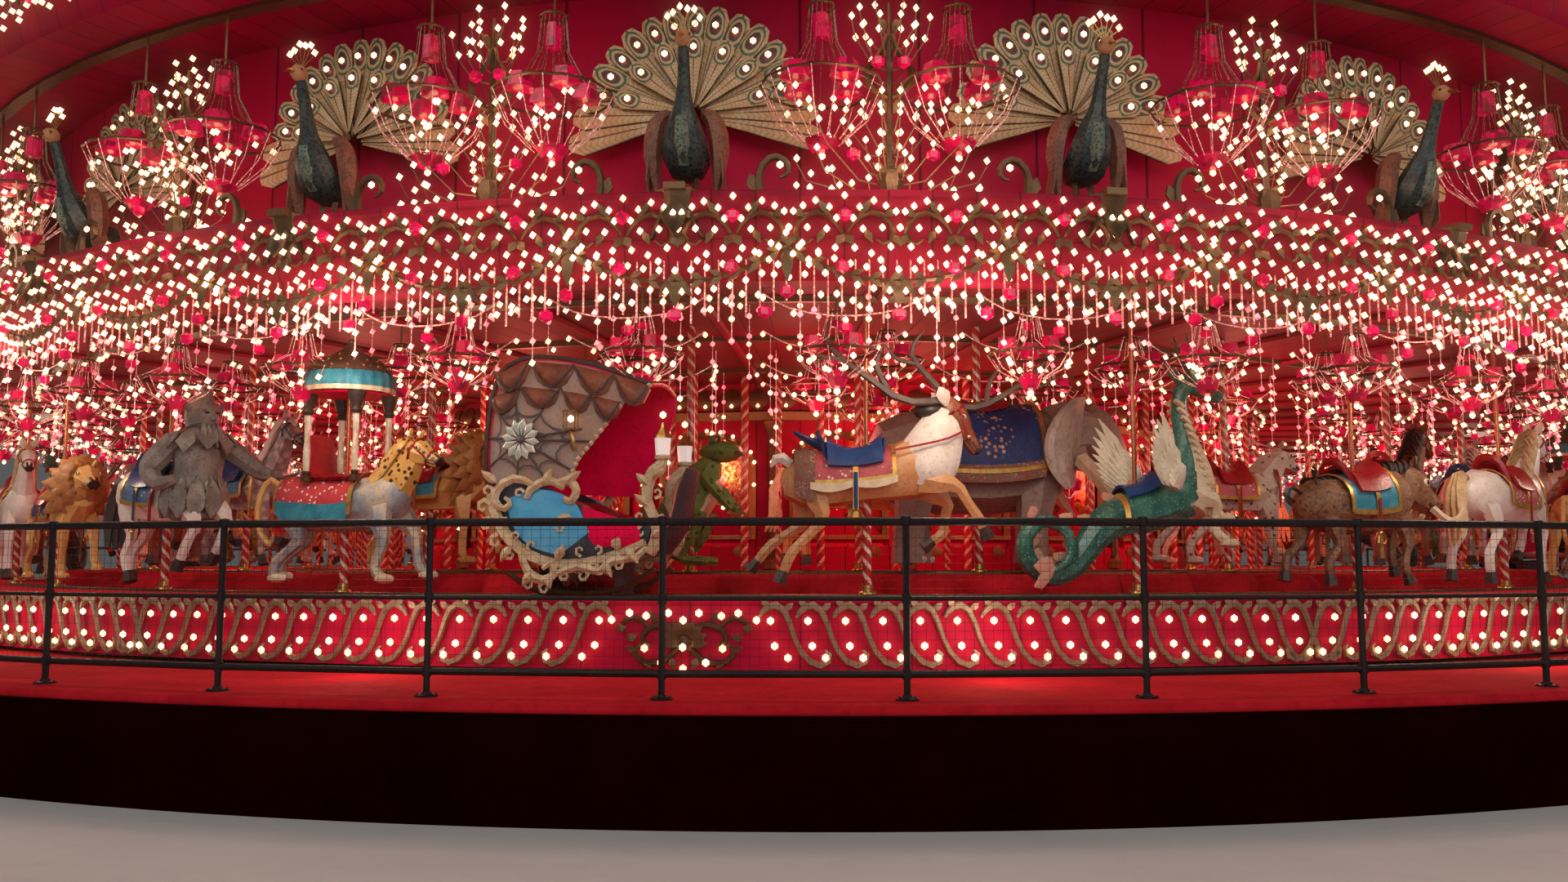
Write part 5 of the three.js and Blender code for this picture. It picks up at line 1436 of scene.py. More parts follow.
def centaur():
    """White trotting horse with the upper body of a capped, bearded figure in grey, one hand held out."""
    made = Carving()
    trunk(made, "white_coat", HORSE_BODY[:-2] + [(0.5, 0.95, 0.17, 0.22), (0.58, 0.98, 0.1, 0.14)])
    for y, joints in (HORSE_LEGS[1], HORSE_LEGS[3], (-0.12, [(0.42, 0.84), (0.62, 0.6), (0.48, 0.4),
            (0.42, 0.3)]), (-0.13, [(-0.47, 0.84), (-0.34, 0.54), (-0.44, 0.32), (-0.38, 0.18)])):
        leg(made, "white_coat", "hoof_black", y, joints, 0.092)
    locks(made, "dark_hair", [[[-0.66, 0, 1.02, 0.035], [-0.78, s * 0.02, 0.98, 0.06],
        [-0.86, s * 0.05, 0.7, 0.06], [-0.82, s * 0.08, 0.4, 0.03]] for s in (-1, 0, 1)])
    harness(made, HORSE_BODY, -0.34, 0.12, "blue_cloth", "blue_leather")
    coat = "stone_coat"
    trunk(made, coat, [(0.4, 0.66, 0.2, 0.2), (0.4, 0.85, 0.235, 0.235), (0.42, 1.05, 0.215, 0.2),
        (0.45, 1.25, 0.235, 0.175), (0.47, 1.4, 0.2, 0.14), (0.48, 1.48, 0.1, 0.1)], 16, 14)
    for k in range(9):
        a = math.radians(-120 + 30 * k)
        made.add(coat, leaf((0.41 + 0.2 * math.cos(a), 0.2 * math.sin(a), 1.04),
            (0.39 + 0.25 * math.cos(a), 0.25 * math.sin(a), 0.66), 0.15,
            (0.05 * math.cos(a), 0.05 * math.sin(a), 0), (0.02 * math.cos(a), 0.02 * math.sin(a), 0), 7, 3))
    made.add(coat, ball([0.51, 0, 1.58], [0.125, 0.115, 0.14], 14, 8))
    trunk(made, coat, [(0.6, 1.585, 0.032), (0.645, 1.565, 0.028), (0.655, 1.55, 0.018)], 4, 8)
    for side in (-1, 1):
        made.add("black_paint", ball([0.612, side * 0.048, 1.615], [0.018, 0.022, 0.014], 8, 3))
        made.add(coat, limb([[0.6, side * 0.015, 1.645, 0.01], [0.6, side * 0.085, 1.64, 0.012]], 4, 5,
            (1, 0, 0)))
        made.add(coat, leaf((0.49, side * 0.1, 1.62), (0.43, side * 0.22, 1.72), 0.08, (0, 0, 0),
            (0.02, 0, 0), 5, 3))
    made.add(coat, *[leaf((0.585, y, 1.53), (0.66, y * 1.6, 1.3), 0.075, (0.04, 0, 0), (-0.02, 0, 0), 6, 3,
        (0, 1, 0)) for y in (-0.065, -0.022, 0.022, 0.065)])
    made.add(coat, limb([[0.47, 0, 1.5, 0.155, 0.13], [0.45, 0, 1.62, 0.15, 0.15],
        [0.47, 0, 1.7, 0.115, 0.13], [0.51, 0, 1.77, 0.065, 0.075], [0.5, 0, 1.83, 0.03, 0.032],
        [0.44, 0, 1.86, 0.01, 0.012]], 11, 10, (1, 0, 0)))
    for k in range(10):
        a = math.radians(36 * k - 160)
        made.add(coat, leaf((0.45 + 0.13 * math.cos(a), 0.15 * math.sin(a), 1.46),
            (0.45 + 0.25 * math.cos(a), 0.31 * math.sin(a), 1.28 - 0.04 * (k % 2)), 0.16,
            (0.05 * math.cos(a), 0.05 * math.sin(a), 0.03), (0.02 * math.cos(a), 0.02 * math.sin(a), 0), 5,
            3, (-math.sin(a), math.cos(a), 0), 0.65))
    arms = [[[0.42, -0.22, 1.36, 0.1], [0.3, -0.33, 1.18, 0.105], [0.28, -0.36, 1.06, 0.09],
        [0.42, -0.36, 0.96, 0.07], [0.56, -0.3, 1.0, 0.045]], [[0.48, 0.18, 1.37, 0.1],
        [0.6, 0.34, 1.22, 0.095], [0.72, 0.46, 1.09, 0.075], [0.86, 0.54, 1.05, 0.045]]]
    locks(made, coat, arms, 12, 9)
    for k in range(4):
        y = 0.5 + 0.03 * k
        made.add(coat, limb([[0.85, y, 1.055, 0.02], [0.94, y + 0.03, 1.05, 0.016],
            [1.01, y + 0.05, 1.07 + 0.01 * k, 0.009]], 5, 5))
    made.add(coat, limb([[0.84, 0.49, 1.06, 0.018], [0.88, 0.45, 1.11, 0.012]], 3, 5))
    made.add("blue_cloth", *[leaf((0.3, side * 0.15, 1.3), (0.16, side * 0.22, 0.98), 0.16,
        (-0.05, side * 0.04, 0), (-0.02, 0, 0), 7, 3, (0, 1, 0)) for side in (-1, 1)])
    made.add("red_leather", wrap([(x, z, w + 0.03, h) for x, z, w, h in HORSE_BODY], 0.14, 0.17,
        (-140, 140), 0.01, 2, 20))
    return made


DOME = [[0, 1.86], [0.335, 1.86], [0.35, 1.875], [0.345, 1.895], [0.315, 1.935], [0.25, 1.985],
    [0.165, 2.03], [0.09, 2.07], [0.045, 2.11], [0.03, 2.14], [0.035, 2.155], [0.012, 2.18], [0, 2.2]]


def howdah_beast():
    """Long-bodied beast with a domed howdah on four twisted columns."""
    made = Carving()
    coat = "blue_grey_coat"
    body = [(-0.7, 0.8, 0.07, 0.09), (-0.58, 0.78, 0.17, 0.19), (-0.35, 0.76, 0.22, 0.23),
        (0.0, 0.74, 0.225, 0.22), (0.35, 0.78, 0.21, 0.23), (0.55, 0.86, 0.14, 0.17),
        (0.62, 0.88, 0.07, 0.09)]
    trunk(made, coat, body)
    trunk(made, "gold_spotted", [(0.42, 0.84, 0.13, 0.2), (0.58, 1.0, 0.11, 0.16),
        (0.68, 1.16, 0.09, 0.12)], 9, 10)
    at = head(made, "gold_spotted", (0.68, 1.2), (0.94, 1.08), 0.105, 0.08, "dark_nose", 1.05)
    bridle(made, at)
    hair(made, "gold_spotted", [(0.62, 1.3, 0.05), (0.5, 1.16, 0.08), (0.38, 1.0, 0.1)], 0.2, 0.09, 7)
    for y, joints in ((-0.13, [(0.42, 0.74), (0.5, 0.46), (0.42, 0.22), (0.48, 0.15)]),
            (0.13, [(0.42, 0.74), (0.62, 0.5), (0.66, 0.26), (0.72, 0.18)]),
            (-0.14, [(-0.48, 0.74), (-0.36, 0.46), (-0.6, 0.26), (-0.62, 0.15)]),
            (0.14, [(-0.5, 0.74), (-0.52, 0.46), (-0.78, 0.28), (-0.8, 0.16)])):
        leg(made, coat, "ivory", y, joints, 0.088, True)
    locks(made, "gold_coat", [[[-0.66, 0, 0.88, 0.03], [-0.8, -0.02, 0.98, 0.03], [-0.9, -0.04, 0.8, 0.03],
        [-0.88, -0.05, 0.56, 0.03], [-0.76, -0.05, 0.42, 0.028], [-0.72, -0.05, 0.5, 0.012]]], 16, 8)
    made.add("striped_cloth", wrap(body, -0.6, 0.24, (-100, 100), 0.014, 12, 17, scallops=5))
    for span in ((-116, -88), (88, 116)):
        made.add("teal_cloth", wrap(body, -0.58, 0.22, span, 0.022, 12, 4, scallops=5))
    for start, end in ((0.21, 0.25), (-0.62, -0.58)):
        made.add("gold_trim", wrap(body, start, end, (-112, 112), 0.026, 2, 17))
    trunk(made, "red_leather", [(-0.24, 0.98, 0.2, 0.04), (0.24, 0.98, 0.2, 0.04)], 3, 10)
    trunk(made, "red_leather", [(-0.26, 1.0, 0.21, 0.03), (-0.29, 1.16, 0.21, 0.035),
        (-0.3, 1.34, 0.16, 0.03)], 7, 10)
    for x in (-0.25, 0.25):
        for y in (-0.21, 0.21):
            made.add("dark_bronze", moved(turned([[0, 0.94], [0.045, 0.945], [0.05, 0.975], [0.028, 1.0],
                [0.035, 1.03], [0, 1.035]], 10), (x, y, 0)))
            made.add("white_twist", moved(twisted(0.03, 1.03, 1.53, 1.4, 0.22), (x, y, 0)))
            made.add("hoof_black", moved(turned([[0, 1.5], [0.035, 1.505], [0.05, 1.53], [0.038, 1.56],
                [0.06, 1.62], [0.078, 1.69], [0, 1.7]], 10), (x, y, 0)))
    made.add("brown_dome", turned(DOME, 20))
    a = circle_angles(96)
    rib = 0.012 * np.abs(np.sin(a * 12))
    band = [np.stack([(r + rib) * np.cos(a), (r + rib) * np.sin(a), z + 0 * a], -1)
        for r, z in ((0.335, 1.87), (0.352, 1.85), (0.362, 1.8), (0.366, 1.74), (0.366, 1.7))]
    made.add("teal_cloth", skin(np.stack(band[:4]), [0, 0, 1.87], [0, 0, 1.74]))
    made.add("ivory", skin(np.stack([band[3] + [0, 0, -GAP], band[4], band[4] * [0.95, 0.95, 1]]),
        [0, 0, 1.739], [0, 0, 1.7]))
    for k in range(16):
        a = math.radians(22.5 * k)
        for low, rim in ((1.91, 0.335), (1.965, 0.275), (2.02, 0.18)):
            if low < 2 or k % 2:
                turn = a + low * 3
                made.add("gold_trim", ball([rim * math.cos(turn), rim * math.sin(turn), low],
                    [0.015, 0.015, 0.015], 4, 1))
    made.add("crimson_lining", turned([[0, 1.685], [0.33, 1.68], [0.34, 1.694], [0, 1.6949]], 20))
    return made


def twisted(radius, low, high, turns_a_metre, depth):
    """Rope-like column: its two-lobed section turns with height."""
    z = np.linspace(low, high, 14)[:, None]
    a = circle_angles(8)
    turn = z * turns_a_metre * 2 * np.pi
    reach = radius * (1 - depth / 2 + depth / 2 * np.cos(2 * (a - turn)))
    return skin(np.stack([reach * np.cos(a), reach * np.sin(a), z + 0 * a], -1))


def flat_leaves(made, finish, y, spots, width):
    """Acanthus leaves laid on a side wall: base x, z and tip x, z."""
    depth = math.copysign(0.022, y)
    for x, z, tx, tz in spots:
        made.add(finish, leaf((x, y, z), (x + 1.25 * (tx - x), y + depth, z + 1.25 * (tz - z)), width,
            (0, depth, 0), (0, -depth, 0), 5, 3, (-(tz - z), 0, tx - x), 0.35))


def curls(made, finish, y, spots):
    """Small spirals on a side wall: x, z, size, first angle and hand; the radius falls as 1 - 0.72 * t."""
    t = np.linspace(0, 1, 8)
    for x, z, size, start, hand in spots:
        a = np.radians(start + hand * 300 * t)
        reach = size * (1 - 0.72 * t)
        stations = np.stack([x + reach * np.cos(a), y + 0 * t, z + reach * np.sin(a),
            size * (0.3 - 0.12 * t), size * (0.34 - 0.14 * t)], -1)
        made.add(finish, limb(stations, 8, 4))


def drape(start, end, sag, y, bulge):
    """Hanging cloth between two points x, z on the hood's side."""
    u, v = np.linspace(-1, 1, 7), np.linspace(0, 1, 4)[:, None]
    x = (start[0] + end[0]) / 2 + (end[0] - start[0]) / 2 * u + 0 * v
    z = (start[1] + end[1]) / 2 + (end[1] - start[1]) / 2 * u - sag * v * np.sqrt(1 - u ** 2 * 0.98)
    out = bulge * np.sin(np.pi * v * 0.8) * (1 - u ** 2)
    return board(np.stack([x, y + out, z], -1), np.array([0, -bulge * 0.8, 0]))


HOOD_TOP = [(-0.7, 0.86), (-0.72, 1.1), (-0.7, 1.4), (-0.64, 1.7), (-0.5, 1.84), (-0.27, 1.88),
    (0.1, 1.82), (0.4, 1.72), (0.62, 1.64)]
HOOD_FRONT = [(-0.02, 0.86), (0.0, 0.98), (0.05, 1.08), (0.12, 1.16), (0.2, 1.26), (0.28, 1.36),
    (0.36, 1.46), (0.46, 1.56), (0.6, 1.63)]
LINING_FRONT = [(0.3, 0.8), (0.34, 0.93), (0.4, 1.04), (0.47, 1.14), (0.53, 1.25), (0.58, 1.36),
    (0.61, 1.46), (0.63, 1.55), (0.63, 1.63)]
TUB = [(-0.68, 0.86), (-0.62, 0.62), (-0.5, 0.44), (-0.32, 0.3), (-0.08, 0.24), (0.18, 0.27), (0.42, 0.36),
    (0.6, 0.44)]
TUB_TOP = [(-0.64, 0.9), (-0.5, 0.9), (-0.34, 0.86), (-0.18, 0.84), (-0.02, 0.74), (0.2, 0.62),
    (0.42, 0.56), (0.62, 0.56)]


def side_panel(first, second, y, depth, belly=0.0):
    """Panel between two lines of points x, z, at y."""
    a = smooth([[*p, 0] for p in first], 13)[:, :2]
    b = smooth([[*p, 0] for p in second], 13)[:, :2]
    v = np.linspace(0, 1, 6)[None, :, None]
    grid = a[:, None] * (1 - v) + b[:, None] * v
    out = y + math.copysign(belly, y) * np.sin(np.pi * v[..., 0]) * np.sin(np.linspace(0, np.pi, 13))[:, None]
    return board(np.stack([grid[..., 0], out, grid[..., 1]], -1), np.array([0, depth, 0]))


def chariot():
    """Hooded tub on a carved frame: draped hood with a web of ribs, lining, blue side panel, lanterns."""
    made = Carving()
    half = 0.37
    for side in (-1, 1):
        made.add("mauve_hood", side_panel(HOOD_TOP, HOOD_FRONT, side * half, side * -0.02, belly=0.03))
    lining_top = [(x + 0.02, z - 0.01) for x, z in HOOD_TOP]
    near_lining = [(x - 0.02, z) for x, z in HOOD_FRONT]
    made.add("crimson_lining", side_panel(lining_top, LINING_FRONT, half - 0.03, -0.012),
        side_panel(lining_top, near_lining, -half + 0.025, 0.012))
    roof_line = smooth([[x, z, 0] for x, z in HOOD_TOP], 18)[:, :2]
    y = np.linspace(-half - 0.01, half + 0.01, 7)
    camber = 0.05 * (1 - (y / half) ** 2).clip(0)
    normal = unit(np.gradient(roof_line, axis=0))[:, [1, 0]] * [-1, 1]
    grid = roof_line[:, None] + normal[:, None] * camber[None, :, None]
    shell = np.stack([grid[..., 0], y + 0 * grid[..., 0], grid[..., 1]], -1)
    inward = np.stack([-normal[:, 0], 0 * normal[:, 0], -normal[:, 1]], -1)[:, None] * 0.02
    made.add("rust_hood", board(shell, np.broadcast_to(inward, shell.shape)))
    made.add("crimson_lining", board(shell + inward * 1.2, np.broadcast_to(inward * 0.5, shell.shape)))
    for side in (-1, 1):
        y0 = side * (half + 0.02)
        upper = [(-0.66, 1.76), (-0.36, 1.84), (0.0, 1.8), (0.32, 1.72), (0.6, 1.62)]
        lower = [(-0.69, 1.56), (-0.44, 1.64), (-0.1, 1.62), (0.14, 1.56), (0.38, 1.5)]
        for line, sag in ((lower, 0.17), (upper, 0.2)):
            for p, q in zip(line[:-1], line[1:]):
                made.add("rust_hood", drape(p, q, sag, y0, side * 0.05))
                made.add("dark_line", limb([[p[0], y0 + side * 0.03, p[1], 0.008],
                    [(p[0] + q[0]) / 2, y0 + side * 0.05, (p[1] + q[1]) / 2 - sag, 0.012],
                    [q[0], y0 + side * 0.03, q[1], 0.008]], 7, 3))
        centre = np.array([-0.42, side * (half + 0.05), 1.22])
        ends = [(-0.68, 1.5), (-0.48, 1.52), (-0.22, 1.5), (0.06, 1.3), (0.14, 1.2), (-0.02, 0.98),
            (-0.22, 0.9), (-0.46, 0.9), (-0.68, 1.02), (-0.7, 1.24)]
        rim = [np.array([x, side * (half + 0.015), z]) for x, z in ends]
        made.add("web_rib", *[limb([[*centre, 0.011], [*((centre + p) / 2 + [0, side * 0.012, 0]), 0.01],
            [*p, 0.009]], 4, 5) for p in rim])
        for share in (0.42, 0.74):
            spots = [centre + (p - centre) * share + [0, side * 0.004, 0] for p in rim]
            for p, q in zip(spots, spots[1:] + spots[:1]):
                sag = centre + ((p + q) / 2 - centre) * 0.82
                made.add("web_rib", limb([[*p, 0.008], [*sag, 0.008], [*q, 0.008]], 5, 4))
        for k in range(12):
            a = math.radians(30 * k + 8)
            tip = centre + [0.155 * math.sin(a), side * 0.008, 0.165 * math.cos(a)]
            made.add("pearl", leaf(centre + [0.03 * math.sin(a), side * 0.004, 0.03 * math.cos(a)], tip,
                0.058, (0, side * 0.012, 0), (0, -side * 0.01, 0), 5, 3, (math.cos(a), 0, -math.sin(a)),
                0.7))
        made.add("web_rib", ball(centre + [0, side * 0.01, 0], [0.03, 0.02, 0.03], 8, 4))
        edge = smooth([[x, y0 + side * 0.004, z] for x, z in HOOD_FRONT], 18)
        made.add("cream_carved", *[ball(p, [0.024, 0.016, 0.024], 5, 1) for p in edge])
        made.add("dark_line", limb([[x, y0, z, 0.016] for x, z in HOOD_TOP], 18, 4))
    lamp = np.array([0.0, -half - 0.1, 1.36])
    made.add("brass", box(lamp + [0, 0, 0.07], (0.11, 0.09, 0.012)),
        box(lamp - [0, 0, 0.07], (0.1, 0.08, 0.012)))
    made.add("brass", *[box(lamp + [x, y, 0], (0.01, 0.01, 0.14)) for x in (-0.045, 0.045)
        for y in (-0.035, 0.035)])
    made.add("brass", limb([[-0.01, -half - 0.02, 1.16, 0.02], [0.03, -half - 0.09, 1.15, 0.022],
        [0.01, -half - 0.11, 1.24, 0.016], [0, -half - 0.1, 1.29, 0.012]], 9, 6))
    made.lamp("bulb", [lamp + [0, 0, 0.01]])
    for side in (-1, 1):
        y0 = side * half
        made.add("dark_paint", side_panel(TUB, TUB_TOP, y0, -side * 0.03, belly=0.04))
        blue = side_panel([(-0.54, 0.76), (-0.48, 0.56), (-0.34, 0.4), (-0.1, 0.32)],
            [(-0.3, 0.84), (-0.1, 0.8), (0.04, 0.7), (0.14, 0.5)], side * (half + 0.036), -side * 0.02,
            belly=0.03)
        made.add("sky_blue", blue)
        made.add("crimson_lining", side_panel([(0.08, 0.7), (0.1, 0.56), (0.14, 0.44), (0.22, 0.38)],
            [(0.52, 0.56), (0.54, 0.5), (0.54, 0.44), (0.52, 0.4)], side * (half + 0.03), -side * 0.012,
            belly=0.03))
        frame_line = [[-0.66, 0.8, 0.05], [-0.62, 0.62, 0.05], [-0.52, 0.46, 0.052], [-0.36, 0.33, 0.05],
            [-0.2, 0.27, 0.046], [-0.02, 0.25, 0.045], [0.2, 0.28, 0.042], [0.42, 0.35, 0.04],
            [0.58, 0.42, 0.034]]
        made.add("cream_carved", limb([[x, y0 + side * 0.03, z, r * 0.7, r] for x, z, r in frame_line], 18,
            7))
        scrolls = [[[-0.3, 0.86, 0.022], [-0.44, 0.92, 0.032], [-0.58, 0.86, 0.036], [-0.62, 0.75, 0.034],
            [-0.55, 0.68, 0.028], [-0.49, 0.73, 0.022], [-0.54, 0.77, 0.014]],
            [[-0.06, 0.84, 0.024], [-0.18, 0.9, 0.032], [-0.32, 0.84, 0.032], [-0.36, 0.76, 0.022]],
            [[-0.12, 0.88, 0.024], [-0.02, 0.9, 0.032], [0.04, 0.82, 0.034], [0.0, 0.74, 0.03],
            [-0.06, 0.76, 0.02]], [[-0.4, 0.34, 0.026], [-0.34, 0.2, 0.034], [-0.22, 0.13, 0.038],
            [-0.13, 0.18, 0.034], [-0.16, 0.26, 0.026], [-0.22, 0.22, 0.016]],
            [[-0.1, 0.18, 0.03], [0.06, 0.24, 0.034], [0.22, 0.2, 0.03], [0.34, 0.28, 0.03],
            [0.5, 0.3, 0.026], [0.6, 0.38, 0.022]]]
        for path in scrolls:
            made.add("cream_carved", limb([[x, y0 + side * 0.06, z, r * 0.8, r] for x, z, r in path], 15, 6))
        leaves = [(-0.6, 0.88, -0.7, 0.96), (-0.48, 0.4, -0.54, 0.3), (0.26, 0.28, 0.32, 0.18),
            (0.44, 0.36, 0.52, 0.28), (-0.22, 0.86, -0.17, 0.96), (-0.04, 0.88, 0.05, 0.95),
            (-0.12, 0.28, -0.06, 0.38), (0.0, 0.62, -0.09, 0.6), (0.36, 0.36, 0.38, 0.44),
            (-0.3, 0.2, -0.36, 0.11), (-0.18, 0.18, -0.16, 0.09)]
        flat_leaves(made, "cream_carved", y0 + side * 0.055, leaves, 0.065)
        spots = [(-0.71, 0.7, 0.065, 20, 1), (-0.68, 0.56, 0.06, 60, 1), (-0.6, 0.43, 0.06, 80, 1),
            (-0.48, 0.33, 0.055, 110, 1), (-0.34, 0.1, 0.05, 90, -1), (-0.2, 0.07, 0.05, 100, 1),
            (-0.04, 0.17, 0.055, 110, 1), (0.1, 0.17, 0.055, 70, -1), (0.24, 0.21, 0.05, 110, 1),
            (0.38, 0.25, 0.05, 80, -1), (0.52, 0.31, 0.05, 110, 1), (-0.53, 0.58, 0.045, 190, -1),
            (-0.44, 0.47, 0.045, 210, -1), (-0.31, 0.4, 0.042, 230, -1), (-0.08, 0.35, 0.042, 270, 1),
            (0.08, 0.36, 0.045, 280, -1), (0.22, 0.37, 0.042, 270, 1), (0.36, 0.42, 0.04, 280, -1),
            (-0.42, 0.8, 0.045, 10, 1), (-0.68, 0.82, 0.055, 330, 1), (-0.08, 0.54, 0.04, 180, 1)]
        curls(made, "cream_carved", y0 + side * 0.06, spots)
        post = [[0.6, 0.34, 0.05], [0.66, 0.46, 0.055], [0.64, 0.6, 0.045], [0.58, 0.72, 0.045],
            [0.58, 0.86, 0.05], [0.62, 0.96, 0.055], [0.69, 1.02, 0.05], [0.7, 1.07, 0.035]]
        py = side * (half - 0.02)
        made.add("cream_carved", limb([[x, py, z, r, r] for x, z, r in post], 16, 7))
        flat_leaves(made, "cream_carved", py + side * 0.04, [(0.62, 0.46, 0.71, 0.51),
            (0.6, 0.7, 0.52, 0.77), (0.6, 0.86, 0.53, 0.93), (0.64, 0.92, 0.72, 0.97)], 0.065)
        curls(made, "cream_carved", py + side * 0.045, [(0.7, 0.6, 0.055, 250, 1),
            (0.54, 0.62, 0.045, 290, -1), (0.67, 0.8, 0.045, 250, 1), (0.55, 0.5, 0.045, 90, 1)])
        made.add("cream_carved", moved(turned([[0, 1.05], [0.06, 1.06], [0.065, 1.08], [0.05, 1.09],
            [0, 1.09]], 10), (0.7, py, 0)))
        made.add("lantern_glass", moved(turned([[0, 1.09], [0.055, 1.09], [0.065, 1.22], [0, 1.22]], 6),
            (0.7, py, 0)))
        made.add("brass", moved(turned([[0, 1.22], [0.075, 1.22], [0.06, 1.25], [0.02, 1.3], [0.012, 1.34],
            [0, 1.345]], 6), (0.7, py, 0)))
        made.lamp("bulb", [[0.7, py, 1.4]])
    trunk(made, "dark_paint", [(0.6, 0.36, half - 0.04, 0.05), (0.74, 0.55, half - 0.06, 0.05),
        (0.8, 0.8, half - 0.08, 0.05), (0.86, 1.0, half - 0.14, 0.03)], 9, 10)
    trunk(made, "red_leather", [(-0.62, 0.36, half - 0.05, 0.06), (0.3, 0.36, half - 0.05, 0.06)], 4, 12)
    trunk(made, "crimson_lining", [(-0.16, 0.4, half - 0.06, 0.05), (-0.24, 0.7, half - 0.06, 0.06),
        (-0.34, 1.0, half - 0.07, 0.06), (-0.4, 1.22, half - 0.1, 0.04)], 9, 12)
    made.add("red_leather", *[limb([[-0.3, s * 0.28, 0.72, 0.05], [0.0, s * 0.29, 0.7, 0.055],
        [0.16, s * 0.29, 0.62, 0.04]], 7, 8) for s in (-1, 1)])
    made.add("dark_paint", *[limb([[x, 0, 0.02, 0.3, 0.03], [x * 1.02, 0, 0.14, 0.26, 0.04],
        [x, 0, 0.26, 0.3, 0.05]], 5, 8) for x in (-0.3, 0.3)])
    made.add("dark_bronze", *[limb([[-0.58, s * 0.26, 0.2, 0.022], [-0.3, s * 0.26, 0.045, 0.026],
        [0.3, s * 0.26, 0.045, 0.026], [0.62, s * 0.26, 0.22, 0.022]], 12, 6) for s in (-1, 1)])
    return made


STAG_BODY = [(-0.64, 0.98, 0.06, 0.08), (-0.56, 0.93, 0.16, 0.2), (-0.38, 0.91, 0.205, 0.22),
    (-0.05, 0.93, 0.2, 0.195), (0.22, 0.97, 0.2, 0.215), (0.4, 1.02, 0.19, 0.25), (0.54, 1.06, 0.13, 0.2),
    (0.6, 1.08, 0.06, 0.1)]


def stag():
    """Leaping stag with great swept antlers, a white chest, blue saddle and a rose blanket."""
    made = Carving()
    coat = "tan_coat"
    trunk(made, coat, STAG_BODY)
    trunk(made, "brushed_white", [(0.38, 0.88, 0.16, 0.17), (0.43, 0.98, 0.205, 0.24),
        (0.5, 1.1, 0.19, 0.255), (0.57, 1.26, 0.16, 0.215), (0.62, 1.39, 0.125, 0.165),
        (0.65, 1.47, 0.08, 0.1)], 16, 14)
    made.add("dark_hair", ball([0.5, 0, 1.47], [0.13, 0.1, 0.075], 12, 6))
    at = head(made, "bay_coat", (0.66, 1.5), (0.88, 1.14), 0.1, 0.0, "dark_nose")
    for side in (-1, 1):
        made.add("brushed_white", leaf((0.62, side * 0.08, 1.5), (0.56, side * 0.17, 1.64), 0.09,
            (0, side * 0.02, 0), (0.02, 0, 0), 6, 3, (1, 0, 0.3)))
    bridle(made, at)
    made.add("red_leather", limb([[0.76, -0.1, 1.3, 0.01], [0.58, -0.2, 1.22, 0.01],
        [0.2, -0.2, 1.14, 0.01]], 8, 4))
    for y, joints in ((-0.12, [(0.42, 0.92), (0.7, 0.86), (0.86, 0.62), (0.9, 0.54)]),
            (0.12, [(0.42, 0.9), (0.66, 0.74), (0.62, 0.5), (0.54, 0.44)]),
            (-0.13, [(-0.44, 0.9), (-0.36, 0.6), (-0.6, 0.34), (-0.66, 0.2)]),
            (0.13, [(-0.46, 0.9), (-0.5, 0.58), (-0.76, 0.4), (-0.86, 0.28)])):
        leg(made, coat, "hoof_black", y, joints, 0.086)
    locks(made, "brushed_white", [[[-0.6, 0, 1.04, 0.04], [-0.7, 0, 1.1, 0.05], [-0.76, 0, 1.02, 0.01]]],
        6, 8)
    antlers = [[[0.6, -0.06, 1.55, 0.034], [0.44, -0.13, 1.53, 0.033], [0.24, -0.19, 1.54, 0.032],
        [0.0, -0.24, 1.7, 0.029], [-0.22, -0.27, 1.85, 0.026], [-0.34, -0.27, 2.0, 0.02],
        [-0.32, -0.25, 2.14, 0.008]], [[0.16, -0.21, 1.6, 0.025], [0.06, -0.26, 1.78, 0.021],
        [0.1, -0.26, 1.94, 0.007]], [[-0.2, -0.27, 1.84, 0.022], [-0.38, -0.3, 1.86, 0.016],
        [-0.52, -0.3, 1.94, 0.006]], [[0.64, 0.04, 1.55, 0.034], [0.62, 0.1, 1.64, 0.032],
        [0.5, 0.16, 1.8, 0.028], [0.4, 0.19, 1.94, 0.023], [0.42, 0.19, 2.06, 0.016],
        [0.5, 0.18, 2.15, 0.007]], [[0.44, 0.18, 1.88, 0.021], [0.28, 0.2, 1.92, 0.016],
        [0.18, 0.2, 2.04, 0.006]], [[0.66, 0.05, 1.54, 0.034], [0.84, 0.12, 1.51, 0.032],
        [1.03, 0.17, 1.56, 0.029], [1.26, 0.2, 1.7, 0.024], [1.44, 0.21, 1.84, 0.017],
        [1.52, 0.2, 1.98, 0.007]], [[1.0, 0.16, 1.56, 0.025], [1.04, 0.2, 1.74, 0.02],
        [1.14, 0.2, 1.88, 0.007]], [[1.26, 0.2, 1.7, 0.02], [1.44, 0.22, 1.7, 0.014],
        [1.58, 0.22, 1.77, 0.006]]]
    locks(made, "antler", antlers, 12, 7)
    harness(made, STAG_BODY, -0.44, 0.2, "rose_cloth", "blue_leather", reach=98, tall=0.08)
    made.add("garland", wrap(STAG_BODY, -0.58, -0.42, (-128, 128), 0.02, 4, 21, scallops=2))
    trunk(made, "blue_leather", [(-0.3, 1.16, 0.12, 0.05), (-0.44, 1.22, 0.1, 0.035),
        (-0.58, 1.3, 0.03, 0.014)], 6, 8)
    for low, high in ((-108, -96), (96, 108)):
        made.add("ivory", wrap(STAG_BODY, -0.46, 0.22, (low, high), 0.026, 12, 3, scallops=6))
    return made


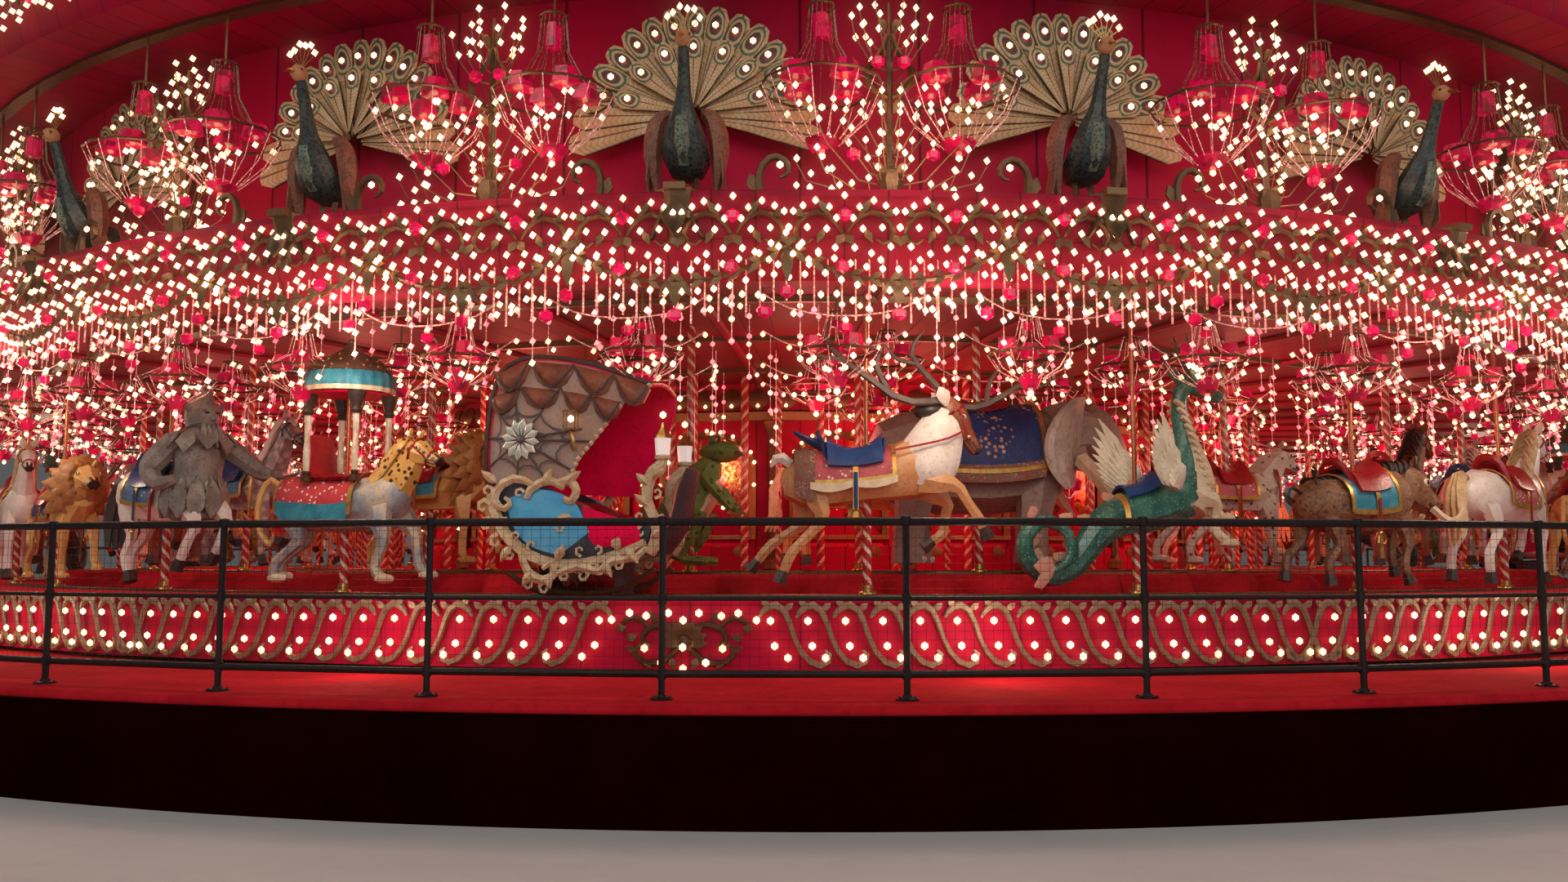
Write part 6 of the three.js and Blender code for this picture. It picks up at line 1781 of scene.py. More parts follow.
def wing(made, finish, root, tip, width, side):
    """Wing of long feathers fanned from the root, with two rows of short ones over them."""
    root, tip = np.array(root, float), np.array(tip, float)
    reach = np.linalg.norm(tip - root)
    lead = math.atan2(tip[2] - root[2], tip[0] - root[0])
    for row, (share, wide) in enumerate(((1.0, 0.085), (0.68, 0.08), (0.42, 0.075))):
        count = 9 - 2 * row
        for k in range(count):
            a = lead + k * width / count
            length = reach * share * (1 - 0.068 * k)
            base = root + np.array([math.cos(a), 0, math.sin(a)]) * 0.04
            end = root + np.array([math.cos(a) * length, side * 0.1 * share, math.sin(a) * length])
            out = -0.012 * (row + 1)
            made.add(finish, leaf(base + [0, out, 0], end + [0, out * 2, 0], wide, (0, out * 1.5, 0),
                (0, 0.01, 0), 5, 2, (-math.sin(a), 0, math.cos(a)), 0.7))


def dragon():
    """Winged sea dragon: horned head, feathered wings, ribbed cream chest and a looped tail."""
    made = Carving()
    scales = "teal_scales"
    path = [[0.52, 0, 0.96, 0.16, 0.2], [0.4, 0, 0.84, 0.21, 0.23], [0.16, 0, 0.72, 0.22, 0.21],
        [-0.08, 0, 0.66, 0.19, 0.18], [-0.3, 0, 0.55, 0.145, 0.145], [-0.46, 0, 0.36, 0.11, 0.11],
        [-0.58, 0, 0.23, 0.1, 0.1], [-0.74, 0.02, 0.16, 0.085, 0.085], [-0.92, 0.03, 0.26, 0.075, 0.075],
        [-0.96, 0.02, 0.46, 0.066, 0.066], [-0.82, -0.04, 0.6, 0.056, 0.056],
        [-0.64, -0.08, 0.5, 0.045, 0.045], [-0.64, -0.1, 0.3, 0.034, 0.034],
        [-0.78, -0.12, 0.2, 0.018, 0.018]]
    made.add(scales, limb(path, 46, 12))
    neck = [(0.4, 0.92, 0.17, 0.2), (0.46, 1.1, 0.13, 0.15), (0.46, 1.3, 0.085, 0.095),
        (0.42, 1.5, 0.062, 0.068), (0.44, 1.66, 0.058, 0.066), (0.52, 1.76, 0.066, 0.074)]
    trunk(made, scales, neck, 20, 12)
    at = head(made, scales, (0.54, 1.77), (0.8, 1.62), 0.088, 0.0, "teal_scales")
    for side in (-1, 1):
        locks(made, "antler", [[[*at(-0.05, 0.8, side * 0.5), 0.026], [*at(-0.45, 1.7, side * 0.9), 0.022],
            [*at(-0.9, 3.2, side * 1.1), 0.007]], [[*at(0.15, 0.9, side * 0.45), 0.018],
            [*at(0.15, 1.9, side * 0.9), 0.014], [*at(0.45, 3.0, side * 1.2), 0.005]],
            [[*at(-0.3, 1.3, side * 0.7), 0.016], [*at(-0.8, 1.6, side * 1.1), 0.012],
            [*at(-1.2, 1.5, side * 1.3), 0.005]]], 9, 7)
        made.add(scales, leaf(at(0.1, 0.2, side * 0.9), at(-0.5, 0.2, side * 1.9), 0.12, (0, 0, 0),
            (0.01, 0, 0), 5, 3, (0, 0, 1)))
        made.add("red_leather", leaf(at(0.6, -0.6, 0), at(1.1, -1.1, side * 0.2), 0.03, (0, 0, 0),
            (0, 0, 0.01), 4, 2, (0, 1, 0)))
    for k in range(12):
        t = k / 11
        x, z, w = 0.66 - 0.16 * t - 0.06 * t * t, 0.8 + 0.74 * t, 0.19 * (1 - 0.62 * t)
        made.add("dragon_belly", limb([[x - 0.1, -w, z + 0.05, 0.02],
            [x - 0.02, -w * 0.75, z + 0.01, 0.026], [x + 0.03 - 0.02 * t, 0, z - 0.01, 0.03],
            [x - 0.02, w * 0.75, z + 0.01, 0.026], [x - 0.1, w, z + 0.05, 0.02]], 9, 6, (1, 0, 0)))
    trunk(made, "dragon_belly", [(0.44, 0.72, 0.2, 0.19), (0.52, 0.88, 0.195, 0.18),
        (0.53, 1.04, 0.155, 0.14), (0.49, 1.24, 0.1, 0.09), (0.44, 1.44, 0.064, 0.06)], 12, 12)
    for y, joints in ((-0.15, [(0.44, 0.84), (0.64, 0.74), (0.62, 0.52), (0.72, 0.44)]),
            (0.15, [(0.44, 0.84), (0.66, 0.86), (0.78, 0.68), (0.88, 0.66)])):
        leg(made, "dragon_belly", "dragon_belly", y, joints, 0.085, True)
        foot = np.array([joints[3][0] + 0.05, y, joints[3][1]])
        made.add("hoof_black", *[limb([[*(foot + [0.04, s * 0.035, 0]), 0.012],
            [*(foot + [0.11, s * 0.045, -0.04]), 0.003]], 3, 5) for s in (-1, 0, 1)])
    wing(made, "wing_cream", (0.28, -0.23, 0.82), (0.06, -0.31, 1.46), 0.85, -1)
    wing(made, "wing_cream", (0.18, 0.2, 0.86), (-0.16, 0.3, 1.46), 0.92, 1)
    spine = smooth(path, 60)
    for k in range(11):
        place = int((0.12 + 0.07 * k) * 59)
        spot = spine[place]
        along = unit(spot[:3] - spine[place - 1, :3])
        up = np.cross([0, 1, 0], along)
        up = up * np.sign(up[2] + 0.3)
        base = spot[:3] + up * spot[4] * 0.8
        made.add("fin_pink", leaf(base, base + up * 0.1 + along * 0.05, 0.1, (0, 0, 0), (0, 0.01, 0), 4, 3,
            along, 0.4))
    for s in (-1, 1):
        made.add("fin_pink", leaf((-0.76, -0.12, 0.22), (-0.96, -0.14, 0.16 + s * 0.08), 0.13, (0, 0, 0),
            (0, 0.012, 0), 6, 3, (0, 0, 1)))
    back = [(x, z, w, h) for x, _, z, w, h in path[4::-1]]
    made.add("blue_leather", wrap(back, -0.14, 0.14, (-50, 50), 0.02, 6, 9, 0.05, 0.02))
    made.add("gold_trim", wrap(back, -0.19, -0.15, (-110, 110), 0.02, 2, 15))
    return made


def tusked_beast():
    """Bristled boar with long tusks."""
    made = Carving()
    coat = "boar_coat"
    body = [(-0.62, 0.8, 0.07, 0.08), (-0.54, 0.78, 0.18, 0.2), (-0.34, 0.76, 0.235, 0.24),
        (0.0, 0.76, 0.25, 0.26), (0.32, 0.82, 0.25, 0.29), (0.52, 0.86, 0.18, 0.22),
        (0.62, 0.88, 0.1, 0.12)]
    trunk(made, coat, body)
    at = head(made, coat, (0.6, 0.98), (1.02, 0.74), 0.17, 0.07, "dark_nose", 0.9)
    for side in (-1, 1):
        made.add("ivory", limb([[*at(0.74, -0.4, side * 0.5), 0.036], [*at(0.9, -0.7, side * 0.95), 0.034],
            [*at(1.12, -0.5, side * 1.15), 0.03], [*at(1.2, 0.3, side * 1.15), 0.022],
            [*at(1.06, 0.9, side * 1.05), 0.006]], 12, 7))
    hair(made, "dark_hair", [(0.6, 1.16, 0.04), (0.3, 1.12, 0.06), (-0.1, 1.02, 0.06),
        (-0.46, 0.98, 0.05)], 0.1, 0.08, 15, -0.6)
    for y, joints in ((-0.14, [(0.4, 0.72), (0.48, 0.44), (0.42, 0.24), (0.45, 0.17)]),
            (0.14, [(0.4, 0.72), (0.62, 0.52), (0.6, 0.32), (0.62, 0.24)]),
            (-0.14, [(-0.42, 0.7), (-0.34, 0.42), (-0.48, 0.26), (-0.47, 0.17)]),
            (0.14, [(-0.44, 0.7), (-0.5, 0.44), (-0.66, 0.3), (-0.68, 0.2)])):
        leg(made, coat, "hoof_black", y, joints, 0.082)
    locks(made, "dark_hair", [[[-0.6, 0, 0.84, 0.02], [-0.72, 0, 0.9, 0.016], [-0.76, 0, 0.82, 0.016],
        [-0.7, 0, 0.78, 0.02]]], 10, 6)
    harness(made, body, -0.3, 0.24, "teal_cloth", "red_leather", tall=0.05)
    return made


LION_BODY = [(-0.64, 0.84, 0.06, 0.07), (-0.54, 0.8, 0.15, 0.17), (-0.32, 0.77, 0.175, 0.185),
    (0.0, 0.76, 0.175, 0.18), (0.3, 0.78, 0.19, 0.205), (0.48, 0.84, 0.17, 0.19), (0.6, 0.92, 0.11, 0.13)]


def lion(coat="gold_coat", mane="lion_mane", cloth="navy_cloth", ruff=True):
    """Striding lion; its ruff is three rings of leaves about the neck. Without it, this is a cat."""
    made = Carving()
    trunk(made, coat, LION_BODY)
    trunk(made, coat, [(0.42, 0.88, 0.15, 0.18), (0.56, 1.02, 0.13, 0.15), (0.64, 1.1, 0.11, 0.12)], 8, 10)
    head(made, coat, (0.64, 1.13), (0.9, 1.02), 0.115, 0.06, "dark_nose", 1.05)
    if ruff:
        for row, (back, reach, count) in enumerate(((0.0, 0.21, 13), (0.08, 0.27, 15), (0.18, 0.3, 15))):
            for k in range(count):
                a = 2 * math.pi * (k + 0.5 * (row % 2)) / count
                root = np.array([0.64 - back, 0.085 * math.sin(a), 1.1 + 0.09 * math.cos(a) - back * 0.6])
                tip = root + [-0.09, reach * 0.8 * math.sin(a), reach * math.cos(a) - 0.05]
                made.add(mane, leaf(root, tip, 0.13, (0.05, 0.02 * math.sin(a), 0.02 * math.cos(a)),
                    (-0.02, 0, 0), 6, 3, (0, math.cos(a), -math.sin(a)), 0.5))
    for y, joints in ((-0.12, [(0.42, 0.78), (0.48, 0.48), (0.46, 0.22), (0.5, 0.14)]),
            (0.12, [(0.42, 0.78), (0.6, 0.54), (0.66, 0.3), (0.72, 0.22)]),
            (-0.13, [(-0.46, 0.76), (-0.36, 0.48), (-0.58, 0.26), (-0.56, 0.14)]),
            (0.13, [(-0.48, 0.76), (-0.52, 0.48), (-0.74, 0.28), (-0.76, 0.16)])):
        leg(made, coat, coat, y, joints, 0.086, True)
    locks(made, coat, [[[-0.62, 0, 0.88, 0.03], [-0.78, -0.02, 0.92, 0.026], [-0.9, -0.03, 0.74, 0.024],
        [-0.92, -0.04, 0.52, 0.022], [-0.84, -0.05, 0.44, 0.02]]], 14, 7)
    if ruff:
        locks(made, mane, [[[-0.86, -0.05, 0.46, 0.02], [-0.8, -0.05, 0.42, 0.045],
            [-0.74, -0.05, 0.46, 0.006]]], 6, 7)
    harness(made, LION_BODY, -0.3, 0.22, cloth, "red_leather")
    return made


def cat():
    """Spotted cat with a collar."""
    made = lion("snow_spots", "snow_spots", "rose_cloth", False)
    made.add("red_leather", wrap(LION_BODY, 0.5, 0.54, (-150, 150), 0.012, 2, 20))
    return made


def elephant():
    """Elephant with spread ears, tusks, a raised trunk and fringed cloths."""
    made = Carving()
    coat = "elephant_coat"
    body = [(-0.98, 1.0, 0.14, 0.18), (-0.86, 1.02, 0.34, 0.38), (-0.5, 1.02, 0.43, 0.47),
        (0.0, 1.01, 0.45, 0.48), (0.45, 1.06, 0.41, 0.47), (0.72, 1.14, 0.3, 0.38), (0.84, 1.18, 0.2, 0.28)]
    trunk(made, coat, body, 18, 16)
    trunk(made, coat, [(0.7, 1.24, 0.25, 0.3), (0.92, 1.3, 0.27, 0.3), (1.1, 1.26, 0.24, 0.27),
        (1.24, 1.14, 0.17, 0.19), (1.34, 0.96, 0.12, 0.13), (1.42, 0.74, 0.095, 0.1),
        (1.46, 0.54, 0.075, 0.08), (1.54, 0.42, 0.06, 0.065), (1.62, 0.44, 0.05, 0.055)], 30, 14)
    for side in (-1, 1):
        u, v = np.linspace(0, 1, 11), np.linspace(0, 1, 10)[:, None]
        reach = 0.44 * np.sin(np.pi * (0.12 + 0.8 * v)) ** 0.6
        x = 0.94 - 0.1 * v - reach * u
        out = 0.26 + 0.26 * np.sin(np.pi * u * 0.55) + 0.02 * np.sin(u * 26.0) * u - 0.05 * v
        flap = np.stack([x, side * out, 1.6 - 0.8 * v - 0.06 * u + 0 * x], -1)
        made.add("elephant_ear", board(flap, np.array([0.0, -side * 0.02, 0.0])))
        made.add("ivory", limb([[0.86, side * 0.32, 1.02, 0.075], [0.93, side * 0.52, 0.86, 0.072],
            [1.02, side * 0.6, 0.7, 0.06], [1.15, side * 0.6, 0.55, 0.016]], 14, 9))
        made.add(coat, limb([[0.88, side * 0.18, 1.1, 0.1], [0.91, side * 0.27, 0.96, 0.082]], 4, 9))
        made.add("black_paint", ball([1.16, side * 0.205, 1.27], [0.022, 0.016, 0.02], 8, 4))
    for x in (-0.62, 0.5):
        for side in (-1, 1):
            shift = 0.1 * side
            made.add(coat, limb([[x, side * 0.2, 0.9, 0.19, 0.24],
                [x + shift * 0.5, side * 0.23, 0.6, 0.155, 0.17],
                [x + shift, side * 0.23, 0.3, 0.13, 0.135], [x + shift, side * 0.23, 0.13, 0.145, 0.15],
                [x + shift, side * 0.23, 0.1, 0.15, 0.155]], 10, 12, tip=0.02))
            made.add("ivory", *[ball([x + shift + 0.12 + 0.02 * (k == 0), side * 0.23 + 0.07 * k, 0.13],
                [0.035, 0.035, 0.035], 6, 3) for k in (-1, 0, 1)])
    made.add("navy_cloth", wrap(body, -0.56, 0.48, (-100, 100), 0.018, 12, 21))
    for low, high in ((-112, -96), (96, 112)):
        made.add("garland", wrap(body, -0.57, 0.49, (low, high), 0.03, 20, 4, scallops=9))
        made.add("gold_trim", wrap(body, -0.57, 0.49, (low + (8 if low < 0 else -2),
            low + (12 if low < 0 else 2)), 0.04, 12, 2))
    for x in (-0.58, 0.48):
        made.add("gold_trim", wrap(body, x - 0.02, x + 0.025, (-108, 108), 0.03, 2, 21))
    made.add("red_leather", wrap(body, -0.26, 0.2, (-34, 34), 0.04, 7, 9, 0.05, 0.03))
    made.add("garland", moved(ball([0, 0, 0], [0.12, 0.2, 0.14], 12, 6), (1.02, 0, 1.48)))
    locks(made, coat, [[[-1.0, 0, 1.1, 0.04], [-1.1, 0, 0.86, 0.028], [-1.08, 0, 0.6, 0.018]]], 8, 6)
    return made


def frog():
    """Sitting frog in a waistcoat, with a saddle behind."""
    made = Carving()
    coat = "frog_coat"
    trunk(made, coat, [(-0.26, 0.36, 0.17, 0.13), (-0.14, 0.5, 0.23, 0.2), (0.02, 0.7, 0.21, 0.19),
        (0.14, 0.9, 0.16, 0.15), (0.2, 1.02, 0.13, 0.1)], 14, 12)
    trunk(made, "ivory", [(-0.06, 0.44, 0.13, 0.1), (0.1, 0.62, 0.15, 0.12), (0.22, 0.84, 0.11, 0.09)], 8, 10)
    made.add(coat, ball([0.28, 0, 1.1], [0.2, 0.19, 0.1], 14, 7))
    made.add("dark_line", limb([[0.22, -0.185, 1.08, 0.008], [0.46, -0.06, 1.075, 0.008],
        [0.46, 0.06, 1.075, 0.008], [0.22, 0.185, 1.08, 0.008]], 11, 4))
    for side in (-1, 1):
        made.add(coat, ball([0.24, side * 0.11, 1.19], [0.06, 0.055, 0.06], 9, 5))
        made.add("brass", ball([0.265, side * 0.135, 1.2], [0.04, 0.036, 0.042], 8, 4))
        made.add("black_paint", ball([0.285, side * 0.158, 1.205], [0.02, 0.018, 0.026], 6, 3))
        locks(made, coat, [[[-0.16, side * 0.18, 0.42, 0.09], [0.12, side * 0.28, 0.54, 0.085],
            [0.02, side * 0.26, 0.28, 0.06], [-0.1, side * 0.24, 0.15, 0.045],
            [0.2, side * 0.26, 0.11, 0.04]], [[0.14, side * 0.16, 0.88, 0.055],
            [0.28, side * 0.24, 0.72, 0.045], [0.4, side * 0.2, 0.58, 0.034]]], 16, 8)
        made.add(coat, *[limb([[0.4, side * 0.2, 0.58, 0.016], [0.48, side * (0.2 + 0.04 * k), 0.54,
            0.012]], 3, 5) for k in (-1, 0, 1)])
    made.add("blue_cloth", limb([[-0.1, 0, 0.48, 0.245, 0.215], [-0.02, 0, 0.6, 0.235, 0.21]], 4, 14,
        tip=0.0))
    trunk(made, "red_leather", [(-0.2, 0.72, 0.17, 0.04), (-0.34, 0.78, 0.16, 0.04),
        (-0.4, 0.92, 0.13, 0.03)], 7, 9)
    return made


def sea_horse():
    """Horse before, curled fish tail behind."""
    made = Carving()
    coat = "pale_striped"
    body = [(-0.56, 0.86, 0.12, 0.13), (-0.4, 0.84, 0.17, 0.18), (-0.1, 0.82, 0.2, 0.2),
        (0.2, 0.84, 0.2, 0.21), (0.42, 0.9, 0.17, 0.21), (0.54, 0.96, 0.1, 0.13)]
    trunk(made, coat, body)
    trunk(made, coat, [(-0.44, 0.84, 0.16, 0.17), (-0.62, 0.76, 0.12, 0.12), (-0.8, 0.7, 0.09, 0.09),
        (-0.92, 0.82, 0.07, 0.07), (-0.86, 0.98, 0.055, 0.055), (-0.74, 1.0, 0.045, 0.045),
        (-0.7, 0.9, 0.035, 0.035), (-0.77, 0.86, 0.02, 0.02)], 26, 9)
    trunk(made, coat, [(0.34, 0.9, 0.12, 0.2), (0.46, 1.08, 0.095, 0.15), (0.56, 1.24, 0.078, 0.12),
        (0.62, 1.36, 0.065, 0.09)], 10, 10)
    head(made, coat, (0.62, 1.38), (0.85, 1.23), 0.08, 0.1)
    hair(made, "teal_scales", [(0.56, 1.48, 0.04), (0.46, 1.34, 0.05), (0.36, 1.18, 0.07),
        (0.22, 1.08, 0.1)], 0.16, 0.11, 9)
    for y, joints in HORSE_LEGS[:2]:
        leg(made, coat, "teal_scales", y, joints, 0.08)
    for s in (-1, 1):
        for root, tip, width in (((-0.72, s * 0.02, 0.9), (-0.6, s * 0.16, 1.14), 0.18),
                ((-0.3, s * 0.18, 0.86), (-0.52, s * 0.3, 1.06), 0.16)):
            made.add("teal_scales", leaf(root, tip, width, depth=(0, 0.014, 0)))
    harness(made, body, -0.26, 0.2, "blue_cloth", "red_leather")
    return made


# Poles with striped paint, and the rails that the figures' poles stand in

POLE_RADIUS = 0.036
ROD_RADIUS = 0.019
POLE_FOOT_HEIGHT = 0.85


def pole_piece(name, radius_of_ring, azimuths, low, high, radius, finish, *nodes):
    """Straight tubes from low to high; the UV map's u runs once round and v up in metres."""
    sides = 12
    turn = np.radians(azimuths)
    base = np.stack([radius_of_ring * np.sin(turn), -radius_of_ring * np.cos(turn)], -1)
    angle = circle_angles(sides)
    circle = radius * np.stack([np.cos(angle), np.sin(angle)], -1)
    flat = base[:, None, None] + circle
    count = len(base)
    rings = np.concatenate([np.broadcast_to(flat, (count, 2, sides, 2)),
        np.broadcast_to(np.array([low, high])[:, None, None], (count, 2, sides, 1))], -1)
    ends = np.concatenate([np.repeat(base, 2, 0).reshape(count, 2, 2),
        np.tile([[[low], [high]]], (count, 1, 1))], -1)
    points = np.concatenate([rings.reshape(count, -1, 3), ends], 1)
    after = (np.arange(sides) + 1) % sides
    side = np.arange(sides)
    quads = np.stack([side, after, after + sides, side + sides], -1)
    blank = np.full(sides, -1)
    low_fan = np.stack([after, side, blank + 1 + 2 * sides, blank], -1)
    high_fan = np.stack([side + sides, after + sides, blank + 2 + 2 * sides, blank], -1)
    surface = spread(points, np.concatenate([quads, low_fan, high_fan]))
    made = piece(name, plain(finish, surface), "carousel", "barber_pole", *nodes, sharp=50)
    u, length = np.arange(sides) / sides, high - low
    wall = np.stack([u, 0 * u, u + 1 / sides, 0 * u, u + 1 / sides, 0 * u + length, u, 0 * u + length], -1)
    caps = np.zeros((2 * sides, 6))
    one = np.concatenate([wall.ravel(), caps.ravel()])
    layer = made.data.uv_layers.new(name="stripes")
    layer.data.foreach_set("uv", np.tile(one, count).astype(np.float32))
    return made


def quarters(azimuths):
    """Each azimuth and the three places a quarter, a half and three quarters of a turn on from it."""
    return (np.atleast_1d(azimuths)[:, None] + around(4)).ravel()


OUTER_A = {"centaur": -31.1, "howdah": -19.85, "chariot": -8.6, "stag": 2.65}
OUTER_B = {"dragon": 13.9, "boar": 25.15, "horse": 36.4, "lion": 47.65}
SECOND = {"horse": -35.7, "lion": -20.7, "frog": -5.7, "elephant": 9.3, "cat": 24.3, "dark_horse": 39.3}
INNER = {"sea_horse": -25.6, "horse": 4.4, "cat": 34.4}


def poles():
    """Every pole and post from its floor to the ceiling, the floor rails, and a foot round each pole."""
    outer = numbered("outer_row", 8)
    second, inner = numbered("second_row", 4), numbered("inner_row", 4)
    outer_azimuths = quarters([a for k, a in {**OUTER_A, **OUTER_B}.items() if k != "chariot"])
    second_azimuths, inner_azimuths = quarters(list(SECOND.values())), quarters(list(INNER.values()))
    pole_piece("outer_poles_low", OUTER_ROW, outer_azimuths, DECK_FOOT, DECK_TOP + POLE_FOOT_HEIGHT,
        POLE_RADIUS, "barber_stripe", *outer)
    pole_piece("outer_rods", OUTER_ROW, outer_azimuths, DECK_TOP + POLE_FOOT_HEIGHT, POLE_TOP, ROD_RADIUS,
        "copper_rod", *outer)
    for name, radius_of_ring, azimuths, radius, finish, nodes in (("second_poles", SECOND_ROW,
            second_azimuths, POLE_RADIUS, "barber_stripe", second),
            ("inner_poles", INNER_ROW, inner_azimuths, POLE_RADIUS, "gold_stripe", inner),
            ("inner_posts", 6.75, around(48, 2.0), 0.045, "gold_stripe", inner),
            ("middle_posts", 7.3, around(48, 5.6), 0.034, "barber_stripe", inner)):
        pole_piece(name, radius_of_ring, azimuths, STEP_FOOT, POLE_TOP, radius, finish, *nodes)
    rails = Carving()
    for radius, low in ((OUTER_ROW, DECK_FOOT), (SECOND_ROW, STEP_FOOT), (INNER_ROW, STEP_FOOT)):
        rails.add("dark_bronze", turned([[radius - 0.06, low], [radius + 0.06, low],
            [radius + 0.055, low + 0.016], [radius + 0.04, low + 0.02], [radius - 0.04, low + 0.02],
            [radius - 0.055, low + 0.016]], 120))
    foot = plain("brass", turned([[0, 0.02], [0.075, 0.02], [0.07, 0.035], [0.048, 0.045], [0.044, 0.09],
        [0, 0.09]], 12))
    for radius, azimuths, floor in ((OUTER_ROW, outer_azimuths, DECK_TOP),
            (SECOND_ROW, second_azimuths, STEP_TOP), (INNER_ROW, inner_azimuths, STEP_TOP)):
        rails.take(foot, ring(radius, azimuths, floor))
    piece("floor_rails", rails, "carousel", "aged_gilt", *outer, *second, *inner)


def figures():
    """Every kind of figure, made once and set four times round; the inner rows are made less finely."""
    global fineness
    fineness = 0.75
    outer_a, outer_b = numbered("outer_row", 8, 1, 2), numbered("outer_row", 8, 2, 2)
    second, inner = numbered("second_row", 4), numbered("inner_row", 4)
    outer = {"centaur": centaur(), "howdah": howdah_beast(), "chariot": chariot(), "stag": stag(),
        "dragon": dragon(), "boar": tusked_beast(), "horse": horse(), "lion": lion()}
    fineness = 0.52
    middle = {"horse": horse("dapple_coat", "white_coat", "blue_cloth", "blue_leather"),
        "lion": lion(cloth="teal_cloth"), "frog": frog(), "elephant": elephant(), "cat": cat(),
        "dark_horse": horse("bay_coat", "dark_hair", "striped_cloth", "red_leather")}
    inmost = {"sea_horse": sea_horse(), "cat": cat(), "horse": horse("gold_coat", "cream_hair",
        "navy_cloth", "red_leather")}
    fineness = 1.0
    for row, radius, floor, azimuths, nodes, kinds in (("outer", OUTER_ROW, DECK_TOP, OUTER_A, outer_a,
            outer), ("outer", OUTER_ROW, DECK_TOP, OUTER_B, outer_b, outer),
            ("second", SECOND_ROW, STEP_TOP, SECOND, second, middle),
            ("inner", INNER_ROW, STEP_TOP, INNER, inner, inmost)):
        for kind, azimuth in azimuths.items():
            whole = Carving().take(kinds[kind], ring(radius, quarters(azimuth), floor))
            piece(f"{row}_{kind}", whole, "carousel", "painted_hide", *nodes)


# Centre housing: arched mirror bays between gilt pilasters, under a lit frieze

def housing_bay():
    """One bay, 15 degrees wide: x along the wall, y inward, z up from the step."""
    made = Carving()
    half = HOUSING_RADIUS * math.tan(math.radians(7.5))
    a = np.radians(np.linspace(-90, 90, 15))
    arch = [[-0.56, 0.42], *[[0.56 * math.sin(t), 1.22 + 0.42 * math.cos(t)] for t in a], [0.56, 0.42]]
    made.add("aged_gilt", limb([[x, -0.015, z, 0.03, 0.045] for x, z in arch], 20, 4))
    sheet = np.array([[[x * s, 0.012, 0.42 if s == 0 else z] for s in (0.0, 1.0)] for x, z in arch])
    sheet[:, 0] = [0.0, 0.012, 0.9]
    made.add("mirror_panel", board(sheet, np.array([0, 0.01, 0])))
    made.add("aged_gilt", box((0, -0.01, 0.4), (1.2, 0.07, 0.05)))
    made.add("crimson_lining", box((0, -0.005, 0.21), (1.05, 0.04, 0.24)))
    for x in np.linspace(-0.42, 0.42, 4):
        made.add("aged_gilt", leaf((x, -0.03, 0.12), (x, -0.045, 0.31), 0.17, (0, -0.015, 0),
            (0, 0.016, 0), 4, 2))
    column = [[0, 0.02], [0.13, 0.02], [0.13, 0.12], [0.09, 0.16], [0.075, 0.2], [0.066, 1.6],
        [0.08, 1.64], [0.12, 1.74], [0.13, 1.8], [0, 1.8]]
    made.add("aged_gilt", moved(turned(column, 8), (half, 0.02, 0)))
    made.add("aged_gilt", box((0, -0.03, 1.86), (2 * half, 0.12, 0.1)))
    for k in range(5):
        x = -half + (k + 0.5) * 2 * half / 5
        made.add("aged_gilt", leaf((x, -0.05, 2.2), (x, -0.1, 1.93), 0.27, (0, -0.04, 0), (0, 0.02, 0), 5,
            3, None, 0.45))
        made.lamp("small", [[x, -0.13, 1.98], [x + half / 5, -0.07, 1.88]])
    for t in np.radians(np.linspace(-100, 100, 13)):
        z = 1.22 + 0.44 * math.cos(t) if abs(t) < math.pi / 2 else 1.0
        made.lamp("small", [[0.6 * math.sin(t), -0.06, z + 0.03]])
    for z in (0.55, 0.8, 1.05, 1.3, 1.55):
        made.lamp("small", [[half, -0.08, z]])
    made.lamp("heart", [[0, -0.1, 1.3], [0.2, -0.1, 1.05], [-0.2, -0.1, 1.05]])
    made.add("crystal", bead_strings(8, [[0.02, 1.5], [0.16, 1.22], [0.12, 1.0], [0.02, 0.92]], 4, 0.006))
    made.add("red_shade", moved(turned([[0, 1.0], [0.08, 1.02], [0.1, 1.14], [0, 1.2]], 8), (0, -0.1, 0)))
    return made


def housing():
    """Turned wall with a bay on each of its 24 sides."""
    top = CEILING - GAP
    wall = turned([[0, STEP_FOOT], [6.19, STEP_FOOT], [6.2, STEP_TOP + 0.28], [6.13, STEP_TOP + 0.3],
        [6.13, top - 0.34], [6.19, top - 0.32], [6.2, top], [0, top]], 144)
    whole = plain("crimson_wall", wall)
    whole.take(housing_bay(), ring(6.14, around(24, 4.4), STEP_TOP))
    piece("housing_bays", whole, "carousel", "crimson_board", "centre_housing")


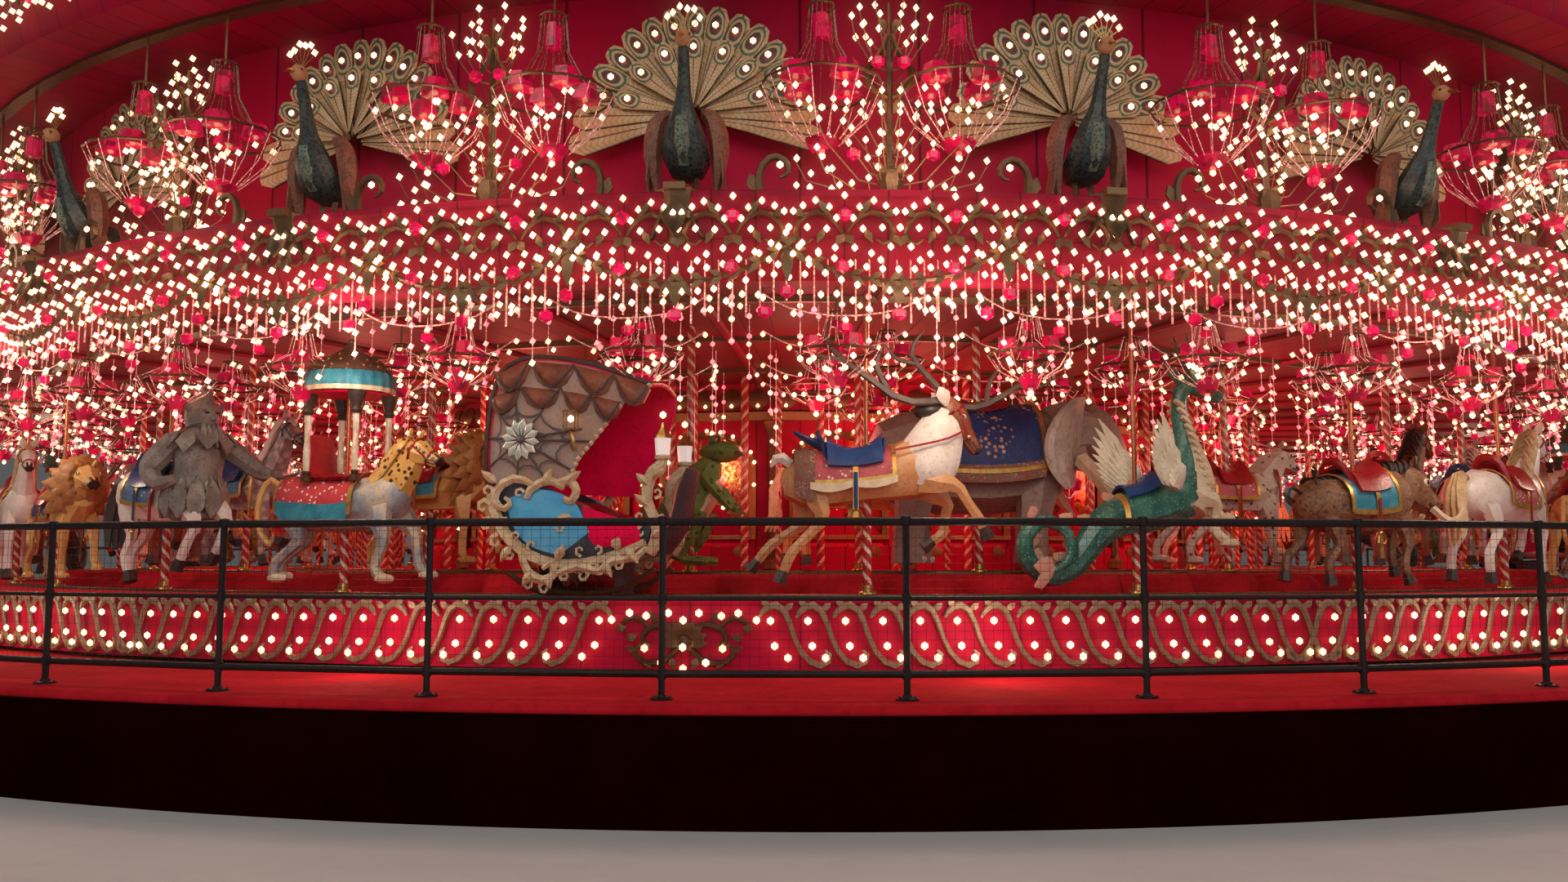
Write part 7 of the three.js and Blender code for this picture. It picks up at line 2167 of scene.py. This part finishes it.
def twinkle():
    """Lamp strings on the ceiling joists, and hanging strings that fill the depth behind the figures."""
    made = Carving()
    hanging = Carving()
    path = [[0.22 * math.sin(t), -0.03, z] for t, z in zip(np.linspace(-1.3, 1.3, 5),
        (-0.1, -0.22, -0.27, -0.22, -0.1))]
    hanging.add("crystal", limb([[x * 3.0, y, z, 0.007] for x, y, z in path], 10, 3))
    hanging.lamp("small", [[x * 3.0, y, z - 0.03] for x, y, z in path])
    hanging.lamp("globe", [[0, -0.03, -0.36]])
    for radius, count in ((11.75, 44), (10.2, 36), (8.4, 30), (7.0, 24)):
        made.take(hanging, ring(radius, around(count, 1.7), CEILING))
    for step, (radius, count, length) in enumerate(((11.9, 144, 0.62), (11.0, 120, 0.8), (9.6, 110, 0.95),
            (8.75, 90, 1.25), (7.3, 72, 1.55))):
        for half in (0, 1):
            drop = Carving()
            low = length * (0.78 if half else 1.0)
            drop.add("crystal", limb([[0, 0, -0.02, 0.0045], [0, 0, -low, 0.0045]], 2, 3, (1, 0, 0)))
            levels = np.arange(low, 0.08, -0.17)
            drop.lamp("small", [[0, 0, -z] for z in levels[half::3]])
            drop.lamp("heart", [[0, 0, -z] for k, z in enumerate(levels) if k % 3 != half])
            at = (np.arange(count // 2) * 2 + half) * 360 / count + 0.8 * step
            made.take(drop, ring(radius, at, CEILING))
    piece("ceiling_garlands", made, "carousel", "crystal")


figures()
poles()
housing()
twinkle()
pivot = bpy.data.objects["centre_pivot"]
pivot.data.materials.clear()
pivot.data.materials.append(FINISHES["black_steel"])


# Lamps, floor and light

def lamp_pieces():
    """One piece for each kind of lamp on each body."""
    for (kind, body), groups in ALL_LAMPS.items():
        shape, finish = LAMPS[kind]
        points = np.concatenate(groups)
        surface = spread(points[:, None] + shape[0], shape[1])
        piece(f"{kind}_lamps_{body}", plain(finish, surface), body, "lamp_glass")


def stage():
    """Plain pale floor."""
    size = 90.0
    mesh = bpy.data.meshes.new("floor")
    mesh.from_pydata([(-size, -size, 0), (size, -size, 0), (size, size, 0), (-size, size, 0)], [],
        [(0, 1, 2, 3)])
    mesh.materials.append(painted("pale_floor", (0.8, 0.79, 0.78), (0.77, 0.76, 0.75), (0.7, 0.7, 0.7),
        0.8, 0.3, 0.7))
    floor = bpy.data.objects.new("floor", mesh)
    bpy.context.scene.collection.objects.link(floor)


def area_light(name, place, target, size, power, colour):
    """Soft disk light aimed at a target: tilt from the fall and the run, turn from the run's x and y."""
    data = bpy.data.lights.new(name, "AREA")
    data.shape = "DISK"
    data.size = size
    data.energy = power
    data.color = colour
    light = bpy.data.objects.new(name, data)
    light.location = place
    direction = np.asarray(target, float) - place
    flat = math.hypot(direction[0], direction[1])
    light.rotation_euler = (math.atan2(flat, -direction[2]), 0.0, math.atan2(-direction[0], direction[1]))
    bpy.context.scene.collection.objects.link(light)


def lamp_glow(name, radius, height, count, power, colour, size, first):
    """The summed light of the small lamps, as soft points round the axis."""
    data = bpy.data.lights.new(name, "POINT")
    data.energy = power
    data.color = colour
    data.shadow_soft_size = size
    for k, a in enumerate(np.radians(around(count, first))):
        light = bpy.data.objects.new(f"{name}_{k}", data)
        light.location = (radius * math.sin(a), -radius * math.cos(a), height)
        bpy.context.scene.collection.objects.link(light)


def lights():
    """Studio lights in front, and the carousel's own glow on each row, the drum, the rim and the skirt."""
    world = bpy.data.worlds.new("studio")
    world.use_nodes = True
    world.node_tree.nodes["Background"].inputs["Color"].default_value = (0.8, 0.78, 0.8, 1)
    world.node_tree.nodes["Background"].inputs["Strength"].default_value = 0.12
    bpy.context.scene.world = world
    for name, place, target, power, colour in (("key", (-16, -32, 20), (0, -10, 1), 1100,
            (1.0, 0.95, 0.9)), ("fill", (18, -30, 12), (0, -10, 1), 600, (1.0, 0.95, 0.92)),
            ("front", (3, -36, 10.0), (0, -11, 2.2), 1100, (1.0, 0.9, 0.8))):
        area_light(name, place, target, 14.0, power, colour)
    for name, radius, height, count, power, colour, size, first in (("front_row", 12.25, 3.1, 16, 35,
            (1.0, 0.8, 0.62), 0.25, 5.6), ("second_row", 9.2, 2.8, 12, 34, (1.0, 0.26, 0.2), 0.3, 0.0),
            ("inner_row", 7.3, 2.7, 10, 55, (1.0, 0.18, 0.12), 0.3, 10.0),
            ("drum", 12.7, 4.55, 24, 16, (1.0, 0.6, 0.42), 0.3, 3.3),
            ("rim", 12.75, 3.45, 36, 5, (1.0, 0.62, 0.46), 0.2, 3.0),
            ("skirt", 12.75, 1.05, 18, 8, (1.0, 0.7, 0.5), 0.2, 6.0)):
        lamp_glow("glow_" + name, radius, height, count, power, colour, size, first)


def glare():
    """A little bloom round the lamps, as a lens gives."""
    scene = bpy.context.scene
    scene.use_nodes = True
    tree = scene.node_tree
    tree.nodes.clear()
    layers = tree.nodes.new("CompositorNodeRLayers")
    bloom = tree.nodes.new("CompositorNodeGlare")
    bloom.glare_type = "BLOOM"
    bloom.quality = "HIGH"
    for label, value in (("Threshold", 1.6), ("Smoothness", 0.3), ("Strength", 0.22), ("Size", 0.14),
            ("Saturation", 1.0), ("Maximum", 6.0)):
        bloom.inputs[label].default_value = value
    bloom.inputs["Clamp"].default_value = True
    output = tree.nodes.new("CompositorNodeComposite")
    tree.links.new(layers.outputs["Image"], bloom.inputs["Image"])
    tree.links.new(bloom.outputs["Image"], output.inputs["Image"])


def view_settings():
    """Plain tones; lamp glass, and the crystal with its painted glow, shine without being sampled as a light.
    """
    scene = bpy.context.scene
    scene.view_settings.view_transform = "Standard"
    scene.cycles.use_denoising = True
    scene.cycles.sample_clamp_indirect = 3.0
    scene.cycles.max_bounces = 5
    for name in ("warm_bulb", "rose_bulb", "red_globe", "red_shade", "crystal", "lantern_glass"):
        FINISHES[name].cycles.emission_sampling = "NONE"


glare()
lamp_pieces()
stage()
lights()
view_settings()
